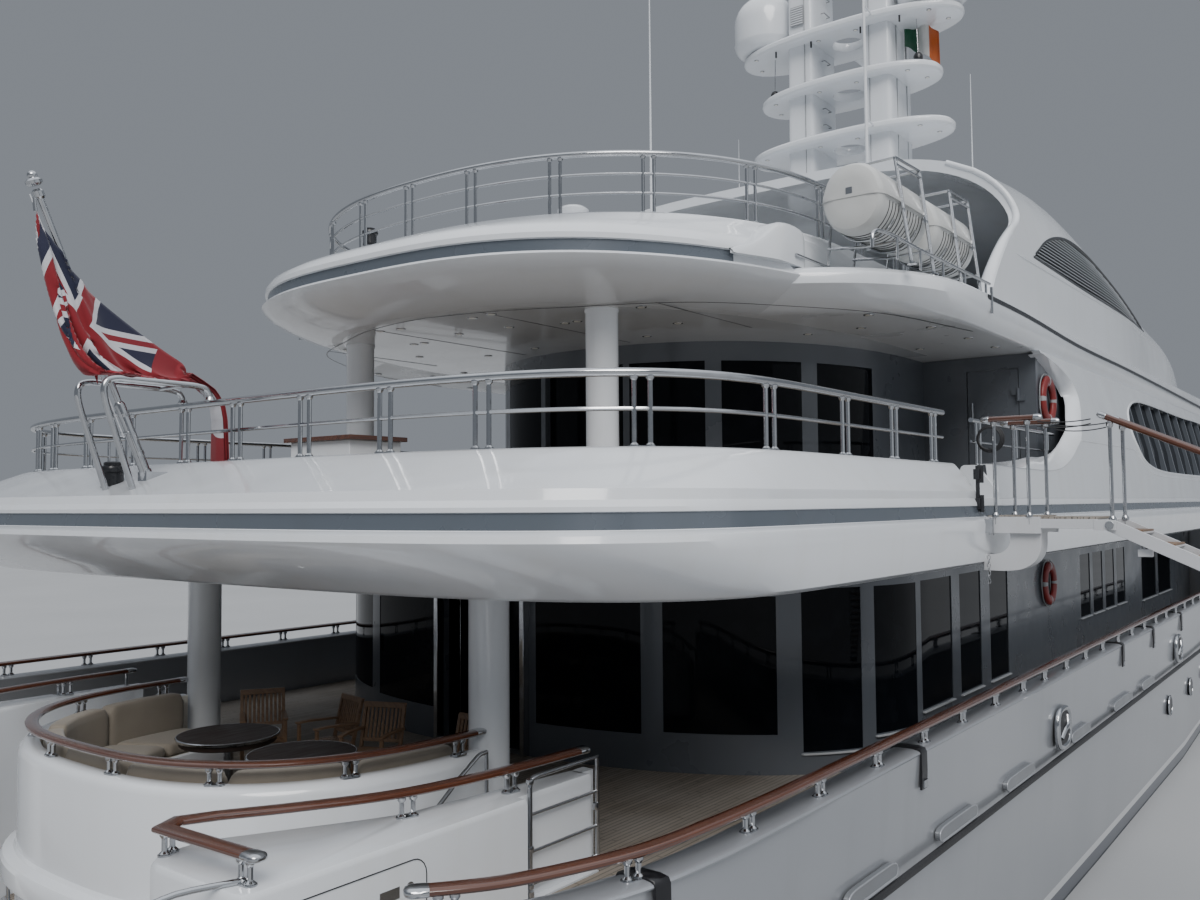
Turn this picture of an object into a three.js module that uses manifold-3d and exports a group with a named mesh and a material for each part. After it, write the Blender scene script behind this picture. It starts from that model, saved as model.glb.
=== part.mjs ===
// A three-deck motor yacht, 60 m long in life, as a 1:2 scale model: hull, decks, cabins,
// mast, rails, gates, boarding ladder, propellers and rudders, each as its own solid.
import * as THREE from "three";
import { mergeVertices } from "three/addons/utils/BufferGeometryUtils.js";
import Module from "manifold-3d";

const wasm = await Module();
wasm.setup();

// Sizes below are the full-size ship's, in metres. x runs forward from the aft edge of the
// bathing platform, y is to port of the centreline and z is above the waterline. The last
// group scales them to the model's millimetres and moves the origin amidships.
const MODEL_SCALE = 1 / 2;
const MM_PER_METRE = 1000 * MODEL_SCALE;
const LENGTH = 60;
const GAP = 0.0007; // between pieces that touch
const SIDES = [
  { side: "port", s: 1 },
  { side: "starboard", s: -1 },
];

// Levels
const PLATFORM = 0.55;
const DECK_MAIN = 2.42;
const PLANKING = 0.03;
const BULWARK_TOP = 3.28;
const CAPRAIL_TOP = 3.5;
const SOFFIT_MAIN = 4.93;
const DECK_UPPER = 5.5;
const HOUSE_SILL = 5.7;
const COAMING_UPPER = 6.118;
const RAIL_UPPER = 6.71;
const SOFFIT_UPPER = 8.0;
const SHOULDER_SUN = 8.5;
const DECK_SUN = 8.62;
const COAMING_SUN = 9.05;
const RAIL_SUN = 9.775;

// Places along the ship
const BULKHEAD = 7.21; // aft end of the full-width main deck
const QUARTER_END = 3.9;
const HOUSE_MAIN_AFT = 9.95;
const HOUSE_MAIN_END = 34.4;
const WELL_MAIN_END = 34.6;
const UPPER_FRONT = 42.97;
const SIDE_PLATE_AFT = 13.0;
const UPPER_WALL = 16.95; // transverse wall of the upper deck house
const WALL = 0.12;
const GLASS = 0.04;

// Colours
const WHITE = { color: 0xe8eaec, roughness: 0.18, metalness: 0 };
const SILVER = { color: 0xb4bac0, roughness: 0.3, metalness: 0.35 };
const DARK_GREY = { color: 0x4c535c, roughness: 0.32, metalness: 0.3 };
const DARK_GLASS = { color: 0x11151b, roughness: 0.06, metalness: 0 };
const TEAK = { color: 0x8b7a66, roughness: 0.75, metalness: 0 };
const VARNISH = { color: 0x7a3a17, roughness: 0.12, metalness: 0 };
const STEEL = { color: 0xc9ccd0, roughness: 0.16, metalness: 1 };
const BRONZE = { color: 0xb08d4a, roughness: 0.3, metalness: 1 };
const CUSHION = { color: 0x9a8f7e, roughness: 0.9, metalness: 0 };
const RAFT = { color: 0xd6d6cf, roughness: 0.4, metalness: 0 };
const RED_CLOTH = { color: 0xb01225, roughness: 0.85, metalness: 0 };
const DARK_WOOD = { color: 0x2a1a12, roughness: 0.3, metalness: 0 };
const BLACK = { color: 0x15171a, roughness: 0.5, metalness: 0 };

const ship = new THREE.Group();

function solidOf(geometry) {
  let g = geometry.index ? geometry.toNonIndexed() : geometry.clone();
  g = new THREE.BufferGeometry().setAttribute("position", g.getAttribute("position"));
  const merged = mergeVertices(g, 1e-5);
  const triVerts = new Uint32Array(merged.index.array);
  const vertProperties = merged.attributes.position.array;
  const made = new wasm.Manifold(new wasm.Mesh({ numProp: 3, vertProperties, triVerts }));
  if (made.volume() >= 0) return made;
  for (let i = 0; i < triVerts.length; i += 3) {
    [triVerts[i + 1], triVerts[i + 2]] = [triVerts[i + 2], triVerts[i + 1]];
  }
  return new wasm.Manifold(new wasm.Mesh({ numProp: 3, vertProperties, triVerts }));
}

function geometryOf(solid) {
  const mesh = solid.getMesh();
  const n = mesh.numProp;
  const places = new Float32Array(mesh.numVert * 3);
  for (let i = 0; i < mesh.numVert; i++) {
    places.set(mesh.vertProperties.subarray(i * n, i * n + 3), i * 3);
  }
  return new THREE.BufferGeometry()
    .setAttribute("position", new THREE.BufferAttribute(places, 3))
    .setIndex(new THREE.BufferAttribute(mesh.triVerts, 1));
}

function add(name, solid, finish) {
  const mesh = new THREE.Mesh(geometryOf(solid), new THREE.MeshStandardMaterial(finish));
  mesh.name = name;
  ship.add(mesh);
  return solid;
}

const join = (solids) => solids.reduce((a, b) => a.add(b));
const cut = (solid, tools) => tools.reduce((a, b) => a.subtract(b), solid);
const moved = (solid, x, y, z) => solidOf(geometryOf(solid).translate(x, y, z));
const onSide = (s, points) => points.map(([x, y]) => [x, s * y]);

// Closed solid through rings of equally many [x, y, z] points, capped at both ends.
// flat picks the two coordinates in which the end rings are flat.
function loft(rings, flat) {
  const n = rings[0].length;
  const corners = [];
  const corner = (ring, i) => corners.push(...rings[ring][i % n]);
  for (let r = 0; r + 1 < rings.length; r++) {
    for (let i = 0; i < n; i++) {
      [[r, i], [r, i + 1], [r + 1, i + 1], [r, i], [r + 1, i + 1], [r + 1, i]].forEach(
        ([ring, at]) => corner(ring, at),
      );
    }
  }
  const cap = (ring, facesBack) => {
    const outline = rings[ring].map((p) => new THREE.Vector2(p[flat[0]], p[flat[1]]));
    const reverse = THREE.ShapeUtils.isClockWise(outline) !== facesBack;
    for (const face of THREE.ShapeUtils.triangulateShape(outline, [])) {
      const order = reverse ? [face[0], face[2], face[1]] : face;
      order.forEach((i) => corner(ring, i));
    }
  };
  cap(0, true);
  cap(rings.length - 1, false);
  const g = new THREE.BufferGeometry();
  g.setAttribute("position", new THREE.Float32BufferAttribute(corners, 3));
  return solidOf(g);
}

const ringAt = (outline, z) => outline.map(([x, y]) => [x, y, z]);
const prism = (outline, low, high) => loft([ringAt(outline, low), ringAt(outline, high)], [0, 1]);
const box = (x0, x1, y0, y1, z0, z1) =>
  solidOf(
    new THREE.BoxGeometry(x1 - x0, y1 - y0, z1 - z0).translate(
      (x0 + x1) / 2,
      (y0 + y1) / 2,
      (z0 + z1) / 2,
    ),
  );
// An outline of [x, z] points extruded across the ship from y0 to y1.
const sidePrism = (outline, y0, y1) =>
  loft([outline.map(([x, z]) => [x, y0, z]), outline.map(([x, z]) => [x, y1, z])], [0, 2]);

function rod(from, to, radius, sides = 8) {
  const a = new THREE.Vector3(...from);
  const b = new THREE.Vector3(...to);
  const along = b.clone().sub(a);
  const turn = new THREE.Quaternion().setFromUnitVectors(
    new THREE.Vector3(0, 1, 0),
    along.clone().normalize(),
  );
  const middle = a.clone().add(b).multiplyScalar(0.5);
  const g = new THREE.CylinderGeometry(radius, radius, along.length(), sides);
  return solidOf(g.applyQuaternion(turn).translate(middle.x, middle.y, middle.z));
}

// A round tube or an oval handrail along [x, y] points at height z, square-cut at its ends.
function railAlong(points, z, width, height, sides = 6) {
  const rings = points.map(([x, y], i) => {
    const [ax, ay] = points[Math.max(i - 1, 0)];
    const [bx, by] = points[Math.min(i + 1, points.length - 1)];
    const length = Math.hypot(bx - ax, by - ay);
    const [nx, ny] = [-(by - ay) / length, (bx - ax) / length];
    return Array.from({ length: sides }, (_, k) => {
      const angle = ((k + 0.5) / sides) * 2 * Math.PI;
      const across = (Math.cos(angle) * width) / 2;
      return [x + nx * across, y + ny * across, z + (Math.sin(angle) * height) / 2];
    });
  });
  return loft(rings, endPlane(points));
}

// The two coordinates in which a rail's end rings are widest.
function endPlane(points) {
  const [[ax, ay], [bx, by]] = points;
  return Math.abs(bx - ax) > Math.abs(by - ay) ? [1, 2] : [0, 2];
}

// Aft end of a deck in plan: a superellipse whose tip is at x = tip, reach metres long
// and half metres to each side. Points run from starboard round the stern to port.
function sternArc({ tip, reach, half, power }, steps = 28) {
  return Array.from({ length: steps + 1 }, (_, i) => {
    const t = -Math.PI / 2 + (Math.PI * i) / steps;
    const x = tip + reach * (1 - Math.abs(Math.cos(t)) ** (2 / power));
    const y = half * Math.sign(Math.sin(t)) * Math.abs(Math.sin(t)) ** (2 / power);
    return [x, y];
  });
}
const mirrorX = (points, about) => points.map(([x, y]) => [2 * about - x, y]);
const grown = (plan, by) => ({
  tip: plan.tip - by,
  reach: plan.reach + by,
  half: plan.half + by,
  power: plan.power,
});

// Half breadth of the hull at deck level: columns x, half breadth.
const DECK_EDGE = [
  [0, 6.06],
  [36, 6.06],
  [40, 5.96],
  [43, 5.78],
];
function deckHalf(x) {
  const i = Math.max(1, DECK_EDGE.findIndex(([at]) => at >= x));
  const [[xa, ya], [xb, yb]] = [DECK_EDGE[i - 1], DECK_EDGE[i]];
  return ya + ((yb - ya) * (x - xa)) / (xb - xa);
}
// A whole deck in plan: the stern arc, then the hull's side forward to xEnd.
function deckPlan(plan, xEnd, steps) {
  const inset = deckHalf(0) - plan.half;
  const forward = [36, 39, xEnd].filter((x) => x <= xEnd);
  const side = (s) => forward.map((x) => [x, s * (deckHalf(x) - inset)]);
  return [...side(-1).reverse(), ...sternArc(plan, steps), ...side(1)];
}

// Hull: columns x at the rail, at the waterline and at the keel, half breadth at the rail
// and at the waterline, keel depth, rail height, fullness of the underwater section.
const HULL_ROWS = [
  [0.0, 0.0, 0.0, 4.75, 4.4, -0.35, 3.28, 3.5],
  [1.0, 1.0, 1.0, 5.25, 4.9, -0.45, 3.28, 3.5],
  [3.0, 3.0, 3.0, 5.7, 5.35, -0.7, 3.28, 3.4],
  [5.5, 5.5, 5.5, 5.98, 5.6, -1.0, 3.28, 3.3],
  [8.0, 8.0, 8.0, 6.06, 5.7, -1.4, 3.28, 3.2],
  [13.0, 13.0, 13.0, 6.06, 5.78, -2.5, 3.28, 3.2],
  [18.0, 18.0, 18.0, 6.06, 5.8, -3.2, 3.28, 3.4],
  [26.0, 26.0, 26.0, 6.06, 5.8, -3.3, 3.28, 3.8],
  [31.0, 31.0, 31.0, 6.06, 5.66, -3.3, 3.28, 3.5],
  [32.2, 32.2, 32.2, 6.06, 5.6, -3.3, 3.62, 3.4],
  [33.4, 33.4, 33.4, 6.06, 5.52, -3.3, 4.55, 3.3],
  [34.4, 34.4, 34.4, 6.06, 5.45, -3.3, SOFFIT_MAIN - GAP, 3.2],
  [39.0, 39.0, 39.0, 5.99, 5.0, -3.3, SOFFIT_MAIN - GAP, 2.8],
  [42.98, 42.9, 42.7, 5.78, 4.4, -3.3, SOFFIT_MAIN - GAP, 2.4],
  [43.02, 42.95, 42.72, 5.78, 4.4, -3.3, 5.75, 2.4],
  [44.6, 44.3, 43.8, 5.58, 4.05, -3.28, 6.45, 2.3],
  [49.0, 48.3, 47.0, 4.8, 3.1, -3.2, 6.65, 2.1],
  [53.0, 51.6, 49.6, 3.62, 2.05, -3.1, 6.85, 2.0],
  [56.5, 54.4, 51.4, 2.22, 1.1, -2.9, 7.05, 1.9],
  [58.8, 56.2, 52.6, 0.95, 0.45, -2.6, 7.22, 1.8],
  [60.0, 57.3, 53.4, 0.06, 0.05, -2.2, 7.3, 1.8],
];
const HULL_UNDER = 7; // steps from the keel to the waterline
const HULL_OVER = [0.17, 0.4, 0.7, 1];
function hullRing([xRail, xWater, xKeel, rail, water, keel, top, fullness]) {
  const half = [];
  for (let i = 1; i <= HULL_UNDER; i++) {
    const t = (Math.PI / 2) * (i / HULL_UNDER);
    const y = water * Math.sin(t) ** (2 / fullness);
    const z = keel * Math.cos(t) ** (2 / fullness);
    half.push([xWater + (xKeel - xWater) * (z / keel), y, z]);
  }
  HULL_OVER.forEach((f) => {
    half.push([xWater + (xRail - xWater) * f, water + (rail - water) * f ** 0.8, top * f]);
  });
  const keelPoint = [xKeel, 0, keel];
  const mirrored = half.map(([x, y, z]) => [x, -y, z]).reverse();
  return [...mirrored, keelPoint, ...half];
}

// Bulwark at the quarters: columns x, y of the handrail's centreline, aft to forward.
const RAIL_LINE = [
  [3.96, 5.21],
  [4.37, 5.52],
  [4.73, 5.68],
  [5.31, 5.86],
  [6.72, 5.96],
  [12, 5.97],
  [20, 5.97],
  [31, 5.97],
];
const PASSAGE_INNER = 4.06;
const BULWARK = 0.28;
const steps = (x0, x1, z0, z1, count) => {
  const outline = [[x1, z0]];
  for (let i = 0; i < count; i++) {
    const x = x0 + ((x1 - x0) * i) / count;
    const z = z0 + ((z1 - z0) * (i + 1)) / count;
    outline.push([x, z - (z1 - z0) / count], [x, z]);
  }
  outline.push([x1, z1]);
  return outline.slice(1).concat([[x1, z0]]);
};

// Settee block at the stern
const BLOCK = { tip: 4.5, reach: BULKHEAD - GAP - 4.5, half: 2.68, power: 2.65 };
const CORNICE = 0.13;
const blockPlan = (by, steps = 24) => {
  const arc = sternArc(grown(BLOCK, by), steps);
  return arc.map(([x, y]) => [Math.min(x, BULKHEAD - GAP), y]);
};

// Stern wings between the stairs and the side passages: columns x, inner face y.
const WING_INNER = [
  [3.62, 2.9],
  [4.1, 2.86],
  [4.62, 3.14],
  [5.3, 3.48],
  [6.2, 3.66],
  [BULKHEAD - GAP, 3.78],
];
const WING_OUTER = PASSAGE_INNER - GAP;
const wingPlan = (s, by = 0) =>
  onSide(s, [
    ...WING_INNER.map(([x, y], i) => [x - (i ? 0 : by), y - by]),
    [BULKHEAD - GAP, WING_OUTER + by],
    [WING_INNER[0][0] - by, WING_OUTER + by],
  ]);

// Underwater gear
const PROP = { x: 6.55, y: 2.6, z: -2.3, radius: 0.85, hub: 0.17, blades: 5 };
const RUDDER = { x: 4.95, y: 2.6, top: -1.2, bottom: -2.95, stock: 0.12, chord: 1.35 };
const SHAFT_ENTRY = { x: 12.6, z: -1.8 };

function hullSolid() {
  let hull = loft(HULL_ROWS.map(hullRing), [1, 2]);
  const high = 9;
  // Everything above the platform aft of the quarters and of the full-width deck
  const quarterEdge = [
    [QUARTER_END, PASSAGE_INNER],
    [QUARTER_END, 5.1],
    [4.0, 5.42],
    [4.35, 5.7],
    [4.9, 5.92],
    [5.7, 6.06],
    [5.7, 7],
    [-1, 7],
  ];
  const notch = [
    ...onSide(-1, quarterEdge).reverse(),
    [BULKHEAD, -PASSAGE_INNER],
    [BULKHEAD, PASSAGE_INNER],
    ...quarterEdge,
  ];
  hull = hull.subtract(prism(notch, PLATFORM, high));
  // Main deck well inside the bulwarks
  const inside = (x) => deckHalf(x) - BULWARK;
  const wellSide = [
    [QUARTER_END - 0.1, 5.0],
    [4.25, 5.3],
    [4.8, 5.55],
    [5.6, 5.74],
    [7, inside(7)],
    [33.6, inside(33)],
    [WELL_MAIN_END, 5.2],
  ];
  const well = [
    [QUARTER_END - 0.1, -PASSAGE_INNER],
    ...onSide(-1, wellSide),
    ...wellSide.slice().reverse(),
    [QUARTER_END - 0.1, PASSAGE_INNER],
  ];
  hull = hull.subtract(prism(well, DECK_MAIN, high));
  // Foredeck well: columns x, half breadth inside the bulwark
  const foreSide = [
    [42.9, 5.5],
    [44.6, 5.36],
    [49, 4.56],
    [53, 3.36],
    [56.5, 1.95],
    [58.3, 0.9],
  ];
  const fore = [...onSide(-1, foreSide), ...foreSide.slice().reverse()];
  hull = hull.subtract(prism(fore, DECK_UPPER, high));
  for (const { s } of SIDES) {
    const y = [s * 2.7, s * 4.02].sort((a, b) => a - b);
    let inner = sidePrism(steps(4.95, BULKHEAD + 0.05, 0.4, DECK_MAIN, 9), y[0], y[1]);
    inner = cut(inner, [
      prism(blockPlan(GAP), -1, high),
      prism(blockPlan(CORNICE + GAP), 1.94, 2.32),
      prism(wingPlan(s, GAP), -1, high),
    ]);
    const outerY = [s * 4.2, s * 5.0].sort((a, b) => a - b);
    const outer = sidePrism(
      steps(1.6, QUARTER_END + 0.05, 0.4, DECK_MAIN, 9),
      outerY[0],
      outerY[1],
    );
    hull = join([hull, inner, outer]);
    hull = join([hull, shaftLine(s), rudderBoss(s)]);
  }
  return hull;
}

// Shaft, its bearing and the two struts of its bracket.
function shaftLine(s) {
  const y = s * PROP.y;
  const bearing = PROP.x + 0.3 + GAP;
  const struts = [0.75, -0.75].map((lean) =>
    rod([bearing + 0.2, y, PROP.z], [bearing + 0.3, y + lean, -1.1], 0.07, 8),
  );
  return join([
    rod([bearing + 0.1, y, PROP.z], [SHAFT_ENTRY.x, y, SHAFT_ENTRY.z], 0.09, 10),
    rod([bearing, y, PROP.z], [bearing + 0.45, y, PROP.z], 0.15, 12),
    ...struts,
  ]);
}
const rudderBoss = (s) =>
  rod([RUDDER.x, s * RUDDER.y, RUDDER.top + 0.1], [RUDDER.x, s * RUDDER.y, -0.6], 0.22, 14);

function propeller(s) {
  const { x, y, z, radius, hub, blades } = PROP;
  const parts = [rod([x - 0.3, 0, 0], [x + 0.3, 0, 0], hub, 14)];
  const nose = new THREE.ConeGeometry(hub, 0.3, 14).rotateZ(Math.PI / 2);
  parts.push(solidOf(nose.translate(x - 0.42, 0, 0)));
  const blade = new THREE.Shape();
  blade.absellipse(0, 0.52 * radius, 0.3 * radius, 0.47 * radius, 0, 2 * Math.PI);
  for (let i = 0; i < blades; i++) {
    const g = new THREE.ExtrudeGeometry(blade, {
      depth: 0.05,
      bevelEnabled: false,
      curveSegments: 6,
    });
    g.translate(0, 0, -0.025);
    g.rotateY(Math.PI / 2 - s * 0.55);
    g.rotateX((2 * Math.PI * i) / blades);
    parts.push(solidOf(g.translate(x, 0, 0)));
  }
  return moved(join(parts), 0, s * y, z);
}

function rudder(s) {
  const { x, y, top, bottom, stock, chord } = RUDDER;
  const half = 0.1;
  const foil = [
    [x + 0.45, s * y],
    [x + 0.3, s * y + half * 0.8],
    [x, s * y + half],
    [x + 0.45 - chord, s * y + 0.015],
    [x + 0.45 - chord, s * y - 0.015],
    [x, s * y - half],
    [x + 0.3, s * y - half * 0.8],
  ];
  return join([
    prism(foil, bottom, top),
    rod([x, s * y, top - 0.3], [x, s * y, top + 0.1 - GAP], stock, 12),
  ]);
}

// The settee block: a curved wall with a cornice, standing on the platform, and its seat
const SEAT = { wall: 0.2, base: 2.8, depth: 0.9, back: 0.17, top: 3.36, pad: 0.13 };
const seatPlan = (by) => sternArc(grown(BLOCK, -by), 24);
function setteeBlock() {
  const levels = [
    [0.0, PLATFORM + GAP],
    [0.0, 1.95],
    [CORNICE, 2.05],
    [CORNICE, 2.2],
    [0.0, 2.3],
    [0.0, BULWARK_TOP - 0.08],
    [-0.05, BULWARK_TOP],
  ];
  const rings = levels.map(([out, z]) => ringAt(blockPlan(out), z));
  const body = loft(rings, [0, 1]);
  const over = BULWARK_TOP + 1;
  const seat = prism(seatPlan(SEAT.wall), SEAT.base, over);
  const well = prism(seatPlan(SEAT.wall + SEAT.depth), DECK_MAIN + PLANKING, over);
  const mouth = box(6.9, 8, -1.45, 1.45, DECK_MAIN + PLANKING, over);
  return cut(body, [seat, well, mouth]);
}
function setteeCushion() {
  const outer = prism(seatPlan(SEAT.wall + GAP), SEAT.base + GAP, SEAT.top);
  const front = prism(seatPlan(SEAT.wall + SEAT.back), SEAT.base + SEAT.pad, SEAT.top + 1);
  const inner = prism(seatPlan(SEAT.wall + SEAT.depth), SEAT.base - 1, SEAT.top + 1);
  return cut(outer, [front, inner, box(6.85, 8, -3, 3, 2, 4)]);
}

function sternWing(s) {
  const body = prism(wingPlan(s), PLATFORM + GAP, BULWARK_TOP);
  const recess = [s * 3.98, s * 5].sort((a, b) => a - b);
  const pocket = box(GATE.hinge - 0.06, 8, recess[0], recess[1], DECK_MAIN + PLANKING, 5);
  const lug = rod(
    [GATE.hinge, s * GATE.y, DECK_MAIN - 0.1],
    [GATE.hinge, s * GATE.y, GATE.low - GAP],
    0.035,
    10,
  );
  const slot = box(3.6, 8, recess[0] - 3, recess[1] + 3, 0, DECK_MAIN);
  const [near, far] = [s * 3.78, s * 3.9].sort((a, b) => a - b);
  const stop = box(BULKHEAD - 0.06, BULKHEAD + 0.13, near, far, floorMain + GAP, BULWARK_TOP);
  return join([body.subtract(pocket), lug.subtract(slot), stop]);
}

// Side gates: a tube frame with two inner bars, hinged at its aft post
const GATE = { hinge: 6.33, reach: 0.9, y: 4.03, low: 2.52, high: 3.38, tube: 0.022 };
function gate(s) {
  const { hinge, reach, low, high, tube } = GATE;
  const y = s * GATE.y;
  const bars = [0, 1, 2, 3].map((i) => {
    const z = low + tube + ((high - low - 2 * tube) * i) / 3;
    return rod([hinge, y, z], [hinge + reach, y, z], tube * (i % 3 ? 0.7 : 1), 8);
  });
  const posts = [0, reach].map((at) => rod([hinge + at, y, low], [hinge + at, y, high], tube, 8));
  return join([...posts, ...bars]);
}

// Handrails with pairs of posts on a coaming, spaced by the distance run along the rail.
function pointAlong(points, run) {
  let left = run;
  for (let i = 1; i < points.length; i++) {
    const [[ax, ay], [bx, by]] = [points[i - 1], points[i]];
    const length = Math.hypot(bx - ax, by - ay);
    if (left <= length) return [ax + ((bx - ax) * left) / length, ay + ((by - ay) * left) / length];
    left -= length;
  }
  return points[points.length - 1];
}
const pathLength = (points) =>
  points.slice(1).reduce((sum, [x, y], i) => sum + Math.hypot(x - points[i][0], y - points[i][1]), 0);
// Each pair of posts is one flat post here, as wide as the pair.
const PAIR = { apart: 0.16, thick: 0.04, first: 0.25 };
function railPosts(points, foot, top, spacing) {
  const free = pathLength(points) - 2 * PAIR.first;
  const count = Math.round(free / spacing);
  const { apart, thick } = PAIR;
  return Array.from({ length: count + 1 }, (_, i) => {
    const run = PAIR.first + (free * i) / count;
    const [ax, ay] = pointAlong(points, run - apart / 2);
    const [bx, by] = pointAlong(points, run + apart / 2);
    const g = new THREE.BoxGeometry(apart, thick, top - foot);
    g.rotateZ(Math.atan2(by - ay, bx - ax));
    return solidOf(g.translate((ax + bx) / 2, (ay + by) / 2, (top + foot) / 2));
  });
}

const CAP = { width: 0.13, height: 0.06, sides: 6 };
function caprail(points, foot, spacing) {
  const z = CAPRAIL_TOP - CAP.height / 2;
  const posts = railPosts(points, foot + GAP, z, spacing);
  return join([railAlong(points, z, CAP.width, CAP.height, CAP.sides), ...posts]);
}

// Decks and fascias. Rows give each ring: tip, reach, half breadth, power, height.
const UPPER_ROWS = [
  [5.55, 3.4, 5.86, 4.2, SOFFIT_MAIN],
  [5.38, 3.4, 5.95, 4.2, SOFFIT_MAIN + 0.05],
  [4.9, 3.4, 6.0, 4.2, 5.16],
  [4.64, 3.4, 6.02, 4.2, 5.36],
  [4.62, 3.4, 6.02, 4.2, 5.43],
  [4.74, 3.4, 5.96, 4.2, 5.48],
  [4.74, 3.4, 5.95, 4.2, 5.61],
  [4.7, 3.4, 5.96, 4.2, 5.66],
  [5.7, 3.3, 5.6, 4.2, COAMING_UPPER],
];
const UPPER_RIM = { tip: 5.88, reach: 3.3, half: 5.42, power: 4.2 };
const UPPER_RAIL = { tip: 5.76, reach: 3.3, half: 5.54, power: 4.2 };
const planRow = ([tip, reach, half, power]) => ({ tip, reach, half, power });
function upperDeck() {
  const rings = UPPER_ROWS.map((row) => ringAt(deckPlan(planRow(row), UPPER_FRONT, 28), row[4]));
  const body = loft(rings, [0, 1]);
  const arc = sternArc(UPPER_RIM, 28);
  const well = [[UPPER_WALL + 0.3, -UPPER_RIM.half], ...arc, [UPPER_WALL + 0.3, UPPER_RIM.half]];
  const aftDeck = prism(well, DECK_UPPER, 7);
  const overHouse = box(SIDE_PLATE_AFT, 44, -7, 7, HOUSE_SILL, 7);
  const boarding = box(LANDING.x0, LANDING.x1, -7, -5, DECK_UPPER, 7);
  return cut(body, [aftDeck, overHouse, boarding]);
}

// Sun deck: an oval lobe aft and a wider one from its shoulder forward
const SUN_LOBE_ROWS = [
  [8.75, 7.2, 3.85, 2.7, SOFFIT_UPPER],
  [8.4, 7.5, 4.1, 2.8, 8.05],
  [7.9, 7.9, 4.45, 2.9, 8.24],
  [7.72, 8.0, 4.56, 2.9, 8.38],
  [7.8, 8.0, 4.5, 2.9, 8.42],
  [7.8, 8.0, 4.49, 2.9, 8.55],
  [7.76, 8.0, 4.52, 2.9, 8.6],
  [7.95, 7.5, 4.4, 2.8, 8.78],
  [8.65, 4.2, 4.04, 2.4, COAMING_SUN],
];
const SUN_SHOULDER_ROWS = [
  [11.0, 3.5, 5.28, 2.8, SOFFIT_UPPER],
  [10.55, 3.5, 5.42, 2.8, 8.12],
  [10.34, 3.5, 5.48, 2.8, 8.28],
  [10.34, 3.5, 5.47, 2.8, 8.42],
  [10.45, 3.5, 5.4, 2.8, SHOULDER_SUN],
];
const SUN_FRONT = { tip: 41.2, reach: 5.8, power: 2.7 };
const SUN_RIM = { tip: 8.87, reach: 3.75, half: 3.88, power: 2.33 };
const SUN_RAIL = { tip: 8.79, reach: 3.75, half: 3.95, power: 2.33 };
const SUN_COAMING_END = 16.2;
const SUN_COAMING_SIDE = 4.03;
const SUN_STEP = 10.9; // the lobe's fascia ends here and only the coaming goes on
function sunDeck() {
  const lobes = SUN_LOBE_ROWS.map((row) => {
    const arc = sternArc(planRow(row), 24);
    return ringAt([[SUN_COAMING_END, -row[2]], ...arc, [SUN_COAMING_END, row[2]]], row[4]);
  });
  const shoulders = SUN_SHOULDER_ROWS.map((row) => {
    const front = { ...SUN_FRONT, half: row[2], tip: -SUN_FRONT.tip };
    const bow = mirrorX(sternArc(front, 16), 0);
    return ringAt([...bow, ...sternArc(planRow(row), 20).reverse()], row[4]);
  });
  const rim = [[SUN_COAMING_END + 1, -SUN_RIM.half], ...sternArc(SUN_RIM, 28)];
  const well = prism([...rim, [SUN_COAMING_END + 1, SUN_RIM.half]], DECK_SUN, 10);
  const outboard = SIDES.map(({ s }) => {
    const y = [s * SUN_COAMING_SIDE, s * 6].sort((a, b) => a - b);
    return box(SUN_STEP, 18, y[0], y[1], SHOULDER_SUN, 10);
  });
  const aftLobe = cut(loft(lobes, [0, 1]), outboard);
  return join([aftLobe, loft(shoulders, [0, 1])]).subtract(well);
}

// Deck houses
const HOUSE_MAIN = { tip: HOUSE_MAIN_AFT, reach: 3.3, half: 4.85, power: 2.3 };
const HOUSE_UPPER = { tip: 12.1, reach: 4.4, half: 3.5, power: 2.3 };
const housePlan = (plan, end) => [
  [end, -plan.half],
  ...sternArc(plan, 26),
  [end, plan.half],
];
// Windows of the aft fronts: columns y from, y to, sill, head
const MAIN_FRONT_WINDOWS = [
  [0.92, 2.38, 2.88, 4.5],
  [2.64, 3.83, 2.92, 4.55],
];
const DOORWAY = { half: 0.75, high: 4.6 };
// Side windows: columns x from, x to, sill, head
const MAIN_SIDE_WINDOWS = [
  [11.2, 11.84, 2.71, 4.64],
  [12.03, 12.87, 2.85, 4.64],
  [13.02, 14.14, 3.0, 4.65],
  [14.47, 15.39, 3.0, 4.65],
  [15.81, 16.72, 3.0, 4.64],
  [21.4, 22.2, 3.42, 4.62],
  [22.45, 23.3, 3.42, 4.62],
  [23.55, 24.4, 3.42, 4.62],
  [24.65, 25.5, 3.42, 4.62],
  [27.4, 29.2, 3.3, 4.62],
  [29.5, 31.3, 3.3, 4.62],
];
function frontCuts(windows, aft, forward) {
  return windows.flatMap(([y0, y1, low, high]) => [
    box(aft, forward, y0, y1, low, high),
    box(aft, forward, -y1, -y0, low, high),
  ]);
}
const sideCuts = (windows, inner, outer) =>
  windows.flatMap(([x0, x1, low, high]) => [
    box(x0, x1, inner, outer, low, high),
    box(x0, x1, -outer, -inner, low, high),
  ]);
function shell(plan, end, thickness, low, high) {
  const outer = prism(housePlan(plan, end), low, high);
  return outer.subtract(prism(housePlan(grown(plan, -thickness), end - thickness), low - 1, high + 1));
}
function mainHouse() {
  const walls = shell(HOUSE_MAIN, HOUSE_MAIN_END, WALL, DECK_MAIN + GAP, SOFFIT_MAIN - GAP);
  const door = box(9, 11, -DOORWAY.half, DOORWAY.half, 2, DOORWAY.high);
  return cut(walls, [
    door,
    ...frontCuts(MAIN_FRONT_WINDOWS, 9, 11.5),
    ...sideCuts(MAIN_SIDE_WINDOWS, 3.9, 5.2),
  ]);
}
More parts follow.
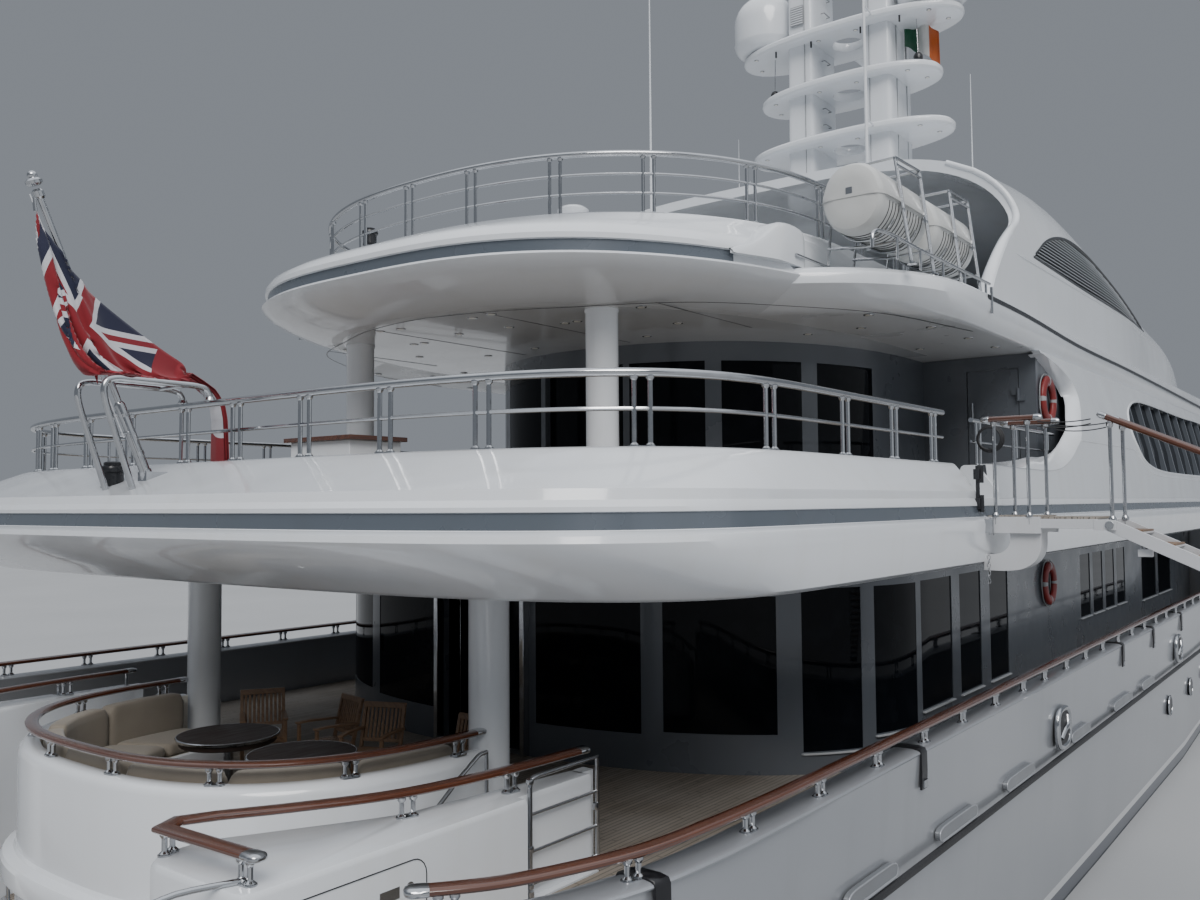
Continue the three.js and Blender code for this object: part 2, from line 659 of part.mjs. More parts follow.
function mainGlass() {
  const plan = grown(HOUSE_MAIN, -WALL - GAP);
  const ring = shell(plan, HOUSE_MAIN_END - WALL - GAP, GLASS, 2.66, 4.7);
  return ring.subtract(box(9, 11, -DOORWAY.half - 0.02, DOORWAY.half + 0.02, 2, 5));
}
// Sliding leaves stand inside the glass, one each side of the centreline
const LEAF = { width: 0.74, thick: 0.05, travel: 0.7, clear: 0.03 };
function slidingLeaf(s, plan, floor, head, grow) {
  const inside = plan.tip + WALL + GLASS + LEAF.clear + grow;
  const y = [s * 0.01, s * (0.01 + LEAF.width)].sort((a, b) => a - b);
  return box(inside, inside + LEAF.thick, y[0], y[1], floor + GAP, head);
}

// Upper deck house: shell with leaning sides, raked front and an open aft end
const UPPER_SHELL_ROWS = [
  // front tip, half breadth, height
  [42.2, 5.87, HOUSE_SILL + GAP],
  [41.5, 5.74, 6.7],
  [40.4, 5.42, SOFFIT_UPPER - GAP],
];
const UPPER_FRONT_FORM = { reach: 5.2, power: 2.6 };
function upperShellSolid(by, aft) {
  const rings = UPPER_SHELL_ROWS.map(([tip, half, z]) => {
    const front = { ...UPPER_FRONT_FORM, tip: -(tip - by), half: half - by };
    const arc = mirrorX(sternArc(front, 20), 0);
    return ringAt([[aft, -(half - by)], ...arc, [aft, half - by]], z);
  });
  return loft(rings, [0, 1]);
}
function hollowed(outer, by, aft, low, high) {
  const walls = outer.subtract(upperShellSolid(by, aft));
  const keep = box(SIDE_PLATE_AFT, 44, -7, 7, low, high);
  return walls.intersect(keep);
}
// Outline of the side opening aft of the house: columns x, z
const SIDE_OPENING = [
  [12.5, COAMING_UPPER],
  [15.4, COAMING_UPPER],
  [16.6, 6.25],
  [17.7, 6.64],
  [18.3, 7.05],
  [18.42, 7.4],
  [18.1, 7.7],
  [17.3, 7.93],
  [16.4, 8.3],
  [12.5, 8.3],
];
const UPPER_SIDE_WINDOWS = [
  [21.9, 24.2, 6.3, 7.55],
  [24.4, 26.7, 6.3, 7.55],
  [26.9, 29.2, 6.3, 7.55],
  [29.4, 31.7, 6.3, 7.55],
  [31.9, 34.2, 6.3, 7.55],
];
const BRIDGE_WINDOWS = { low: 6.75, high: 7.65, angles: [-62, -42, -22, 0, 22, 42, 62], half: 8.2 };
function bridgeCuts() {
  const { low, high, angles, half } = BRIDGE_WINDOWS;
  const centre = 37.2;
  return angles.map((degrees) => {
    const [from, to] = [degrees - half, degrees + half].map(THREE.MathUtils.degToRad);
    const far = 9;
    const wedge = [
      [centre + 1.5 * Math.cos(from), 1.5 * Math.sin(from)],
      [centre + far * Math.cos(from), far * Math.sin(from)],
      [centre + far * Math.cos(to), far * Math.sin(to)],
      [centre + 1.5 * Math.cos(to), 1.5 * Math.sin(to)],
    ];
    return prism(wedge, low, high);
  });
}
function upperHouse() {
  const walls = hollowed(upperShellSolid(0, 12), WALL, 11, HOUSE_SILL, SOFFIT_UPPER);
  return cut(walls, [
    sidePrism(SIDE_OPENING, -7, 7),
    ...sideCuts(UPPER_SIDE_WINDOWS, 5, 6.5),
    ...bridgeCuts(),
  ]);
}
function upperGlass() {
  const outer = upperShellSolid(WALL + GAP, 12);
  const band = hollowed(outer, WALL + GAP + GLASS, 11, 6.15, 7.72);
  return band.subtract(box(10, 21.5, -7, 7, 5, 9));
}
const DOOR_PIN = { x: UPPER_WALL - 0.03, y: 5.032, levels: [5.95, 7.35] };
const SIDE_DOOR = { inner: 4.22, outer: 5.04, low: DECK_UPPER + 0.06, high: 7.78, thick: 0.06 };
// Wall that runs forward from the aft wall's outer edge, seen through the side opening
const RETURN = { inner: 5.19, end: 19.1 };
function upperAftWall() {
  const low = DECK_UPPER + GAP;
  const high = SOFFIT_UPPER - GAP;
  const plan = housePlan(HOUSE_UPPER, UPPER_WALL + WALL);
  const inner = housePlan(grown(HOUSE_UPPER, -WALL), UPPER_WALL + WALL + 1);
  let wall = prism(plan, low, high).subtract(prism(inner, low - 1, high + 1));
  for (const { s } of SIDES) {
    const y = [s * (HOUSE_UPPER.half - 0.05), s * 5.3].sort((a, b) => a - b);
    wall = wall.add(box(UPPER_WALL, UPPER_WALL + WALL, y[0], y[1], low, high));
    const alongside = [s * RETURN.inner, s * (RETURN.inner + 0.1)].sort((a, b) => a - b);
    wall = wall.add(box(UPPER_WALL, RETURN.end, alongside[0], alongside[1], low, high));
    const closing = [s * RETURN.inner, s * 5.9].sort((a, b) => a - b);
    wall = wall.add(box(RETURN.end - 0.1, RETURN.end, closing[0], closing[1], low, high));
    const door = [s * SIDE_DOOR.inner, s * SIDE_DOOR.outer].sort((a, b) => a - b);
    wall = wall.subtract(box(16, 18, door[0], door[1], SIDE_DOOR.low, SIDE_DOOR.high));
    const leaf = [s * DOOR_PIN.y, s * (DOOR_PIN.y + 0.1)].sort((a, b) => a - b);
    for (const z of DOOR_PIN.levels) {
      const pin = [DOOR_PIN.x, s * DOOR_PIN.y];
      wall = wall.add(rod([...pin, z - 0.1], [...pin, z], 0.028, 10));
      wall = wall.add(box(DOOR_PIN.x, UPPER_WALL + 0.02, leaf[0], leaf[1], z - 0.1, z));
    }
  }
  const windows = frontCuts(UPPER_FRONT_WINDOWS, 11.5, 16.5);
  const entry = box(11, 14, -DOORWAY.half, DOORWAY.half, 5, UPPER_HEAD);
  const shellCut = upperShellSolid(WALL + GAP, 11);
  return cut(wall, [entry, ...windows]).intersect(join([shellCut, box(11, 18, -4, 4, 5, 9)]));
}
const UPPER_HEAD = 7.72;
const UPPER_FRONT_WINDOWS = [
  [0.85, 1.89, 5.75, UPPER_HEAD],
  [2.08, 2.88, 5.75, UPPER_HEAD],
  [3.01, 3.38, 5.75, UPPER_HEAD],
];
function upperAftGlass() {
  const plan = grown(HOUSE_UPPER, -WALL - GAP);
  const outer = housePlan(plan, UPPER_WALL + WALL);
  const inner = housePlan(grown(plan, -GLASS), UPPER_WALL + WALL + 1);
  const ring = prism(outer, 5.7, UPPER_HEAD + 0.06).subtract(prism(inner, 5, 8));
  return ring;
}

// Canopy over the sun deck: arched sections. Columns x, height, half breadth
const CANOPY_ROWS = [
  [14.8, 3.0, 5.19],
  [20.0, 3.45, 5.27],
  [24.0, 2.85, 5.32],
  [28.0, 2.34, 5.14],
  [32.0, 1.88, 5.0],
  [36.0, 0.86, 4.4],
  [38.6, 0.2, 3.3],
];
const CANOPY_POWER = 3.7;
const CANOPY_SKIN = 0.14;
function canopySolid(by, low) {
  const rings = CANOPY_ROWS.map(([x, height, half]) => {
    const arch = Array.from({ length: 17 }, (_, i) => {
      const t = (Math.PI * i) / 16;
      const y = (half - by) * Math.sign(Math.cos(t)) * Math.abs(Math.cos(t)) ** (2 / CANOPY_POWER);
      const z = Math.max(height - by, 0.05) * Math.sin(t) ** (2 / CANOPY_POWER);
      return [x - (x > 38 ? by * 2 : 0), y, SHOULDER_SUN + GAP + (i % 16 ? z : 0) + low];
    });
    return arch;
  });
  return loft(rings, [1, 2]);
}
// Aft edge of the canopy in side view, swept forward above the shoulder: columns x, z
const CANOPY_EDGE = [
  [14.9, 8.3],
  [15.25, 8.8],
  [15.5, 9.1],
  [16.0, 9.55],
  [16.7, 10.0],
  [17.3, 10.25],
  [17.3, 12.5],
  [14, 12.5],
  [14, 8.3],
];
const LOUVRE = [
  [17.4, 9.62],
  [22.6, 9.55],
  [27.4, 9.68],
  [26.0, 9.98],
  [24.6, 10.2],
  [23.0, 10.4],
  [21.5, 10.5],
  [20.2, 10.46],
  [19.2, 10.3],
  [18.3, 10.04],
];
function inset(points, by) {
  const n = points.length;
  return points.map(([x, z], i) => {
    const [ax, az] = points[(i + n - 1) % n];
    const [bx, bz] = points[(i + 1) % n];
    const one = new THREE.Vector2(x - ax, z - az).normalize();
    const two = new THREE.Vector2(bx - x, bz - z).normalize();
    const normal = new THREE.Vector2(-one.y - two.y, one.x + two.x).normalize();
    const spread = by / Math.max(0.3, normal.dot(new THREE.Vector2(-one.y, one.x)));
    return [x + normal.x * spread, z + normal.y * spread];
  });
}
function canopy() {
  const skin = canopySolid(0, 0).subtract(canopySolid(CANOPY_SKIN, -0.05));
  const edge = sidePrism(CANOPY_EDGE, -7, 7);
  const vents = [sidePrism(LOUVRE, 3, 7), sidePrism(LOUVRE, -7, -3)];
  return cut(skin, [edge, ...vents]);
}
function louvre(s) {
  const y = [s * 3.2, s * 6].sort((a, b) => a - b);
  const frame = sidePrism(inset(LOUVRE, GAP), y[0], y[1]);
  const slats = [];
  for (let z = 9.62; z < 10.4; z += 0.19) slats.push(box(17, 28, y[0], y[1], z, z + 0.09));
  for (const x of [18.7, 20.7, 22.7, 24.7]) slats.push(box(x, x + 0.08, y[0], y[1], 9.5, 10.6));
  const layer = canopySolid(0.04, 0).subtract(canopySolid(0.1, -0.05));
  const bars = join(slats).intersect(frame).intersect(layer);
  const pieces = bars.decompose().sort((a, b) => b.volume() - a.volume());
  return pieces[0];
}

// Mast: two legs through wing platforms. Platform columns z, half span, thickness
const MAST = { x: 21.5, depth: 1.35, inner: 0.58, outer: 1.26, top: 18.3 };
const MAST_WINGS = [
  [13.78, 2.4, 0.2],
  [15.06, 2.15, 0.2],
  [16.26, 2.65, 0.2],
];
const RADAR_SPOTS = [
  { name: "lower", level: 0, x: 24.15, reach: 1.1 },
  { name: "upper", level: 2, x: 24.0, reach: 0.85 },
];
const PEDESTAL = 0.28;
function mast() {
  const middle = MAST.x + MAST.depth / 2;
  const parts = [];
  for (const { s } of SIDES) {
    const y = [s * MAST.inner, s * MAST.outer].sort((a, b) => a - b);
    parts.push(box(MAST.x, MAST.x + MAST.depth, y[0], y[1], 11, MAST.top));
  }
  for (const [z, span, thick] of MAST_WINGS) {
    const wing = new THREE.Shape();
    wing.absellipse(0, 0, 1.0, span, 0, 2 * Math.PI);
    const hole = new THREE.Path();
    hole.absarc(0, 0, 0.36, 0, 2 * Math.PI);
    wing.holes.push(hole);
    const g = new THREE.ExtrudeGeometry(wing, {
      depth: thick,
      bevelEnabled: false,
      curveSegments: 9,
    });
    parts.push(solidOf(g.translate(middle, 0, z)));
  }
  for (const { level, x } of RADAR_SPOTS) {
    const [z, , thick] = MAST_WINGS[level];
    parts.push(box(middle + 0.5, x + 0.22, -0.3, 0.3, z, z + thick));
    parts.push(rod([x, 0, z + 0.05], [x, 0, z + thick + PEDESTAL], 0.2, 14));
  }
  parts.push(box(MAST.x + 0.3, MAST.x + 1, -1.2, 1.2, MAST.top - 0.15, MAST.top));
  parts.push(rod([middle, 0, MAST.top - 0.1], [middle, 0, 19.9], 0.06, 8));
  return join(parts).subtract(canopySolid(-GAP, 0));
}
function radar({ level, x, reach }) {
  const [z, , thick] = MAST_WINGS[level];
  const foot = z + thick + PEDESTAL + GAP;
  return box(x - 0.09, x + 0.09, -reach, reach, foot, foot + 0.16);
}
function satDome(s) {
  const [z, , thick] = MAST_WINGS[2];
  const profile = [
    [0, 0],
    [0.62, 0],
    [0.76, 0.28],
    [0.76, 0.75],
    [0.66, 1.12],
    [0.4, 1.38],
    [0, 1.47],
  ].map(([r, h]) => new THREE.Vector2(r, h));
  const g = new THREE.LatheGeometry(profile, 20).rotateX(Math.PI / 2);
  return solidOf(g.translate(MAST.x + 0.55, s * 2.06, z + thick + GAP));
}

// Life rafts on the shoulder of the sun deck: x of each canister's middle
const RAFT_SPOTS = [12.0, 14.15];
const RAFT_FORM = { y: 4.72, z: 9.42, radius: 0.44, half: 0.95 };
function raftCanister(s, x) {
  const { y, z, radius, half } = RAFT_FORM;
  const profile = [
    [0, -half],
    [radius * 0.6, -half],
    [radius * 0.95, -half + 0.18],
    [radius, -half + 0.3],
    [radius, half - 0.3],
    [radius * 0.95, half - 0.18],
    [radius * 0.6, half],
    [0, half],
  ].map(([r, h]) => new THREE.Vector2(r, h));
  const g = new THREE.LatheGeometry(profile, 14).rotateZ(-Math.PI / 2);
  return solidOf(g.translate(x, s * y, z));
}
function lifeRafts(s) {
  const { y, z, radius } = RAFT_FORM;
  const low = SHOULDER_SUN + GAP;
  const [inner, outer] = [y - radius - 0.08, y + radius + 0.08];
  const parts = [];
  const spots = RAFT_SPOTS.flatMap((x) => [x - 0.5, x + 0.5]);
  for (const x of spots) {
    const frame = [
      [inner, low],
      [inner + 0.1, low],
      [inner + 0.2, z - radius - 0.1],
      [outer - 0.2, z - radius - 0.1],
      [outer - 0.1, low],
      [outer, low],
      [outer - 0.06, z + 0.62],
      [outer - 0.1, z + 0.62],
      [outer - 0.12, z - 0.2],
      [inner + 0.12, z - 0.2],
      [inner + 0.04, z + 0.3],
      [inner, z + 0.3],
    ].map(([py, pz]) => [s * py, pz]);
    const rings = [x - 0.03, x + 0.03].map((at) => frame.map(([py, pz]) => [at, py, pz]));
    parts.push(loft(rings, [1, 2]));
  }
  const last = spots[spots.length - 1];
  for (const at of [inner + 0.03, outer - 0.03]) {
    const edges = [s * (at - 0.025), s * (at + 0.025)].sort((a, b) => a - b);
    parts.push(box(spots[0], last, edges[0], edges[1], low + 0.02, low + 0.07));
  }
  return join([...parts, ...RAFT_SPOTS.map((x) => raftCanister(s, x))]);
}

// Ensign staff, its flag as a plain slab, and the two bent hoops beside it
const STAFF_RADIUS = 0.032;
const STAFF = { foot: [5.27, 0, 5.9], head: [4.13, 0, 8.6] };
// Flag in side view, drawn from the staff's head over the hoops, with its tail inside the rail
const FLAG = [
  [4.14, 8.4],
  [4.73, 6.86],
  [5.0, 6.89],
  [5.76, 6.89],
  [5.9, 6.8],
  [5.9, 5.85],
  [5.98, 5.85],
  [5.98, 6.87],
  [5.86, 6.97],
  [5.6, 7.0],
];
const FLAG_SIDE = { from: -0.135, to: -STAFF_RADIUS - GAP };
function staff(deck) {
  const ball = new THREE.SphereGeometry(0.07, 10, 8).translate(...STAFF.head);
  const socket = rod(STAFF.foot, [4.94, 0, 6.68], 0.052, 10);
  const whole = join([rod(STAFF.foot, STAFF.head, STAFF_RADIUS, 10), solidOf(ball), socket]);
  return whole.subtract(moved(deck, 0, 0, GAP));
}
// Hoop path: columns x, z in the plane of the hoop
const HOOP = [
  [4.99, 5.75],
  [4.66, 6.73],
  [4.73, 6.87],
  [5.56, 6.875],
  [5.7, 6.82],
  [5.76, 6.71],
];
const HOOP_SIDE = 0.25;
function hoops(deck, rail) {
  const radius = 0.031;
  const bent = [-HOOP_SIDE, HOOP_SIDE].map((y) => {
    const rings = HOOP.map(([x, z], i) => {
      const [ax, az] = HOOP[Math.max(i - 1, 0)];
      const [bx, bz] = HOOP[Math.min(i + 1, HOOP.length - 1)];
      const length = Math.hypot(bx - ax, bz - az);
      const [nx, nz] = [-(bz - az) / length, (bx - ax) / length];
      return Array.from({ length: 6 }, (_, k) => {
        const angle = (k / 6) * 2 * Math.PI;
        const out = Math.cos(angle) * radius;
        return [x + nx * out, y + Math.sin(angle) * radius, z + nz * out];
      });
    });
    return loft(rings, [0, 1]);
  });
  const bar = rod([5.5, -HOOP_SIDE, 6.87], [5.5, HOOP_SIDE, 6.87], 0.02, 6);
  const whole = join([...bent, bar]).subtract(moved(deck, 0, 0, GAP));
  const pieces = whole.subtract(moved(rail, 0, 0, GAP)).decompose();
  return pieces.sort((a, b) => b.volume() - a.volume())[0];
}

// Boarding platform outboard of the upper deck's starboard edge, in line with an opening in
// the coaming, and the ladder that goes on outboard from its end down to a quay
const LANDING = { x0: 12.1, x1: 12.9, inner: 6.03, waist: 6.57, outer: 7.16, top: 5.5, rail: 6.61 };
const LADDER = { hinge: [7.28, 5.4], length: 6.7, slope: 25.1, clear: 0.05, treads: 20 };
const outboard = (y0, y1) => [-y1, -y0];
function landing(deck) {
  const { x0, x1, inner, waist, outer, top, rail } = LANDING;
  const [hy, hz] = LADDER.hinge;
  const parts = [
    box(x0, x1, ...outboard(inner - 0.1, waist), top - 0.2, top),
    box(x0, x1, ...outboard(waist - 0.02, outer), top - 0.14, top - 0.03),
  ];
  // Curved knee under the platform: columns y outboard, z
  const knee = [
    [6.26, top - 0.19],
    [6.56, top - 0.19],
    [6.56, 5.2],
    [6.5, 5.08],
    [6.38, 5.0],
    [6.2, 4.97],
    [5.85, 4.97],
    [5.85, 5.06],
    [6.12, 5.08],
    [6.22, 5.16],
    [6.26, 5.25],
  ];
  parts.push(loft([x0 + 0.04, x0 + 0.3].map((x) => knee.map(([y, z]) => [x, -y, z])), [1, 2]));
  for (const x of [x0 + 0.02, x1 - 0.02]) {
    for (const y of [6.08, 6.45]) parts.push(rod([x, -y, top - 0.1], [x, -y, rail], 0.022, 8));
    parts.push(rod([x, -5.98, rail], [x, -waist, rail], 0.035, 8));
    const [from, to] = x < (x0 + x1) / 2 ? [x0, x0 + 0.04] : [x1 - 0.04, x1];
    parts.push(box(from, to, ...outboard(outer - 0.03, hy + 0.05), hz - 0.05, hz + 0.05));
    const pin = x < (x0 + x1) / 2 ? x0 + LADDER.clear - GAP : x1 - LADDER.clear + GAP;
    parts.push(rod([x, -hy, hz], [pin, -hy, hz], 0.03, 10));
  }
  return join(parts).subtract(moved(deck, 0, -GAP, 0));
}
function ladder() {
  const [hy, hz] = LADDER.hinge;
  const { length, slope, clear, treads } = LADDER;
  const [x0, x1] = [LANDING.x0 + clear, LANDING.x1 - clear];
  const angle = THREE.MathUtils.degToRad(slope);
  const [fall, run] = [Math.sin(angle), Math.cos(angle)];
  // A place on the sloping ladder: along it from the hinge, and height above the hinge line
  const spot = (along, up) => [-hy - along * run, hz - along * fall + up];
  const beam = (from, to, low, high) => [
    [-hy + from[0], hz + from[1] + low],
    [-hy + from[0], hz + from[1] + high],
    [-hy + to[0], hz + to[1] + high],
    [-hy + to[0], hz + to[1] + low],
  ];
  const foot = [-length * run, -length * fall];
  const parts = [];
  for (const x of [x0, x1 - 0.04]) {
    const outline = beam([0.05, 0.02], foot, -0.08, 0.07);
    parts.push(loft([x, x + 0.04].map((at) => outline.map(([y, z]) => [at, y, z])), [1, 2]));
  }
  for (let i = 0; i < treads; i++) {
    const [y, z] = spot(0.2 + (i * (length - 0.35)) / (treads - 1), 0.02);
    parts.push(box(x0 + 0.02, x1 - 0.02, y - 0.13, y + 0.11, z - 0.03, z));
  }
  for (const x of [x0 + 0.02, x1 - 0.02]) {
    for (const along of [0.02, 1.65, 3.3, 4.95, 6.5]) {
      const [y, z] = spot(along, 0);
      parts.push(rod([x, y, z], [x, y, z + 1.17], 0.022, 6));
    }
    const [y0, z0] = spot(-0.08, 1.17);
    const [y1, z1] = spot(6.6, 1.17);
    parts.push(rod([x, y0, z0], [x, y1, z1], 0.035, 6));
  }
  return join(parts);
}

// Cockpit furniture on the settee well's floor
const TABLE = { top: 3.16, radius: 0.55, apron: 0.1 };
const TABLES = [
  { name: "deck_table_1", x: 6.57, y: 0.61 },
  { name: "deck_table_2", x: 6.5, y: -0.8 },
];
const CHAIRS = [
  { name: "deck_chair_1", x: 7.5, y: 1.3, turn: 237 },
  { name: "deck_chair_2", x: 7.7, y: 0.36, turn: 167 },
  { name: "deck_chair_3", x: 7.67, y: -0.48, turn: 202 },
  { name: "deck_chair_4", x: 7.72, y: -1.75, turn: 180 },
];
const floorMain = DECK_MAIN + PLANKING;
function table({ x, y }) {
  const { top, radius, apron } = TABLE;
  return join([
    rod([x, y, top - apron], [x, y, top], radius, 28),
    rod([x, y, floorMain + GAP], [x, y, top - 0.02], 0.07, 12),
    rod([x, y, floorMain + GAP], [x, y, floorMain + 0.04], 0.25, 18),
  ]);
}
function chair({ x, y, turn }) {
  const seat = floorMain + 0.44;
  const parts = [box(-0.25, 0.25, -0.26, 0.26, seat - 0.04, seat)];
  for (const px of [-0.23, 0.21]) {
    for (const py of [-0.26, 0.22]) {
      parts.push(box(px, px + 0.04, py, py + 0.04, floorMain + GAP, seat + (px < 0 ? 0.02 : 0.22)));
    }
  }
  const back = [
    [-0.25, seat - 0.05],
    [-0.21, seat - 0.05],
    [-0.33, seat + 0.46],
    [-0.37, seat + 0.46],
  ];
  parts.push(sidePrism(back, -0.26, 0.26));
  for (const py of [-0.28, 0.22]) parts.push(box(-0.28, 0.26, py, py + 0.06, seat + 0.2, seat + 0.23));
  const g = geometryOf(join(parts)).rotateZ(THREE.MathUtils.degToRad(turn)).translate(x, y, 0);
  return solidOf(g);
}

// Main deck planking between the bulwarks, cut round what stands on the deck
function mainPlanking() {
  const low = DECK_MAIN + GAP;
  const high = DECK_MAIN + PLANKING;
  const edge = [
    [QUARTER_END + 0.02, PASSAGE_INNER + 0.02],
    [QUARTER_END + 0.02, 4.98],
    [4.28, 5.26],
    [4.82, 5.5],
    [5.6, 5.7],
    [7, 5.74],
    [33.5, 5.74],
    [34.28, 5.3],
    [34.5, 5.0],
  ];
  const outline = [...onSide(-1, edge), ...edge.slice().reverse()];
  const aft = box(3, BULKHEAD + 0.01, -PASSAGE_INNER - 0.02, PASSAGE_INNER + 0.02, 2, 3);
  const house = prism(housePlan(grown(HOUSE_MAIN, GAP), HOUSE_MAIN_END + GAP), 2, 3);
  const columns = SIDES.map(({ s }) =>
    rod([COLUMN_MAIN.x, s * COLUMN_MAIN.y, 2], [COLUMN_MAIN.x, s * COLUMN_MAIN.y, 3], 0.207, 20),
  );
  return cut(prism(outline, low, high), [aft, house, ...columns]);
}
function upperPlanking() {
  const low = DECK_UPPER + GAP;
  const high = DECK_UPPER + PLANKING;
  const rim = grown(UPPER_RIM, -0.03);
  const end = UPPER_WALL - GAP;
  const outline = [[end, -rim.half], ...sternArc(rim, 28), [end, rim.half]];
  const house = prism(housePlan(grown(HOUSE_UPPER, GAP), 20), 5, 6);
  const columns = SIDES.map(({ s }) =>
    rod([COLUMN_UPPER.x, s * COLUMN_UPPER.y, 5], [COLUMN_UPPER.x, s * COLUMN_UPPER.y, 6], 0.2, 20),
  );
  return cut(prism(outline, low, high), [house, ...columns]);
}
const COLUMN_MAIN = { x: 7.45, y: 2.51, radius: 0.205 };
const COLUMN_UPPER = { x: 9.73, y: 2.22, radius: 0.198 };
const column = ({ x, y, radius }, s, low, high) =>
  rod([x, s * y, low + GAP], [x, s * y, high - GAP], radius, 20);

function sideDoor(s) {
  const { inner, outer, low, high, thick } = SIDE_DOOR;
  const clear = 0.012;
  const span = (a, b) => [s * a, s * b].sort((p, q) => p - q);
  const y = span(inner + clear, outer - clear);
  const face = UPPER_WALL + 0.01;
  const leaf = box(face, face + thick, y[0], y[1], low + clear, high - clear);
  const [inboard, outboard] = span(DOOR_PIN.y - 0.1, DOOR_PIN.y);
  const knuckles = DOOR_PIN.levels.flatMap((z) => [
    rod([DOOR_PIN.x, s * DOOR_PIN.y, z + GAP], [DOOR_PIN.x, s * DOOR_PIN.y, z + 0.1], 0.028, 10),
    box(DOOR_PIN.x, face + 0.01, inboard, outboard, z + GAP, z + 0.1),
  ]);
  return join([leaf, ...knuckles]);
}

// The ship, piece by piece
add("hull", hullSolid(), SILVER);
add("main_deck_planking", mainPlanking(), TEAK);
add("settee_block", setteeBlock(), WHITE);
add("settee_cushion", setteeCushion(), CUSHION);
TABLES.forEach((spot) => add(spot.name, table(spot), DARK_WOOD));
CHAIRS.forEach((spot) => add(spot.name, chair(spot), TEAK));
add("main_house", mainHouse(), DARK_GREY);
add("main_house_glass", mainGlass(), DARK_GLASS);
const upperDeckSolid = add("upper_deck", upperDeck(), WHITE);
add("upper_deck_planking", upperPlanking(), TEAK);
add("upper_house", upperHouse(), WHITE);
add("upper_aft_wall", upperAftWall(), DARK_GREY);
add("upper_house_glass", upperGlass(), DARK_GLASS);
add("upper_aft_glass", upperAftGlass(), DARK_GLASS);
add("sun_deck", sunDeck(), WHITE);
add("canopy", canopy(), WHITE);
add("mast", mast(), WHITE);
add("ensign_staff", staff(upperDeckSolid), STEEL);
const upperRailPath = [
  [11.95, -UPPER_RAIL.half],
  ...sternArc(UPPER_RAIL, 26),
  [11.95, UPPER_RAIL.half],
];
const sunRailPath = [
  [15.2, -SUN_RAIL.half],
  ...sternArc(SUN_RAIL, 22),
  [15.2, SUN_RAIL.half],
];
function tubeRail(path, foot, heights, spacing) {
  const top = heights[heights.length - 1];
  const bars = heights.map((z) => railAlong(path, z, 0.05, 0.05, z === top ? 6 : 4));
  const posts = railPosts(path, foot + GAP, top, spacing);
  return join([...bars, ...posts]);
}
const upperRailSolid = tubeRail(upperRailPath, COAMING_UPPER, [6.42, RAIL_UPPER], 1.62);
const hoopSolid = hoops(upperDeckSolid, upperRailSolid);
add("stern_hoops", hoopSolid, STEEL);
const flag = sidePrism(FLAG, FLAG_SIDE.from, FLAG_SIDE.to).subtract(moved(hoopSolid, 0, 0, GAP));
add("ensign", flag, RED_CLOTH);
add("boarding_landing", landing(upperDeckSolid), STEEL);
add("boarding_ladder", ladder(), STEEL);
RADAR_SPOTS.forEach((spot) => add("radar_scanner_" + spot.name, radar(spot), WHITE));

add("upper_deck_rail", upperRailSolid, STEEL);
add(
  "sun_deck_rail",
  tubeRail(sunRailPath, COAMING_SUN, [9.4, RAIL_SUN], 1.45),
  STEEL,
);
const SETTEE_RAIL = { tip: 4.62, reach: 2.62, half: 2.6, power: 2.65 };
add("settee_rail", caprail(sternArc(SETTEE_RAIL, 16), BULWARK_TOP, 1.25), VARNISH);

for (const { side, s } of SIDES) {
  const rail = onSide(s, RAIL_LINE);
  add("bulwark_rail_" + side, caprail(rail, BULWARK_TOP, 1.55), VARNISH);
  const wingRail = onSide(s, [
    [3.74, 3.96],
    [3.74, 3.04],
    [3.86, 2.96],
    [4.12, 3.0],
    [4.6, 3.28],
    [5.28, 3.62],
    [6.2, 3.8],
    [7.24, 3.88],
  ]);
  add("wing_rail_" + side, caprail(wingRail, BULWARK_TOP, 1.1), VARNISH);
  add("stern_wing_" + side, sternWing(s), WHITE);
  add("gate_" + side, gate(s), STEEL);
  add("main_column_" + side, column(COLUMN_MAIN, s, DECK_MAIN, SOFFIT_MAIN), WHITE);
  add("upper_column_" + side, column(COLUMN_UPPER, s, DECK_UPPER, SOFFIT_UPPER), WHITE);
  add("saloon_door_" + side, slidingLeaf(s, HOUSE_MAIN, DECK_MAIN, 4.56, 0.12), DARK_GLASS);
  add("upper_side_door_" + side, sideDoor(s), DARK_GREY);
  add("louvre_" + side, louvre(s), BLACK);
  add("sat_dome_" + side, satDome(s), WHITE);
  add("propeller_" + side, propeller(s), BRONZE);
  add("rudder_" + side, rudder(s), SILVER);
  add("life_rafts_" + side, lifeRafts(s), RAFT);
}

ship.scale.setScalar(MM_PER_METRE);
ship.position.x = (-LENGTH / 2) * MM_PER_METRE;
const yacht = new THREE.Group();
yacht.add(ship);

export default yacht;
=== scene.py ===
"""The looks of a three-deck motor yacht, a 1:2 scale model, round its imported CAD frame.

Places below are the full-size ship's, in metres: x forward from the aft edge of the bathing
platform, y to port, z above the waterline. model() turns them into the frame's metres.
"""

import math

import bmesh
import bpy
import numpy as np
from mathutils import Matrix, Vector


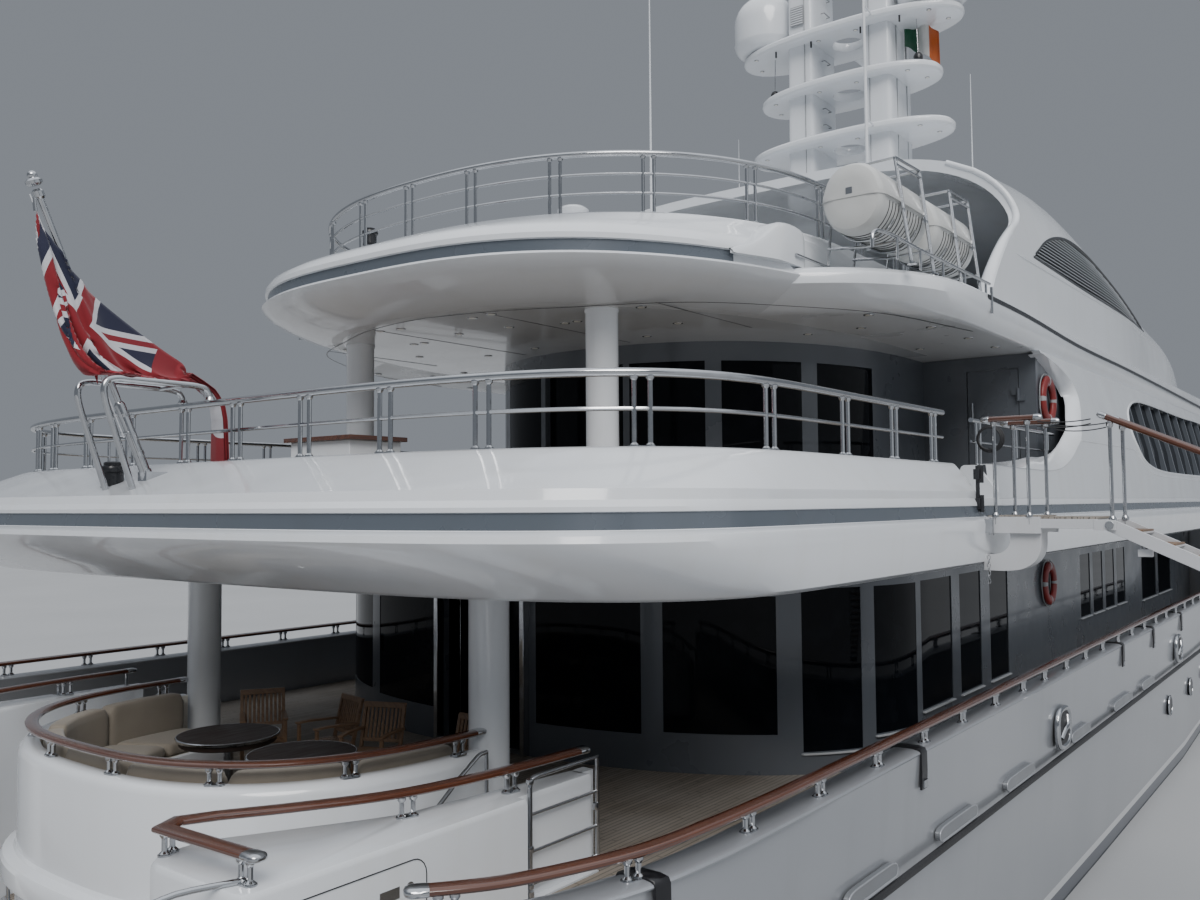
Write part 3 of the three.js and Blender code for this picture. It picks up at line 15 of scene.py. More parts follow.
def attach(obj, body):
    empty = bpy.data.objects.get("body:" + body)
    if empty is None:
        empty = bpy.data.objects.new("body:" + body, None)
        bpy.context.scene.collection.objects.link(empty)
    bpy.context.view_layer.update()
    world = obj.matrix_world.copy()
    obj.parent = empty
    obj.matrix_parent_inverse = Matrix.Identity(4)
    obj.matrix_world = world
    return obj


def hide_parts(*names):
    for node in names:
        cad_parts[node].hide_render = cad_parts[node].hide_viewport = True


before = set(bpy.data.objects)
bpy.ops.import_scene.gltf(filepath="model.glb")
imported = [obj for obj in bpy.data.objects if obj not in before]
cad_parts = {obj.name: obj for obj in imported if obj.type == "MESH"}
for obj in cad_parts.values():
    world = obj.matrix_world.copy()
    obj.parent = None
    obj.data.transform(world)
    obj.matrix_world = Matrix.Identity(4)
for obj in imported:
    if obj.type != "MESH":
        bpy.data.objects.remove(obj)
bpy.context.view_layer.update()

SCALE = 0.5
MIDSHIPS = 30
SIDES = (("port", 1), ("starboard", -1))

PLATFORM = 0.55
DECK_MAIN = 2.45
BULWARK_TOP = 3.28
CAPRAIL_TOP = 3.5
SOFFIT_UPPER = 4.93
DECK_UPPER = 5.53
SOFFIT_SUN = 8.0
DECK_SUN = 8.5
FOREDECK = 5.5
BULKHEAD = 7.209
LIFT = 0.002


def model(point):
    """A place on the ship as a place in the frame."""
    x, y, z = point
    return Vector(((x - MIDSHIPS) * SCALE, y * SCALE, z * SCALE))


# Materials


class Shader:
    """A principled material with short calls for its nodes."""

    def __init__(self, name, color=(0.8, 0.8, 0.8), rough=0.4, metal=0.0, coat=0.0):
        self.mat = bpy.data.materials.new(name)
        self.mat.use_nodes = True
        self.nodes = self.mat.node_tree.nodes
        self.links = self.mat.node_tree.links
        self.main = self.nodes["Principled BSDF"]
        self.set(self.main, {"Base Color": (*color, 1), "Roughness": rough, "Metallic": metal})
        self.set(self.main, {"Coat Weight": coat, "Coat Roughness": 0.05})
        self.coords = self.nodes.new("ShaderNodeTexCoord")
        self.place = self.coords.outputs["Object"]
        self.run = self.coords.outputs["UV"]

    def set(self, node, values):
        for key, value in values.items():
            socket = node.inputs[key]
            if isinstance(value, bpy.types.NodeSocket):
                self.links.new(value, socket)
            else:
                socket.default_value = value

    def node(self, kind, props=None, values=None, out=0):
        node = self.nodes.new("ShaderNode" + kind)
        for key, value in (props or {}).items():
            setattr(node, key, value)
        self.set(node, values or {})
        return node.outputs[out]

    def math(self, operation, a, b=0.0, c=0.0):
        return self.node("Math", {"operation": operation}, {0: a, 1: b, 2: c})

    def stretch(self, scale, source=None):
        values = {"Vector": source or self.place, "Scale": scale}
        return self.node("Mapping", None, values)

    def noise(self, scale, detail=3.0, source=None, rough=0.5, warp=0.0):
        values = {"Vector": source or self.place, "Scale": scale, "Detail": detail}
        values.update({"Roughness": rough, "Distortion": warp})
        return self.node("TexNoise", None, values)

    def span(self, value, low, high, to_low=0.0, to_high=1.0):
        values = {"Value": value, "From Min": low, "From Max": high}
        values.update({"To Min": to_low, "To Max": to_high})
        return self.node("MapRange", {"clamp": True}, values)

    def mix(self, share, a, b, blend="MIX"):
        a = a if isinstance(a, bpy.types.NodeSocket) else (*a, 1)
        b = b if isinstance(b, bpy.types.NodeSocket) else (*b, 1)
        return self.node("Mix", {"data_type": "RGBA", "blend_type": blend}, {0: share, 6: a, 7: b}, 2)

    def toned(self, color, tone):
        return self.mix(1.0, color, self.node("CombineXYZ", None, {0: tone, 1: tone, 2: tone}), "MULTIPLY")

    def axis(self, which, source=None):
        return self.node("SeparateXYZ", None, {0: source or self.place}, out="XYZ".index(which))

    def bump(self, height, strength, distance=0.002):
        values = {"Height": height, "Strength": strength, "Distance": distance}
        self.set(self.main, {"Normal": self.node("Bump", None, values)})

    def finish(self, **values):
        self.set(self.main, {key.replace("_", " "): value for key, value in values.items()})
        return self.mat


def paint(name, color, rough, metal=0.0, coat=0.5, tone=0.04, streaks=0.05):
    """Sprayed paint: slight waves in tone and gloss, faint rain streaks, orange peel."""
    s = Shader(name, color, rough, metal, coat)
    broad = s.noise(0.9, 2.0)
    runs = s.noise(5.0, 4.0, s.stretch((1.0, 1.0, 0.08)))
    dull = [c * (1 - tone) for c in color]
    base = s.mix(s.span(broad, 0.3, 0.7), dull, color)
    stained = [c * (1 - streaks * k) for c, k in zip(color, (1.6, 1.9, 2.6))]
    base = s.mix(s.math("MULTIPLY", s.span(runs, 0.52, 0.8), 0.6), base, stained)
    s.bump(s.noise(90.0, 2.0), 0.05, 0.0006)
    gloss = s.span(s.noise(3.0, 4.0), 0.3, 0.7, rough * 0.8, rough * 1.35)
    return s.finish(Base_Color=base, Roughness=gloss)


def hull_paint():
    """Silver above a dark boot top with a white line, and dark underwater paint, by the frame's height."""
    waterline, boot_top, white_line = 0.02, 0.13, 0.19
    s = Shader("silver_hull", (0.4, 0.41, 0.43), 0.3, 0.4, 0.6)
    z = s.axis("Z")
    broad = s.noise(0.5, 3.0)
    runs = s.noise(4.0, 4.0, s.stretch((1.0, 1.0, 0.1)))
    silver = s.mix(s.span(broad, 0.3, 0.7), (0.33, 0.345, 0.37), (0.40, 0.415, 0.44))
    silver = s.mix(s.math("MULTIPLY", s.span(runs, 0.55, 0.8), 0.35), silver, (0.29, 0.295, 0.30))
    above = s.mix(s.math("GREATER_THAN", z, boot_top), (0.02, 0.03, 0.06), (0.75, 0.76, 0.77))
    above = s.mix(s.math("GREATER_THAN", z, white_line), above, silver)
    under = s.mix(s.span(s.noise(6.0, 5.0), 0.35, 0.65), (0.025, 0.03, 0.04), (0.06, 0.065, 0.07))
    dry = s.math("GREATER_THAN", z, waterline)
    base = s.mix(dry, under, above)
    s.bump(s.noise(70.0, 2.0), 0.05, 0.0006)
    return s.finish(
        Base_Color=base,
        Metallic=s.math("MULTIPLY", dry, 0.45),
        Roughness=s.span(dry, 0.0, 1.0, 0.7, 0.32),
        Coat_Weight=s.math("MULTIPLY", dry, 0.6),
    )


def teak(name, plank=0.03, dark=(0.17, 0.14, 0.11), light=(0.28, 0.24, 0.195)):
    """Planks with black caulking that run fore and aft, each with its own tone, grain along them."""
    s = Shader(name, light, 0.7)
    row = s.math("DIVIDE", s.axis("Y"), plank)
    place = s.math("FRACT", row)
    number = s.math("FLOOR", row)
    own = s.node("TexWhiteNoise", {"noise_dimensions": "1D"}, {"W": number})
    joint = s.math("FRACT", s.math("ADD", s.math("DIVIDE", s.axis("X"), 0.9), own))
    seam = s.math("LESS_THAN", place, 0.1)
    butt = s.math("LESS_THAN", joint, 0.004)
    caulk = s.math("MAXIMUM", seam, butt)
    grain = s.noise(1.0, 6.0, s.stretch((3.0, 130.0, 130.0)), 0.65, 0.4)
    wood = s.mix(s.span(grain, 0.3, 0.7), dark, light)
    wood = s.toned(wood, s.span(own, 0.0, 1.0, 0.78, 1.14))
    wear = s.span(s.noise(1.3, 3.0), 0.35, 0.7)
    wood = s.mix(s.math("MULTIPLY", wear, 0.45), wood, (0.47, 0.44, 0.40))
    base = s.mix(caulk, wood, (0.02, 0.02, 0.02))
    height = s.math("SUBTRACT", s.math("MULTIPLY", grain, 0.25), s.math("MULTIPLY", caulk, 0.8))
    s.bump(height, 0.5, 0.0015)
    return s.finish(Base_Color=base, Roughness=s.span(grain, 0.3, 0.7, 0.62, 0.82))


def solid_wood(name, dark, light, rough, coat, rings=26.0):
    """Wood whose grain follows a piece's own length, which its UV map holds."""
    s = Shader(name, light, rough, 0.0, coat)
    grain = s.noise(1.0, 6.0, s.stretch((2.2, rings, 1.0), s.run), 0.6, 0.5)
    pores = s.noise(1.0, 3.0, s.stretch((26.0, rings * 9, 1.0), s.run))
    base = s.mix(s.span(grain, 0.32, 0.68), dark, light)
    base = s.mix(s.span(pores, 0.62, 0.74, 0.0, 0.5), base, [c * 0.4 for c in dark])
    base = s.toned(base, s.span(s.noise(2.5, 2.0), 0.3, 0.7, 0.85, 1.1))
    s.bump(pores, 0.12, 0.0008)
    return s.finish(Base_Color=base, Roughness=s.span(grain, 0.3, 0.7, rough * 0.8, rough * 1.3))


def metal(name, color, rough):
    """Polished metal with finger marks and fine brushing."""
    s = Shader(name, color, rough, 1.0)
    marks = s.noise(14.0, 4.0)
    s.bump(s.noise(1.0, 2.0, s.stretch((40.0, 400.0, 40.0))), 0.04, 0.0003)
    base = s.mix(s.span(marks, 0.4, 0.75), color, [c * 0.88 for c in color])
    return s.finish(Base_Color=base, Roughness=s.span(marks, 0.35, 0.7, rough * 0.7, rough * 1.8))


def plain(name, color, rough, grain=60.0, depth=0.15, metal_share=0.0, coat=0.0, tone=0.12):
    """Moulded or rubbed surfaces: a fine grain and slight blotches."""
    s = Shader(name, color, rough, metal_share, coat)
    fine = s.noise(grain, 4.0)
    blotch = s.span(s.noise(4.0, 4.0), 0.35, 0.68)
    base = s.mix(blotch, [c * (1 - tone) for c in color], [min(c * (1 + tone), 1) for c in color])
    s.bump(fine, depth, 0.0008)
    return s.finish(Base_Color=base, Roughness=s.span(fine, 0.3, 0.7, rough * 0.85, rough * 1.15))


def dark_glass(name, color=(0.004, 0.005, 0.007), rough=0.03):
    """Tinted glass: nearly black, with a slow wave and a little dust."""
    s = Shader(name, color, rough)
    s.set(s.main, {"Specular IOR Level": 0.4, "IOR": 1.2})
    s.bump(s.noise(1.1, 1.0), 0.12, 0.004)
    dust = s.span(s.noise(7.0, 5.0), 0.5, 0.75, 0.0, 0.5)
    base = s.mix(dust, color, [c * 1.8 + 0.003 for c in color])
    return s.finish(Base_Color=base, Roughness=s.span(dust, 0.0, 0.5, rough, rough * 2.6))


def woven(name, dark, light, threads=900.0, rough=0.85):
    """Cloth: warp and weft as two crossing waves, with fading."""
    s = Shader(name, light, rough)
    x, y, z = (s.axis(a) for a in "XYZ")
    warp = s.math("SINE", s.math("MULTIPLY", s.math("ADD", x, z), threads))
    slant = s.math("SUBTRACT", y, s.math("MULTIPLY", z, 0.4))
    weft = s.math("SINE", s.math("MULTIPLY", slant, threads))
    weave = s.math("MULTIPLY", warp, weft)
    fade = s.span(s.noise(2.4, 4.0), 0.3, 0.7)
    base = s.mix(fade, dark, light)
    base = s.mix(s.span(weave, -1.0, 1.0, 0.0, 0.16), base, [c * 0.55 for c in dark])
    s.bump(s.math("ADD", s.math("MULTIPLY", weave, 0.4), s.noise(26.0, 3.0)), 0.25, 0.0012)
    s.set(s.main, {"Sheen Weight": 0.25, "Sheen Roughness": 0.5})
    return s.finish(Base_Color=base, Roughness=rough)


WHITE = paint("white_gelcoat", (0.76, 0.785, 0.815), 0.16, 0.0, 0.6)
CREAM = paint("cream_gelcoat", (0.68, 0.65, 0.57), 0.3, 0.0, 0.2)
SILVER = hull_paint()
DARK_WALL = paint("dark_grey_lacquer", (0.105, 0.117, 0.135), 0.3, 0.1, 0.25, 0.03, 0.02)
STRIPE = paint("blue_grey_stripe", (0.115, 0.135, 0.16), 0.25, 0.2, 0.4)
# painted shade: a dimmer copy of the white gelcoat for the undersides of the two upper decks
SHADE_WHITE = paint("soffit_white_painted_shade", (0.66, 0.68, 0.70), 0.3, 0.0, 0.2, 0.015, 0.0)
GLASS = dark_glass("tinted_glass")
DECK_TEAK = teak("deck_teak")
VARNISH = solid_wood("varnished_teak", (0.055, 0.015, 0.007), (0.12, 0.038, 0.016), 0.14, 0.9)
CHAIR_TEAK = solid_wood("chair_teak", (0.15, 0.085, 0.045), (0.27, 0.165, 0.095), 0.5, 0.1)
TABLE_WOOD = solid_wood("table_wood", (0.014, 0.008, 0.006), (0.03, 0.017, 0.012), 0.5, 0.0)
STEEL = metal("stainless_steel", (0.50, 0.51, 0.525), 0.12)
BRONZE = metal("bronze", (0.62, 0.44, 0.2), 0.24)
RUBBER = plain("black_rubber", (0.022, 0.022, 0.024), 0.55, 90.0, 0.25)
BLACK = plain("black_lacquer", (0.016, 0.017, 0.02), 0.3)
GREY = plain("grey_plastic", (0.30, 0.31, 0.32), 0.45)
RAFT = plain("raft_shell", (0.58, 0.585, 0.57), 0.32, 40.0, 0.12, coat=0.2, tone=0.05)
RED = plain("lifebuoy_red", (0.19, 0.014, 0.012), 0.4, 50.0, 0.12)
TAPE = plain("reflecting_tape", (0.72, 0.73, 0.75), 0.28, 120.0, 0.2, 0.3)
LAMP = plain("lamp_glass", (0.9, 0.88, 0.8), 0.2, 80.0, 0.05)
FABRIC = woven("settee_fabric", (0.23, 0.20, 0.16), (0.33, 0.29, 0.235))
LIGHT_GREY = paint("light_grey_paint", (0.60, 0.61, 0.63), 0.34, 0.0, 0.25)
SLAT = paint("slat_paint", (0.40, 0.42, 0.44), 0.35, 0.0, 0.2)
STRAP = paint("black_gloss_straps", (0.008, 0.008, 0.010), 0.3, 0.0, 0.0)
DARK_SILVER = paint("shaded_silver", (0.21, 0.22, 0.235), 0.35, 0.3, 0.3)
WEBBING = woven("black_webbing", (0.015, 0.015, 0.017), (0.03, 0.03, 0.033), 1400.0, 0.8)


# Meshes


class Build:
    """Collects faces in ship metres: vertices, faces, a material number a face, a UV a vertex."""

    def __init__(self):
        self.points = []
        self.faces = []
        self.looks = []
        self.uvs = []

    def add(self, points, faces, look=0, uvs=None):
        base = len(self.points)
        self.points.extend(tuple(p) for p in points)
        self.faces.extend([tuple(base + i for i in face) for face in faces])
        looks = look if isinstance(look, list) else [look] * len(faces)
        self.looks.extend(looks)
        self.uvs.extend(uvs if uvs is not None else [(p[0], p[1]) for p in points])

    def rings(self, rings, look_at, ends, uvs=None, looped=False):
        """Faces between rings of equally many points.

        look_at(ring, i) gives a face its look. ends holds the looks of the two end faces, None for none."""
        n = len(rings[0])
        faces = []
        looks = []
        for r in range(len(rings) if looped else len(rings) - 1):
            up = (r + 1) % len(rings)
            for i in range(n):
                j = (i + 1) % n
                faces.append((r * n + i, r * n + j, up * n + j, up * n + i))
                looks.append(look_at(r, i))
        last = (len(rings) - 1) * n
        for look, end in zip(ends, (tuple(range(n))[::-1], tuple(range(last, last + n)))):
            if look is not None:
                faces.append(end)
                looks.append(look)
        self.add([p for ring in rings for p in ring], faces, looks, uvs)

    def skin(self, rings, look=0, looped=False, rows=None):
        """A form whose UV map runs along it. rows gives a look to each row round a ring."""
        n = len(rings[0])
        runs = [0.0]
        for a, b in zip(rings, rings[1:]):
            runs.append(runs[-1] + math.dist(a[0], b[0]) * SCALE)
        uvs = [(run, i / n) for run in runs for i in range(n)]
        ends = (None, None) if looped else (look, look)
        self.rings(rings, lambda r, i: rows[i] if rows else look, ends, uvs, looped)

    def stack(self, outlines, look=0, looks=None, open_top=False):
        """Outlines in plan, each [(x, y), ...] with its height: [(outline, z), ...]."""
        rings = [[(x, y, z) for x, y in outline] for outline, z in outlines]
        ends = (look, None if open_top else look)
        self.rings(rings, lambda r, i: looks[r] if looks else look, ends)

    def box(self, x0, x1, y0, y1, z0, z1, look=0, turn=None):
        corners = [(x, y, z) for x in (x0, x1) for y in (y0, y1) for z in (z0, z1)]
        if turn:
            corners = [turn(c) for c in corners]
        faces = [(0, 1, 3, 2), (4, 6, 7, 5), (0, 4, 5, 1), (2, 3, 7, 6), (0, 2, 6, 4), (1, 5, 7, 3)]
        uvs = [((x - x0) * SCALE, y + z) for x in (x0, x1) for y in (y0, y1) for z in (z0, z1)]
        self.add(corners, faces, look, uvs)

    def tube(self, path, radius, look=0, sides=12, looped=False, radii=None):
        """A round bar along a path in space, its section kept from twisting."""
        path = [Vector(p) for p in path]
        rings = []
        count = len(path)
        normal = None
        for i, p in enumerate(path):
            before = path[(i - 1) % count] if looped else path[max(i - 1, 0)]
            after = path[(i + 1) % count] if looped else path[min(i + 1, count - 1)]
            along = (after - before).normalized()
            if normal is None:
                guess = Vector((0, 0, 1)) if abs(along.z) < 0.9 else Vector((1, 0, 0))
                normal = (guess - along * guess.dot(along)).normalized()
            normal = (normal - along * normal.dot(along)).normalized()
            side = along.cross(normal)
            r = radii[i] if radii else radius
            turns = (2 * math.pi * k / sides for k in range(sides))
            rings.append([p + normal * (r * math.cos(a)) + side * (r * math.sin(a)) for a in turns])
        self.skin(rings, look, looped=looped)

    def rod(self, a, b, radius, look=0, sides=12):
        self.tube([a, b], radius, look, sides)

    def ball(self, centre, radius, look=0, sides=14):
        turns = (math.pi * k / 8 for k in range(9))
        profile = [(radius * math.sin(a), -radius * math.cos(a)) for a in turns]
        self.lathe(profile, centre, "z", look, sides)

    def lathe(self, profile, centre, axis="z", look=0, sides=28, looks=None):
        """A turned form: profile of (radius, height along the axis) from one end to the other."""
        rings = []
        turned = {
            "x": lambda a, b, h: (h, a, b),
            "y": lambda a, b, h: (a, h, b),
            "z": lambda a, b, h: (a, b, h),
        }[axis]
        for radius, height in profile:
            ring = []
            for k in range(sides):
                angle = 2 * math.pi * k / sides
                a = max(radius, 1e-4) * math.cos(angle)
                b = max(radius, 1e-4) * math.sin(angle)
                ring.append(tuple(c + o for c, o in zip(centre, turned(a, b, height))))
            rings.append(ring)
        looks = looks or [look] * (len(profile) - 1)
        self.rings(rings, lambda r, i: looks[r], (looks[0], looks[-1]))

    def sweep(self, path, section, look=0):
        """A section of (outward, up) points along a path of (x, y, z) that runs round the ship.

        Outward is to the right of the path as seen from above."""
        normals = []
        for (ax, ay), (bx, by) in zip([p[:2] for p in path], [p[:2] for p in path[1:]]):
            length = math.hypot(bx - ax, by - ay) or 1
            normals.append(((by - ay) / length, -(bx - ax) / length))
        rings = []
        for i, (x, y, z) in enumerate(path):
            (ux, uy), (vx, vy) = normals[max(i - 1, 0)], normals[min(i, len(normals) - 1)]
            mitre = max(1 + ux * vx + uy * vy, 0.4)
            nx, ny = (ux + vx) / mitre, (uy + vy) / mitre
            rings.append([(x + nx * w, y + ny * w, z + h) for w, h in section])
        self.skin(rings, look)

    def plate(self, outline, axis, low, high, look=0):
        """An outline extruded along an axis: (x, z) along y, (y, z) along x or (x, y) along z."""
        put = {
            "y": lambda p, d: (p[0], d, p[1]),
            "x": lambda p, d: (d, p[0], p[1]),
            "z": lambda p, d: (p[0], p[1], d),
        }[axis]
        self.skin([[put(p, low) for p in outline], [put(p, high) for p in outline]], look)


def mesh_of(name, build, looks, smooth=35, weld=False):
    mesh = bpy.data.meshes.new(name)
    co = [model(p) for p in build.points]
    mesh.from_pydata(co, [], build.faces)
    for look in looks:
        mesh.materials.append(look)
    mesh.polygons.foreach_set("material_index", build.looks)
    layer = mesh.uv_layers.new(name="UVMap")
    corners = np.zeros(len(mesh.loops), np.int32)
    mesh.loops.foreach_get("vertex_index", corners)
    uvs = np.array(build.uvs, np.float32)[corners]
    layer.data.foreach_set("uv", uvs.ravel())
    bm = bmesh.new()
    bm.from_mesh(mesh)
    if weld:
        bmesh.ops.remove_doubles(bm, verts=bm.verts, dist=1e-5)
    bmesh.ops.recalc_face_normals(bm, faces=bm.faces)
    bm.to_mesh(mesh)
    bm.free()
    mesh.shade_smooth()
    mesh.set_sharp_from_angle(angle=math.radians(smooth))
    return mesh


def linked(name, data):
    obj = bpy.data.objects.new(name, data)
    bpy.context.scene.collection.objects.link(obj)
    return obj


def placed(obj, body="ship", nodes=(), slot=None, bevel=0.0):
    """Rides on its body and stands for the named CAD nodes; its slot is not used."""
    if bevel:
        soften(obj, bevel)
    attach(obj, body)
    if nodes:
        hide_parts(*nodes)
    return obj


def piece(name, build, looks, body="ship", nodes=(), slot=None, bevel=0.0, smooth=35, weld=False):
    """A finished piece from a build."""
    obj = linked(name, mesh_of(name, build, looks, smooth, weld))
    return placed(obj, body, nodes, slot, bevel)


def soften(obj, width):
    modifier = obj.modifiers.new("edges", "BEVEL")
    modifier.width = width * SCALE
    modifier.segments = 2
    modifier.limit_method = "ANGLE"
    modifier.angle_limit = math.radians(35)
    modifier.harden_normals = False


def thicken(obj, thickness):
    modifier = obj.modifiers.new("cloth", "SOLIDIFY")
    modifier.thickness = thickness
    modifier.offset = 0


def carve(name, build, cutters, looks, **settings):
    """Like piece, with closed forms cut out of it."""
    base = linked(name + "_raw", mesh_of(name, build, looks, weld=True))
    tools = []
    for cutter in cutters:
        tool = linked("cutter", mesh_of("cutter", cutter, looks, weld=True))
        modifier = base.modifiers.new("cut", "BOOLEAN")
        modifier.operation = "DIFFERENCE"
        modifier.solver = "EXACT"
        modifier.object = tool
        tools.append(tool)
    graph = bpy.context.evaluated_depsgraph_get()
    mesh = bpy.data.meshes.new_from_object(base.evaluated_get(graph))
    for old in (base, *tools):
        bpy.data.objects.remove(old)
    mesh.name = name
    mesh.set_sharp_from_angle(angle=math.radians(32))
    return placed(linked(name, mesh), **settings)


def smoothed():
    """Node group that shades a CAD mesh smooth between faces that meet at a small angle."""
    group = bpy.data.node_groups.new("smooth_by_angle", "GeometryNodeTree")
    group.interface.new_socket("Geometry", in_out="INPUT", socket_type="NodeSocketGeometry")
    group.interface.new_socket("Geometry", in_out="OUTPUT", socket_type="NodeSocketGeometry")
    start = group.nodes.new("NodeGroupInput")
    end = group.nodes.new("NodeGroupOutput")
    drop = group.nodes.new("GeometryNodeRemoveAttribute")
    drop.inputs["Name"].default_value = "custom_normal"
    faces = group.nodes.new("GeometryNodeSetShadeSmooth")
    edges = group.nodes.new("GeometryNodeSetShadeSmooth")
    edges.domain = "EDGE"
    edges.inputs["Shade Smooth"].default_value = False
    angle = group.nodes.new("GeometryNodeInputMeshEdgeAngle")
    above = group.nodes.new("FunctionNodeCompare")
    above.inputs[1].default_value = math.radians(32)
    link = group.links.new
    link(start.outputs[0], drop.inputs["Geometry"])
    link(drop.outputs["Geometry"], faces.inputs["Geometry"])
    link(faces.outputs["Geometry"], edges.inputs["Geometry"])
    link(angle.outputs["Unsigned Angle"], above.inputs[0])
    link(above.outputs[0], edges.inputs["Selection"])
    link(edges.outputs["Geometry"], end.inputs[0])
    return group


SMOOTH = smoothed()


def dress(node, look):
    """A CAD node stays in the picture with a material and smooth curves."""
    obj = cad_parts[node]
    obj.data.materials.clear()
    obj.data.materials.append(look)
    weld = obj.modifiers.new("weld", "WELD")
    weld.merge_threshold = 1e-5
    shade = obj.modifiers.new("smooth", "NODES")
    shade.node_group = SMOOTH


# Curves in plan


def stern_arc(tip, reach, half, power, steps=96):
    """The aft end of a deck in plan, from starboard round the stern to port."""
    points = []
    for i in range(steps + 1):
        t = -math.pi / 2 + math.pi * i / steps
        x = tip + reach * (1 - abs(math.cos(t)) ** (2 / power))
        y = half * math.copysign(abs(math.sin(t)) ** (2 / power), math.sin(t))
        points.append((x, y))
    return points


def grown(plan, by):
    tip, reach, half, power = plan
    return tip - by, reach + by, half + by, power


def curve(points, per=8, closed=False):
    """A smooth line through points of any size."""
    pts = [np.array(p, float) for p in points]
    n = len(pts)
    out = []
    spans = n if closed else n - 1
    for i in range(spans):
        if closed:
            p0, p1, p2, p3 = (pts[(i + k) % n] for k in (-1, 0, 1, 2))
        else:
            p1, p2 = pts[i], pts[i + 1]
            p0 = pts[i - 1] if i else 2 * p1 - p2
            p3 = pts[i + 2] if i + 2 < n else 2 * p2 - p1
        steps = [math.dist(a, b) ** 0.5 or 1e-3 for a, b in ((p0, p1), (p1, p2), (p2, p3))]
        t0, t1 = 0.0, steps[0]
        t2 = t1 + steps[1]
        t3 = t2 + steps[2]
        for k in range(per):
            t = t1 + (t2 - t1) * k / per
            a1 = p0 * (t1 - t) / (t1 - t0) + p1 * (t - t0) / (t1 - t0)
            a2 = p1 * (t2 - t) / (t2 - t1) + p2 * (t - t1) / (t2 - t1)
            a3 = p2 * (t3 - t) / (t3 - t2) + p3 * (t - t2) / (t3 - t2)
            b1 = a1 * (t2 - t) / (t2 - t0) + a2 * (t - t0) / (t2 - t0)
            b2 = a2 * (t3 - t) / (t3 - t1) + a3 * (t - t1) / (t3 - t1)
            out.append(tuple(b1 * (t2 - t) / (t2 - t1) + b2 * (t - t1) / (t2 - t1)))
    if not closed:
        out.append(tuple(pts[-1]))
    return out


def runs(path):
    total = [0.0]
    for a, b in zip(path, path[1:]):
        total.append(total[-1] + math.dist(a, b))
    return total


def along(path, run):
    """The point a distance along a path, and the path's direction there."""
    total = runs(path)
    run = min(max(run, 0.0), total[-1])
    i = max(1, next(k for k, t in enumerate(total) if t >= run - 1e-9))
    span = total[i] - total[i - 1] or 1e-9
    f = (run - total[i - 1]) / span
    a, b = np.array(path[i - 1], float), np.array(path[i], float)
    direction = (b - a) / (np.linalg.norm(b - a) or 1)
    return tuple(a + (b - a) * f), tuple(direction)


def lifted(path, z):
    return [(p[0], p[1], z) for p in path]


def across(path):
    """The same line in plan on the ship's other side, run the other way."""
    return [(x, -y) for x, y in reversed(path)]


def bent(value, power):
    """A sine or cosine raised to a power, its sign kept: below 1 it fills out a round's corners."""
    return math.copysign(abs(value) ** power, value)


def round_points(count, a, b, power=1.0, power_b=None, start=0.0):
    """Points (u, v) round a closed form of half sizes a and b."""
    points = []
    for k in range(count):
        angle = 2 * math.pi * (k + start) / count
        points.append((a * bent(math.cos(angle), power), b * bent(math.sin(angle), power_b or power)))
    return points


def oval(width, height, power=2.6, count=16):
    """A rounded section, (outward, up) points."""
    return round_points(count, width / 2, height / 2, 2 / power, start=0.5 - count / 4)


def grid_faces(rows, columns):
    """Faces of a net of points that are listed row by row."""
    return [
        (r * columns + c, r * columns + c + 1, (r + 1) * columns + c + 1, (r + 1) * columns + c)
        for r in range(rows - 1)
        for c in range(columns - 1)
    ]


# Decks

DECK_EDGE = ((0, 6.06), (36, 6.06), (40, 5.96), (43, 5.78))
UPPER_FRONT = 42.97
BOARDING = (12.1, 12.9)
SIDE_PLATE_AFT = 13.0


def deck_half(x):
    return float(np.interp(x, *zip(*DECK_EDGE)))


def deck_outline(plan, ahead=(14, 20, 28, 36, 38, 40, UPPER_FRONT), steps=96):
    inset = deck_half(0) - plan[2]
    side = [(x, deck_half(x) - inset) for x in ahead if x > plan[0] + plan[1]]
    return across(side) + stern_arc(*plan, steps) + side


def clipped(outline, end):
    """An outline with the points forward of end moved back to it."""
    return [(min(x, end), y) for x, y in outline]


def band(build, rows, ahead, end):
    """A rim round the deck from rows of (plan, z), which stops at end on the starboard side."""
    stations = []
    for place in zip(*[deck_outline(plan, ahead) for plan, _ in rows]):
        x, y = place[0]
        if y >= 0 or x <= end:
            stations.append([(x, y, z) for (x, y), (_, z) in zip(place, rows)])
    build.skin(stations)


# ((where the stern's arc starts, its reach, half breadth, power), height) up the deck's edge
UPPER_ROWS = [
    ((5.52, 3.4, 5.85, 4.2), 4.93),
    ((5.44, 3.4, 5.89, 4.2), 4.942),
    ((5.38, 3.4, 5.93, 4.2), 4.97),
    ((5.12, 3.4, 5.955, 4.2), 5.08),
    ((4.87, 3.4, 5.97, 4.2), 5.20),
    ((4.70, 3.4, 5.98, 4.2), 5.32),
    ((4.63, 3.4, 5.985, 4.2), 5.40),
    ((4.64, 3.4, 5.975, 4.2), 5.45),
    ((4.69, 3.4, 5.94, 4.2), 5.475),
    ((4.72, 3.4, 5.91, 4.2), 5.482),
    ((4.725, 3.4, 5.905, 4.2), 5.488),
    ((4.735, 3.4, 5.89, 4.2), 5.61),
    ((4.72, 3.4, 5.90, 4.2), 5.616),
    ((4.72, 3.4, 5.895, 4.2), 5.65),
    ((4.76, 3.4, 5.87, 4.2), 5.70),
    ((5.88, 3.3, 5.42, 4.2), 5.70),
    ((5.88, 3.3, 5.42, 4.2), 5.50),
]
STRIPE_ROW = 10


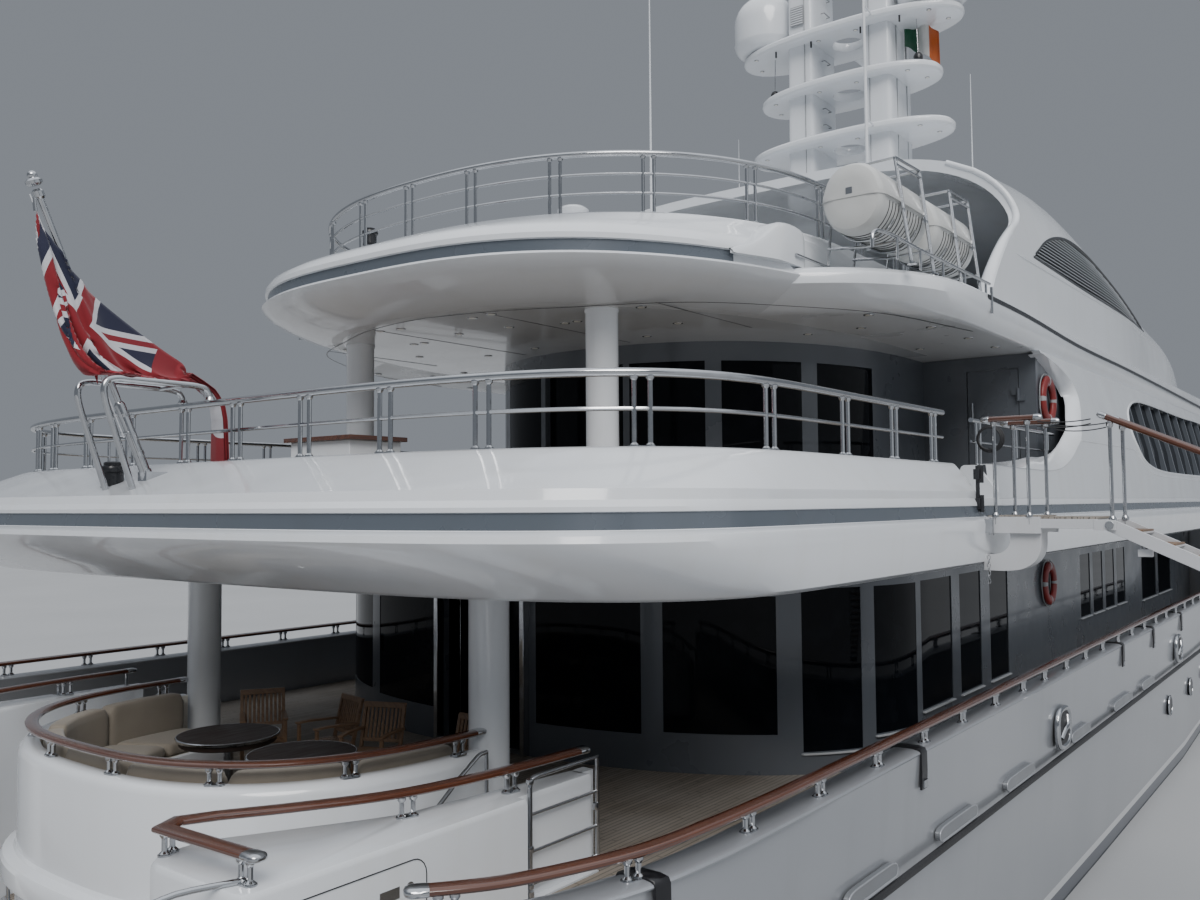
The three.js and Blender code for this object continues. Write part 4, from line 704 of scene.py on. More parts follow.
def upper_deck():
    b = Build()
    # the underside and the lowest band take look 2, SHADE_WHITE, which is painted shade
    looks = [2] + [0] * (len(UPPER_ROWS) - 2)
    looks[STRIPE_ROW] = 1
    b.stack([(deck_outline(plan), z) for plan, z in UPPER_ROWS], 2, looks, open_top=True)
    rim = [
        ((4.76, 3.4, 5.87, 4.2), 5.69),
        ((4.79, 3.4, 5.862, 4.2), 5.78),
        ((5.18, 3.38, 5.77, 4.2), 5.92),
        ((5.52, 3.34, 5.67, 4.2), 6.05),
        ((5.64, 3.32, 5.63, 4.2), 6.10),
        ((5.70, 3.3, 5.60, 4.2), 6.118),
        ((5.82, 3.3, 5.47, 4.2), 6.118),
        ((5.86, 3.3, 5.44, 4.2), 6.10),
        ((5.88, 3.3, 5.42, 4.2), 6.06),
        ((5.88, 3.3, 5.42, 4.2), 5.51),
        ((5.0, 3.4, 5.8, 4.2), 5.51),
    ]
    band(b, rim, (10, BOARDING[0], SIDE_PLATE_AFT), BOARDING[0])
    b.skin([[(x, -plan[2], z) for plan, z in rim] for x in (BOARDING[1], SIDE_PLATE_AFT)])
    looks = [WHITE, STRIPE, SHADE_WHITE]
    piece("upper_deck_form", b, looks, nodes=["upper_deck"], slot="white_paint", smooth=28)


# rows as above: the round aft part of the sun deck with its coaming, then the wider part ahead
SUN_LOBE = [
    ((8.75, 7.2, 3.85, 2.7), 8.0),
    ((8.62, 7.3, 3.95, 2.74), 8.012),
    ((8.4, 7.5, 4.1, 2.8), 8.05),
    ((8.12, 7.7, 4.3, 2.85), 8.14),
    ((7.9, 7.9, 4.45, 2.9), 8.24),
    ((7.78, 7.95, 4.52, 2.9), 8.32),
    ((7.73, 8.0, 4.56, 2.9), 8.38),
    ((7.76, 8.0, 4.53, 2.9), 8.412),
    ((7.80, 8.0, 4.50, 2.9), 8.42),
    ((7.80, 8.0, 4.49, 2.9), 8.55),
    ((7.77, 8.0, 4.515, 2.9), 8.56),
    ((7.77, 8.0, 4.51, 2.9), 8.62),
    ((7.82, 7.8, 4.47, 2.86), 8.70),
    ((7.97, 7.4, 4.39, 2.8), 8.79),
    ((8.3, 5.8, 4.22, 2.6), 8.92),
    ((8.56, 4.5, 4.08, 2.44), 9.02),
    ((8.65, 4.2, 4.03, 2.4), 9.05),
    ((8.80, 3.85, 3.93, 2.34), 9.05),
    ((8.87, 3.75, 3.88, 2.33), 9.03),
    ((8.87, 3.75, 3.88, 2.33), 8.62),
]
SUN_STRIPE_ROW = 8
SUN_STRIPE_END = 10.0
# x, half breadth, height of the wedge between the two parts
SUN_BLOCK = [(10.0, 3.9, 8.56), (10.2, 3.98, 8.63), (10.4, 4.06, 8.74), (10.55, 4.11, 8.86)]
SUN_BLOCK += [(10.68, 4.14, 8.95), (10.82, 4.15, 8.985), (11.15, 4.15, 8.985), (11.25, 4.15, 8.96)]
SUN_BLOCK += [(11.29, 4.14, 8.9)]
SUN_BLOCK_INNER = 3.85
# forward of SUN_STEP the coaming keeps within SUN_SIDE, as far as SUN_END
SUN_STEP = 10.9
SUN_SIDE = 4.03
SUN_END = 16.2
SUN_SHOULDER = [
    ((11.0, 3.5, 5.28, 2.8), 8.004),
    ((10.86, 3.5, 5.33, 2.8), 8.012),
    ((10.7, 3.5, 5.38, 2.8), 8.05),
    ((10.48, 3.5, 5.44, 2.8), 8.16),
    ((10.34, 3.5, 5.48, 2.8), 8.28),
    ((10.33, 3.5, 5.48, 2.8), 8.38),
    ((10.35, 3.5, 5.47, 2.8), 8.43),
    ((10.40, 3.5, 5.43, 2.8), 8.48),
    ((10.46, 3.5, 5.39, 2.8), 8.5),
]
SUN_FRONT = (41.2, 5.8, 2.7)


def sun_lobe(build):
    rings = []
    for plan, z in SUN_LOBE:
        arc = [(SUN_END, -plan[2])] + stern_arc(*plan, 110) + [(SUN_END, plan[2])]
        if z > DECK_SUN:
            arc = [(x, max(-SUN_SIDE, min(SUN_SIDE, y)) if x > SUN_STEP else y) for x, y in arc]
        rings.append((arc, z))
    # the lowest band takes look 2, SHADE_WHITE, which is painted shade
    looks = [2] + [0] * (len(rings) - 2)
    looks[SUN_STRIPE_ROW] = 1
    build.stack(rings, 0, looks)
    for i, face in enumerate(build.faces):
        if build.looks[i] == 1 and min(build.points[k][0] for k in face) > SUN_STRIPE_END:
            build.looks[i] = 0
    # the coaming ends at SUN_END, so the wall across it comes out and its two ends are closed
    kept = [i for i, face in enumerate(build.faces) if any(build.points[k][0] < SUN_END for k in face)]
    build.looks = [build.looks[i] for i in kept]
    build.faces = [build.faces[i] for i in kept]
    ends = [[(*arc[i], z) for arc, z in rings] for i in (0, -1)]
    ends.append([(*rings[k][0][i], rings[k][1]) for k, i in ((0, 0), (0, -1), (-1, -1), (-1, 0))])
    for end in ends:
        build.add(end, [tuple(range(len(end)))], 0, [(0.0, 0.0)] * len(end))


def sun_deck():
    b = Build()
    sun_lobe(b)
    tip, reach, power = SUN_FRONT
    shoulders = []
    for plan, z in SUN_SHOULDER:
        bow = [(2 * tip - x, -y) for x, y in stern_arc(tip, reach, plan[2], power, 40)]
        shoulders.append((stern_arc(*plan, 80) + bow, z))
    # the shoulders' caps and lowest band take look 2, SHADE_WHITE, which is painted shade
    b.stack(shoulders, 2, [2] + [0] * (len(shoulders) - 2))
    for s in (1, -1):
        block = []
        for x, out, top in curve(SUN_BLOCK, 3):
            section = [(SUN_BLOCK_INNER, DECK_SUN), (out, DECK_SUN), (out, top - 0.07)]
            section += [(out - 0.02, top - 0.02), (out - 0.07, top), (SUN_BLOCK_INNER, top)]
            block.append([(x, s * y, z) for y, z in section])
        b.skin(block)
    looks = [WHITE, STRIPE, SHADE_WHITE]
    piece("sun_deck_form", b, looks, nodes=["sun_deck"], slot="white_paint", smooth=28)


# Handrails


def post_pair(build, path, run, foot, top, apart=0.095, radius=0.02):
    """Two round posts side by side along a rail, on one oblong base."""
    path = [p[:2] for p in path]
    for shift in (-apart / 2, apart / 2):
        (x, y), _ = along(path, run + shift)
        build.rod((x, y, foot), (x, y, top), radius, 0, 10)
        build.lathe([(0.036, 0), (0.036, 0.02), (radius, 0.035)], (x, y, foot), "z", 0, 12)
        build.lathe([(radius, 0), (0.034, 0.02), (0.034, 0.04)], (x, y, top - 0.055), "z", 0, 12)
    (x, y), (dx, dy) = along(path, run)
    outline = []
    for u, v in round_points(20, 0.045, 0.045):
        u += math.copysign(apart / 2, u)
        outline.append((x + dx * u - dy * v, y + dy * u + dx * v))
    build.plate(outline, "z", foot - LIFT, foot + 0.012)


def caprail(build, path, foot, top, pairs):
    """A varnished rail with chrome ends on pairs of posts."""
    width, height = 0.13, 0.062
    z = top - height / 2
    section = oval(width, height)
    build.sweep(lifted(path, z), section, 1)
    for end, sign in ((0.0, 1), (runs(path)[-1], -1)):
        spots = [along(path, end + sign * d)[0] for d in (0.0, 0.035, 0.07, 0.1)]
        (x0, y0), (x1, y1) = spots[:2]
        length = math.dist(*spots[:2])
        out = ((x0 - x1) / length, (y0 - y1) / length)
        nose = [(x0 + out[0] * d, y0 + out[1] * d) for d in (0.045, 0.035, 0.015)]
        rings = []
        for (x, y), grow in zip(nose + spots, (0.35, 0.75, 0.98, 1.07, 1.07, 1.07, 1.01)):
            rings.append([(x - out[1] * w * grow, y + out[0] * w * grow, z + h * grow) for w, h in section])
        build.skin(rings)
    for run in pairs:
        post_pair(build, path, run, foot, z - height / 4)


def evenly(path, spacing, first):
    total = runs(path)[-1]
    count = max(1, round((total - 2 * first) / spacing))
    return [first + (total - 2 * first) * i / count for i in range(count + 1)]


# rails in plan, (x, half breadth), and how far along them their pairs of posts stand
RAIL_LINE = [(3.96, 5.21), (4.14, 5.36), (4.37, 5.52), (4.73, 5.68), (5.31, 5.86), (6.0, 5.93), (6.72, 5.96)]
RAIL_LINE += [(8, 5.97), (12, 5.97), (20, 5.97), (31, 5.97)]
BULWARK_PAIRS = [0.2, 1.45, 2.74, 3.88, 5.04, 6.2, 7.34, 8.49, 9.61, 10.6]
WING_CORNERS = [(3.78, 4.0), (3.745, 2.965), (3.90, 2.885)]
WING_LINE = [(4.14, 2.995), (4.6, 3.28), (5.28, 3.62), (6.2, 3.8), (7.24, 3.88)]
WING_PAIRS = [0.12, 1.1, 2.85, 3.85]
SETTEE_LINE = (4.62, 2.62, 2.6, 2.65)
OUTER_HANDRAIL = [(3.78, 3.86, 3.30), (3.3, 3.72, 3.29), (3.05, 3.74, 3.2), (1.72, 4.17, 1.45)]
OUTER_HANDRAIL += [(1.66, 4.17, 1.3), (1.66, 4.17, 0.56)]
INNER_HANDRAIL = [(7.12, 2.79, 3.32), (7.0, 2.79, 3.30), (5.3, 2.79, 1.98), (5.24, 2.79, 1.86)]
INNER_HANDRAIL += [(5.24, 2.79, 1.0)]


def rail_piece(name, build):
    piece(f"{name}_fine", build, [STEEL, VARNISH], nodes=[name], slot="varnished_wood")


def rails():
    for side, s in SIDES:
        b = Build()
        path = [(x, s * y) for x, y in curve(RAIL_LINE, 8)]
        pairs = BULWARK_PAIRS + [BULWARK_PAIRS[-1] + 1.13 * i for i in range(1, 16)]
        caprail(b, path, BULWARK_TOP + 0.02, CAPRAIL_TOP, pairs)
        rail_piece(f"bulwark_rail_{side}", b)
        b = Build()
        path = [(x, s * y) for x, y in WING_CORNERS + curve(WING_LINE, 8)]
        caprail(b, path, BULWARK_TOP, CAPRAIL_TOP, WING_PAIRS)
        for line in (OUTER_HANDRAIL, INNER_HANDRAIL):
            b.tube([(x, s * y, z) for x, y, z in curve(line, 5)], 0.021)
        b.rod((7.12, s * 2.79, 3.33), (7.12, s * 2.79, DECK_MAIN), 0.018)
        rail_piece(f"wing_rail_{side}", b)
    b = Build()
    path = stern_arc(*SETTEE_LINE, 120)
    caprail(b, path, 3.295, CAPRAIL_TOP, evenly(path, 1.12, 0.3))
    rail_piece("settee_rail", b)


UPPER_RAIL = (5.76, 3.3, 5.54, 4.2)
UPPER_RAIL_END = 11.95
UPPER_RAIL_RUNS = [0.35, 1.36, 2.36, 3.53, 4.76, 6.23, 7.58, 8.92]
UPPER_RAIL_RUNS += [9.95, 11.01, 12.08, 13.0, 14.09, 15.05, 16.02]
SUN_RAIL = (8.79, 3.75, 3.95, 2.33)
SUN_RAIL_RUNS = [0.15, 0.52, 1.78, 3.04, 4.4, 5.74, 6.85, 7.98, 9.03, 10.05, 11.3]


def tube_rail(node, path, foot, heights, pairs):
    b = Build()
    for z in heights:
        if z == heights[-1]:
            b.tube(lifted(path, z), 0.036, 0, 12)
        else:
            b.tube(lifted(path, z), 0.018, 0, 8)
    for run in pairs:
        post_pair(b, path, run, foot, heights[-1] - 0.01, apart=0.13, radius=0.021)
    piece(f"{node}_fine", b, [STEEL], nodes=[node], slot="stainless")


def rail_path(plan, places, steps):
    """A rail round the stern that runs on along both sides to the last of places."""
    half = plan[2]
    arc = stern_arc(*plan, steps)
    return [(x, -half) for x in reversed(places)] + arc + [(x, half) for x in places]


def upper_rails():
    """The two upper decks' rails. Their posts are measured aft from a place on the starboard side."""
    path = rail_path(UPPER_RAIL, (10, 11, UPPER_RAIL_END), 120)
    total = runs(path)[-1]
    measured_from = 14
    near = [run - (measured_from - UPPER_RAIL_END) for run in UPPER_RAIL_RUNS]
    near = [run for run in near if run > 0.1]
    far = [total - run for run in near]
    pairs = sorted(near + [run for run in far if all(abs(run - other) > 0.6 for other in near)])
    tube_rail("upper_deck_rail", path, 6.115, [6.42, 6.71], pairs)
    path = rail_path(SUN_RAIL, (13, 14, 15.2), 110)
    total = runs(path)[-1]
    pairs = SUN_RAIL_RUNS + [total - run for run in SUN_RAIL_RUNS if abs(total - 2 * run) > 1]
    pairs = [run for i, run in enumerate(pairs) if run < 0.6 or all(abs(run - q) > 0.6 for q in pairs[:i])]
    tube_rail("sun_deck_rail", path, 9.045, [9.3, 9.53, 9.775], pairs)


# The stern: settee block, wings, stairs


BLOCK = (4.5, BULKHEAD - 4.5, 2.68, 2.65)
# how far each row stands out from BLOCK, and its height, up the outside and down the inside
BLOCK_ROWS = [
    (0.0, 0.552),
    (0.0, 1.93),
    (0.02, 1.965),
    (0.10, 2.0),
    (0.125, 2.03),
    (0.13, 2.06),
    (0.13, 2.2),
    (0.11, 2.235),
    (0.02, 2.27),
    (0.0, 2.3),
    (0.0, 3.2),
    (-0.01, 3.24),
    (-0.03, 3.27),
    (-0.06, 3.29),
    (-0.10, 3.295),
    (-0.165, 3.295),
    (-0.19, 3.285),
    (-0.2, 3.26),
    (-0.2, 2.8),
    (-1.08, 2.8),
    (-1.1, 2.78),
    (-1.1, 0.552),
]
CREAM_ROWS = (16, 17, 18)


def settee_block():
    arcs = [clipped(stern_arc(*grown(BLOCK, by), 120), BULKHEAD) for by, _ in BLOCK_ROWS]
    stations = [[(x, y, z) for (x, y), (_, z) in zip(place, BLOCK_ROWS)] for place in zip(*arcs)]
    b = Build()
    b.skin(stations, rows=[1 if i in CREAM_ROWS else 0 for i in range(len(BLOCK_ROWS))])
    piece("settee_block_form", b, [WHITE, CREAM], nodes=["settee_block"], slot="white_paint", smooth=30)
    b = Build()
    sole = clipped(stern_arc(*grown(BLOCK, -1.09), 60), BULKHEAD)
    b.stack([(sole, 2.40), (sole, DECK_MAIN + LIFT)])
    piece("cockpit_sole", b, [DECK_TEAK], slot="teak")


def pillow(build, inset, share, depth, low, high, fat):
    """A cushion between two insets of a curve: inset(by) gives the curve that lies by inward.

    share is the two shares of the curve where it starts and ends, depth its two insets."""

    def place(u, v, w):
        line = inset(depth[0] + (depth[1] - depth[0]) * v)
        (x, y), _ = along(line, runs(line)[-1] * (share[0] + (share[1] - share[0]) * u))
        return x, y, low + (high - low) * w

    def shaped(u, v, w):
        cu, cv, cw = (2 * t - 1 for t in (u, v, w))
        edge = (abs(cu) ** 14 + abs(cv) ** 8 + abs(cw) ** 5) ** (1 / 8)
        k = 1 / edge if edge > 1 else 1
        x, y, z = place(0.5 + cu * k / 2, 0.5 + cv * k / 2, 0.5 + cw * k / 2)
        return x, y, z + fat * (1 - cu * cu) * (1 - cv * cv) * cw

    nu, nv, nw = 22, 10, 6
    sides = (
        (nu, nv, lambda p, q, level: (p, q, level)),
        (nu, nw, lambda p, q, level: (p, level, q)),
        (nv, nw, lambda p, q, level: (level, p, q)),
    )
    for rows, columns, turned in sides:
        for level in (0.0, 1.0):
            net = [(i / rows, j / columns) for i in range(rows + 1) for j in range(columns + 1)]
            points = [shaped(*turned(p, q, level)) for p, q in net]
            build.add(points, grid_faces(rows + 1, columns + 1))


def settee_cushions():
    cache = {}

    def inset(by):
        key = round(by, 3)
        if key not in cache:
            cache[key] = clipped(stern_arc(*grown(BLOCK, -key), 40), BULKHEAD - 0.03)
        return cache[key]

    b = Build()
    count = 7
    margin = 0.015
    gap = 0.0012
    for i in range(count):
        starts = [margin + (1 - 2 * margin) * k / count for k in (i, i + 1)]
        share = (starts[0] + gap, starts[1] - gap)
        # seat, then backrest
        pillow(b, inset, share, (0.40, 1.08), 2.805, 2.95, 0.012)
        pillow(b, inset, share, (0.215, 0.40), 2.81, 3.36, 0.01)
    looks = [FABRIC]
    obj = piece("settee_cushions", b, looks, nodes=["settee_cushion"], slot="cushion", smooth=70, weld=True)


WING_INNER = [(3.62, 2.9), (4.1, 2.86), (4.62, 3.14), (5.3, 3.48), (6.2, 3.66), (BULKHEAD, 3.78)]
WING_OUTER = 4.058
POCKET = (6.27, 3.98)
LOCKER_DOOR = (3.95, 5.16, 2.36, 3.13, 0.13)


def locker_door(build, s):
    """Outline of the locker door in the wing's outboard face, its lock and its blank plate."""
    x0, x1, z0, z1, r = LOCKER_DOOR
    loop = []
    corners = ((x1 - r, z1 - r, 0), (x0 + r, z1 - r, 90), (x0 + r, z0 + r, 180), (x1 - r, z0 + r, 270))
    for x, z, start in corners:
        for k in range(6):
            a = math.radians(start + 18 * k)
            loop.append((x + r * math.cos(a), s * (WING_OUTER + 0.001), z + r * math.sin(a)))
    build.tube(loop, 0.0045, 1, 6, looped=True)
    low, high = sorted((s * (WING_OUTER - 0.01), s * (WING_OUTER + 0.004)))
    build.lathe([(0.035, low), (0.035, high)], (5.0, 0, 2.95), "y", 2, 18)
    build.box(4.72, 4.9, low, high, 2.9, 2.98, 2)


def stern_wings():
    for side, s in SIDES:
        b = Build()
        inner = [(3.62, 3.1), (3.64, 2.99), (3.71, 2.92), (3.84, 2.87)] + curve(WING_INNER[1:], 8)
        outer = [(BULKHEAD, WING_OUTER), (3.70, WING_OUTER), (3.64, 4.03), (3.62, 3.96)]
        pocket = [(BULKHEAD, POCKET[1]), (POCKET[0], POCKET[1]), (POCKET[0], WING_OUTER)] + outer[1:]
        foot = [(x, s * y) for x, y in inner + outer]
        b.stack([(foot, PLATFORM + LIFT), (foot, DECK_MAIN + LIFT)])
        centre = (5.4, s * 3.6)
        levels = []
        for shrink, z in ((0, 2.45), (0, 3.23), (0.012, 3.26), (0.035, 3.278), (0.05, 3.28)):
            ring = []
            for x, y in inner + pocket:
                ux, uy = centre[0] - x, centre[1] - s * y
                length = math.hypot(ux, uy)
                ring.append((x + ux / length * shrink * 0.5, s * y + uy / length * shrink))
            levels.append((ring, z))
        b.stack(levels)
        b.box(BULKHEAD - 0.05, BULKHEAD + 0.13, s * 3.78, s * 3.9, 2.453, BULWARK_TOP)
        b.rod((6.33, s * 4.03, 2.4), (6.33, s * 4.03, 2.519), 0.034, 2, 14)
        locker_door(b, s)
        looks = [WHITE, BLACK, STEEL]
        name = f"stern_wing_{side}"
        piece(f"{name}_form", b, looks, nodes=[name], slot="white_paint", smooth=32)


def treads():
    """Teak on the stairs and on the bathing platform."""
    b = Build()
    count, first = 9, 0.4
    rise = (2.42 - first) / count
    for _, s in SIDES:
        # the inner stairs, which end at the wing's curve, and the outer ones
        for x0, x1, y0, y1 in ((4.95, 7.26, 2.74, None), (1.6, 3.95, 4.25, 4.95)):
            going = (x1 - x0) / count
            for i in range(count):
                z = first + rise * (i + 1)
                if z < PLATFORM + 0.05:
                    continue
                a = x0 + going * i
                far = y1 or np.interp(a, *zip(*WING_INNER)) - 0.03
                b.box(a + 0.03, a + going - 0.01, s * y0, s * far, z, z + 0.022)
    piece("stair_treads", b, [DECK_TEAK], slot="teak", bevel=0.006)
    b = Build()
    edge = [(0.12, 0), (0.12, 3.6), (0.2, 4.45), (1.0, 5.05), (1.55, 5.2), (1.57, 4.2), (3.6, 4.15)]
    edge += [(3.55, 2.8), (4.3, 2.6)]
    block = stern_arc(4.42, 2.4, 2.78, 2.65, 24)
    edge += [(x, y) for x, y in block if y > 0 and x < 4.8][::-1]
    b.plate(edge + across([p for p in edge if p[1] > 0]), "z", PLATFORM, PLATFORM + 0.02)
    piece("platform_teak", b, [DECK_TEAK], slot="teak")


# Deck furniture and fittings of the aft decks


def place_at(x, y, turn, floor):
    """Turns points about z by degrees and moves them to a spot."""
    c, s = math.cos(math.radians(turn)), math.sin(math.radians(turn))
    return lambda p: (x + p[0] * c - p[1] * s, y + p[0] * s + p[1] * c, p[2] + floor)


# name, x, y, degrees that it is turned
CHAIRS = [
    ("deck_chair_1", 7.5, 1.3, 237),
    ("deck_chair_2", 7.7, 0.36, 167),
    ("deck_chair_3", 7.67, -0.48, 202),
    ("deck_chair_4", 7.72, -1.75, 180),
]
TABLES = [("deck_table_1", 6.57, 0.61), ("deck_table_2", 6.5, -0.8)]
# name, x, y, radius, foot, top
COLUMNS = [
    ("main_column", 7.45, 2.51, 0.205, DECK_MAIN, SOFFIT_UPPER),
    ("upper_column", 9.73, 2.22, 0.198, DECK_UPPER, SOFFIT_SUN),
]


def chairs():
    seat, arm_top = 0.44, 0.2
    arm = [(-0.30, 0.205), (0.1, 0.215), (0.26, 0.205), (0.262, 0.23), (0.1, 0.242), (-0.30, 0.232)]
    arm = [(u, seat + v) for u, v in arm]
    for name, x, y, turn in CHAIRS:
        b = Build()
        put = place_at(x, y, turn, DECK_MAIN)

        def lean(p):
            return put((p[0] - (p[2] - seat) * 0.24, p[1], p[2]))

        for px in (-0.225, 0.225):
            for py in (-0.245, 0.245):
                top = seat + arm_top if px > 0 else seat
                b.box(px - 0.02, px + 0.02, py - 0.02, py + 0.02, LIFT, top, turn=put)
        for py in (-0.245, 0.245):
            b.box(-0.22, 0.22, py - 0.014, py + 0.014, seat - 0.06, seat - 0.012, turn=put)
            side = Build()
            side.plate(arm, "y", py - 0.032, py + 0.032)
            b.add([put(p) for p in side.points], side.faces, 0, side.uvs)
            b.box(-0.2, 0.2, py - 0.012, py + 0.012, 0.12, 0.15, turn=put)
        for px in (-0.225, 0.225):
            b.box(px - 0.014, px + 0.014, -0.24, 0.24, seat - 0.06, seat - 0.012, turn=put)
        for i in range(9):
            u = -0.225 + 0.055 * i
            b.box(u - 0.021, u + 0.021, -0.262, 0.262, seat - 0.012, seat + 0.006, turn=put)
        for py in (-0.245, 0.245):
            b.box(-0.245, -0.205, py - 0.02, py + 0.02, seat - 0.01, seat + 0.49, turn=lean)
        b.box(-0.248, -0.208, -0.265, 0.265, seat + 0.44, seat + 0.5, turn=lean)
        b.box(-0.240, -0.212, -0.23, 0.23, seat + 0.07, seat + 0.11, turn=lean)
        for i in range(9):
            v = -0.2 + 0.05 * i
            b.box(-0.234, -0.218, v - 0.016, v + 0.016, seat + 0.1, seat + 0.45, turn=lean)
        piece(name + "_slatted", b, [CHAIR_TEAK], nodes=[name], slot="teak", bevel=0.006)


def tables():
    top = [(0.30, -0.1), (0.50, -0.098), (0.515, -0.085), (0.52, -0.04), (0.548, -0.034), (0.552, -0.008)]
    top += [(0.545, 0.0), (0.538, 0.0), (0.40, 0.0), (0.02, 0.0)]
    looks = [0, 0, 0, 0, 1, 1, 1, 0, 0]
    foot = [(0.25, LIFT), (0.25, 0.02), (0.22, 0.032), (0.07, 0.05)]
    for name, x, y in TABLES:
        b = Build()
        b.lathe(top, (x, y, 3.16), "z", 0, 64, looks)
        b.lathe([(0.06, 0), (0.055, 0.03), (0.055, 0.62)], (x, y, DECK_MAIN + 0.03), "z", 1, 24)
        b.lathe(foot, (x, y, DECK_MAIN), "z", 1, 40)
        piece(name + "_fine", b, [TABLE_WOOD, STEEL], nodes=[name], slot="dark_wood", smooth=30)


def columns():
    for side, s in SIDES:
        for name, x, y, radius, low, high in COLUMNS:
            b = Build()
            profile = [(radius + 0.02, 0.0), (radius + 0.02, 0.03), (radius + 0.004, 0.045), (radius, 0.06)]
            top = high - low
            profile += [(radius, top - 0.05), (radius + 0.012, top - 0.03), (radius + 0.012, top)]
            b.lathe(profile, (x, s * y, low + LIFT), "z", 0, 56)
            piece(f"{name}_{side}_fine", b, [WHITE], nodes=[f"{name}_{side}"], slot="white_paint")


def gates():
    for side, s in SIDES:
        b = Build()
        y = s * 4.03
        x0, x1, z0, z1 = 6.33, 7.23, 2.54, 3.43
        line = [(x0, z0), (x0, z1 - 0.08), (x0 + 0.012, z1 - 0.03), (x0 + 0.04, z1 - 0.006), (x0 + 0.09, z1)]
        b.tube([(x, y, z) for x, z in line + [(x1, z1), (x1, z0)]], 0.021, 0, 12)
        b.rod((x0, y, z0 + 0.03), (x1, y, z0 + 0.03), 0.016)
        for z in (2.83, 3.13):
            b.rod((x0, y, z), (x1, y, z), 0.014)
        for z in (2.56, 2.86, 3.4):
            b.lathe([(0.03, -0.02), (0.034, 0), (0.03, 0.02)], (x0, y, z), "z", 0, 14)
        b.lathe([(0.026, -0.03), (0.03, 0), (0.026, 0.03)], (x1 - 0.02, y, 3.0), "z", 0, 14)
        piece(f"gate_{side}_tubes", b, [STEEL], f"gate_{side}", nodes=[f"gate_{side}"], slot="stainless")


LANDING_TOP = 5.5
LANDING_EDGE = 5.97
RAIL_TEAK = 0.034
POST = 0.021
CHAIN_LINK = (0.016, 0.028)
KNEE_OUTER = [(6.22, 5.31), (6.215, 5.2), (6.18, 5.12), (6.1, 5.07), (6.0, 5.05), (5.92, 5.05)]
KNEE_INNER = [(5.92, 4.87), (6.2, 4.87), (6.36, 4.90), (6.48, 4.98), (6.545, 5.1), (6.56, 5.31)]
LADDER_HINGE = (7.28, 5.4)
LADDER_SLOPE = math.radians(25.1)
LADDER_LENGTH = 6.7


def teak_rail(build, a, b):
    """A straight round handrail of varnished teak with chrome ends."""
    a, b = Vector(a), Vector(b)
    d = (b - a).normalized()
    build.rod(a, b, RAIL_TEAK, 3, 16)
    radii = [RAIL_TEAK * grow for grow in (1.0, 1.12, 1.12, 0.6)]
    for end, sign in ((a, -1), (b, 1)):
        path = [end + d * sign * step for step in (-0.05, -0.045, 0.02, 0.045)]
        build.tube(path, RAIL_TEAK, 2, 16, radii=radii)


def landing():
    b = Build()
    x0, x1 = BOARDING
    top = LANDING_TOP
    for x in (x0, x1 - 0.05):
        b.box(x, x + 0.05, -6.57, -LANDING_EDGE, top - 0.2, top - 0.012)
        b.box(x + 0.004, x + 0.046, -7.16, -6.55, top - 0.14, top - 0.035)
    for y, low, high in ((-6.0, 0.19, 0.016), (-6.56, 0.19, 0.016), (-7.15, 0.13, 0.04)):
        b.box(x0 + 0.048, x1 - 0.048, y, y + 0.04, top - low, top - high)
    b.box(x0 + 0.01, x1 - 0.01, -6.5, -6.02, top - 0.08, top - 0.03)
    for outer, low, high in ((-6.55, 0.012, 0.0), (-7.15, 0.035, 0.012)):
        for i in range(7):
            y = outer + 0.083 * i
            b.box(x0 + 0.01, x1 - 0.01, y, y + 0.076, top - low, top - high, 1)
    knee = curve(KNEE_OUTER, 5) + curve(KNEE_INNER, 5)
    b.plate([(-y, z) for y, z in knee], "x", x0 + 0.06, x0 + 0.34)
    hinge, z = LADDER_HINGE
    for x, sign in ((x0 + 0.02, -1), (x1 - 0.02, 1)):
        for y in (6.08, 6.45):
            b.rod((x, -y, top - 0.1), (x, -y, 6.6), POST, 2)
            b.lathe([(0.04, 0), (0.04, 0.02), (0.022, 0.05)], (x, -y, top - 0.01), "z", 2, 14)
            b.lathe([(0.022, 0), (0.036, 0.02), (0.036, 0.05)], (x, -y, 6.53), "z", 2, 14)
        teak_rail(b, (x, -5.98, 6.61), (x, -6.57, 6.61))
        b.box(x - 0.0205, x + 0.0205, -7.34, -7.12, 5.345, 5.455)
        b.lathe([(0.045, -0.01), (0.045, 0.01)], (x + sign * 0.025, -hinge, z), "x", 2, 18)
        pin = x0 + 0.0493 if sign < 0 else x1 - 0.0493
        b.rod((x, -hinge, z), (pin, -hinge, z), 0.03, 2)
        # two thin lines that close the way between the handrails
        for drop, sag in ((0.0, 0.02), (0.05, 0.03)):
            shares = [k / 8 for k in range(9)]
            line = [(x, -6.56 - 0.56 * t, 6.56 - drop - sag * 4 * t * (1 - t)) for t in shares]
            b.tube(line, 0.007, 4, 6)
    # hinge block against the deck's edge, with a short chain below
    b.box(x0 - 0.06, x0, -6.06, -LANDING_EDGE, 5.3, 5.46, 2)
    b.rod((x0 - 0.03, -6.04, 5.28), (x0 - 0.03, -6.04, 5.48), 0.03, 2)
    for i in range(7):
        link = []
        for u, v in round_points(12, *CHAIN_LINK):
            link.append((x0 - 0.02 + (u if i % 2 else 0), -6.0 + (0 if i % 2 else u), 5.02 - 0.045 * i + v))
        b.tube(link, 0.005, 2, 6, looped=True)
    looks = [LIGHT_GREY, DECK_TEAK, STEEL, VARNISH, RUBBER]
    name = "boarding_landing"
    piece(f"{name}_fine", b, looks, nodes=[name], slot="stainless", bevel=0.004)


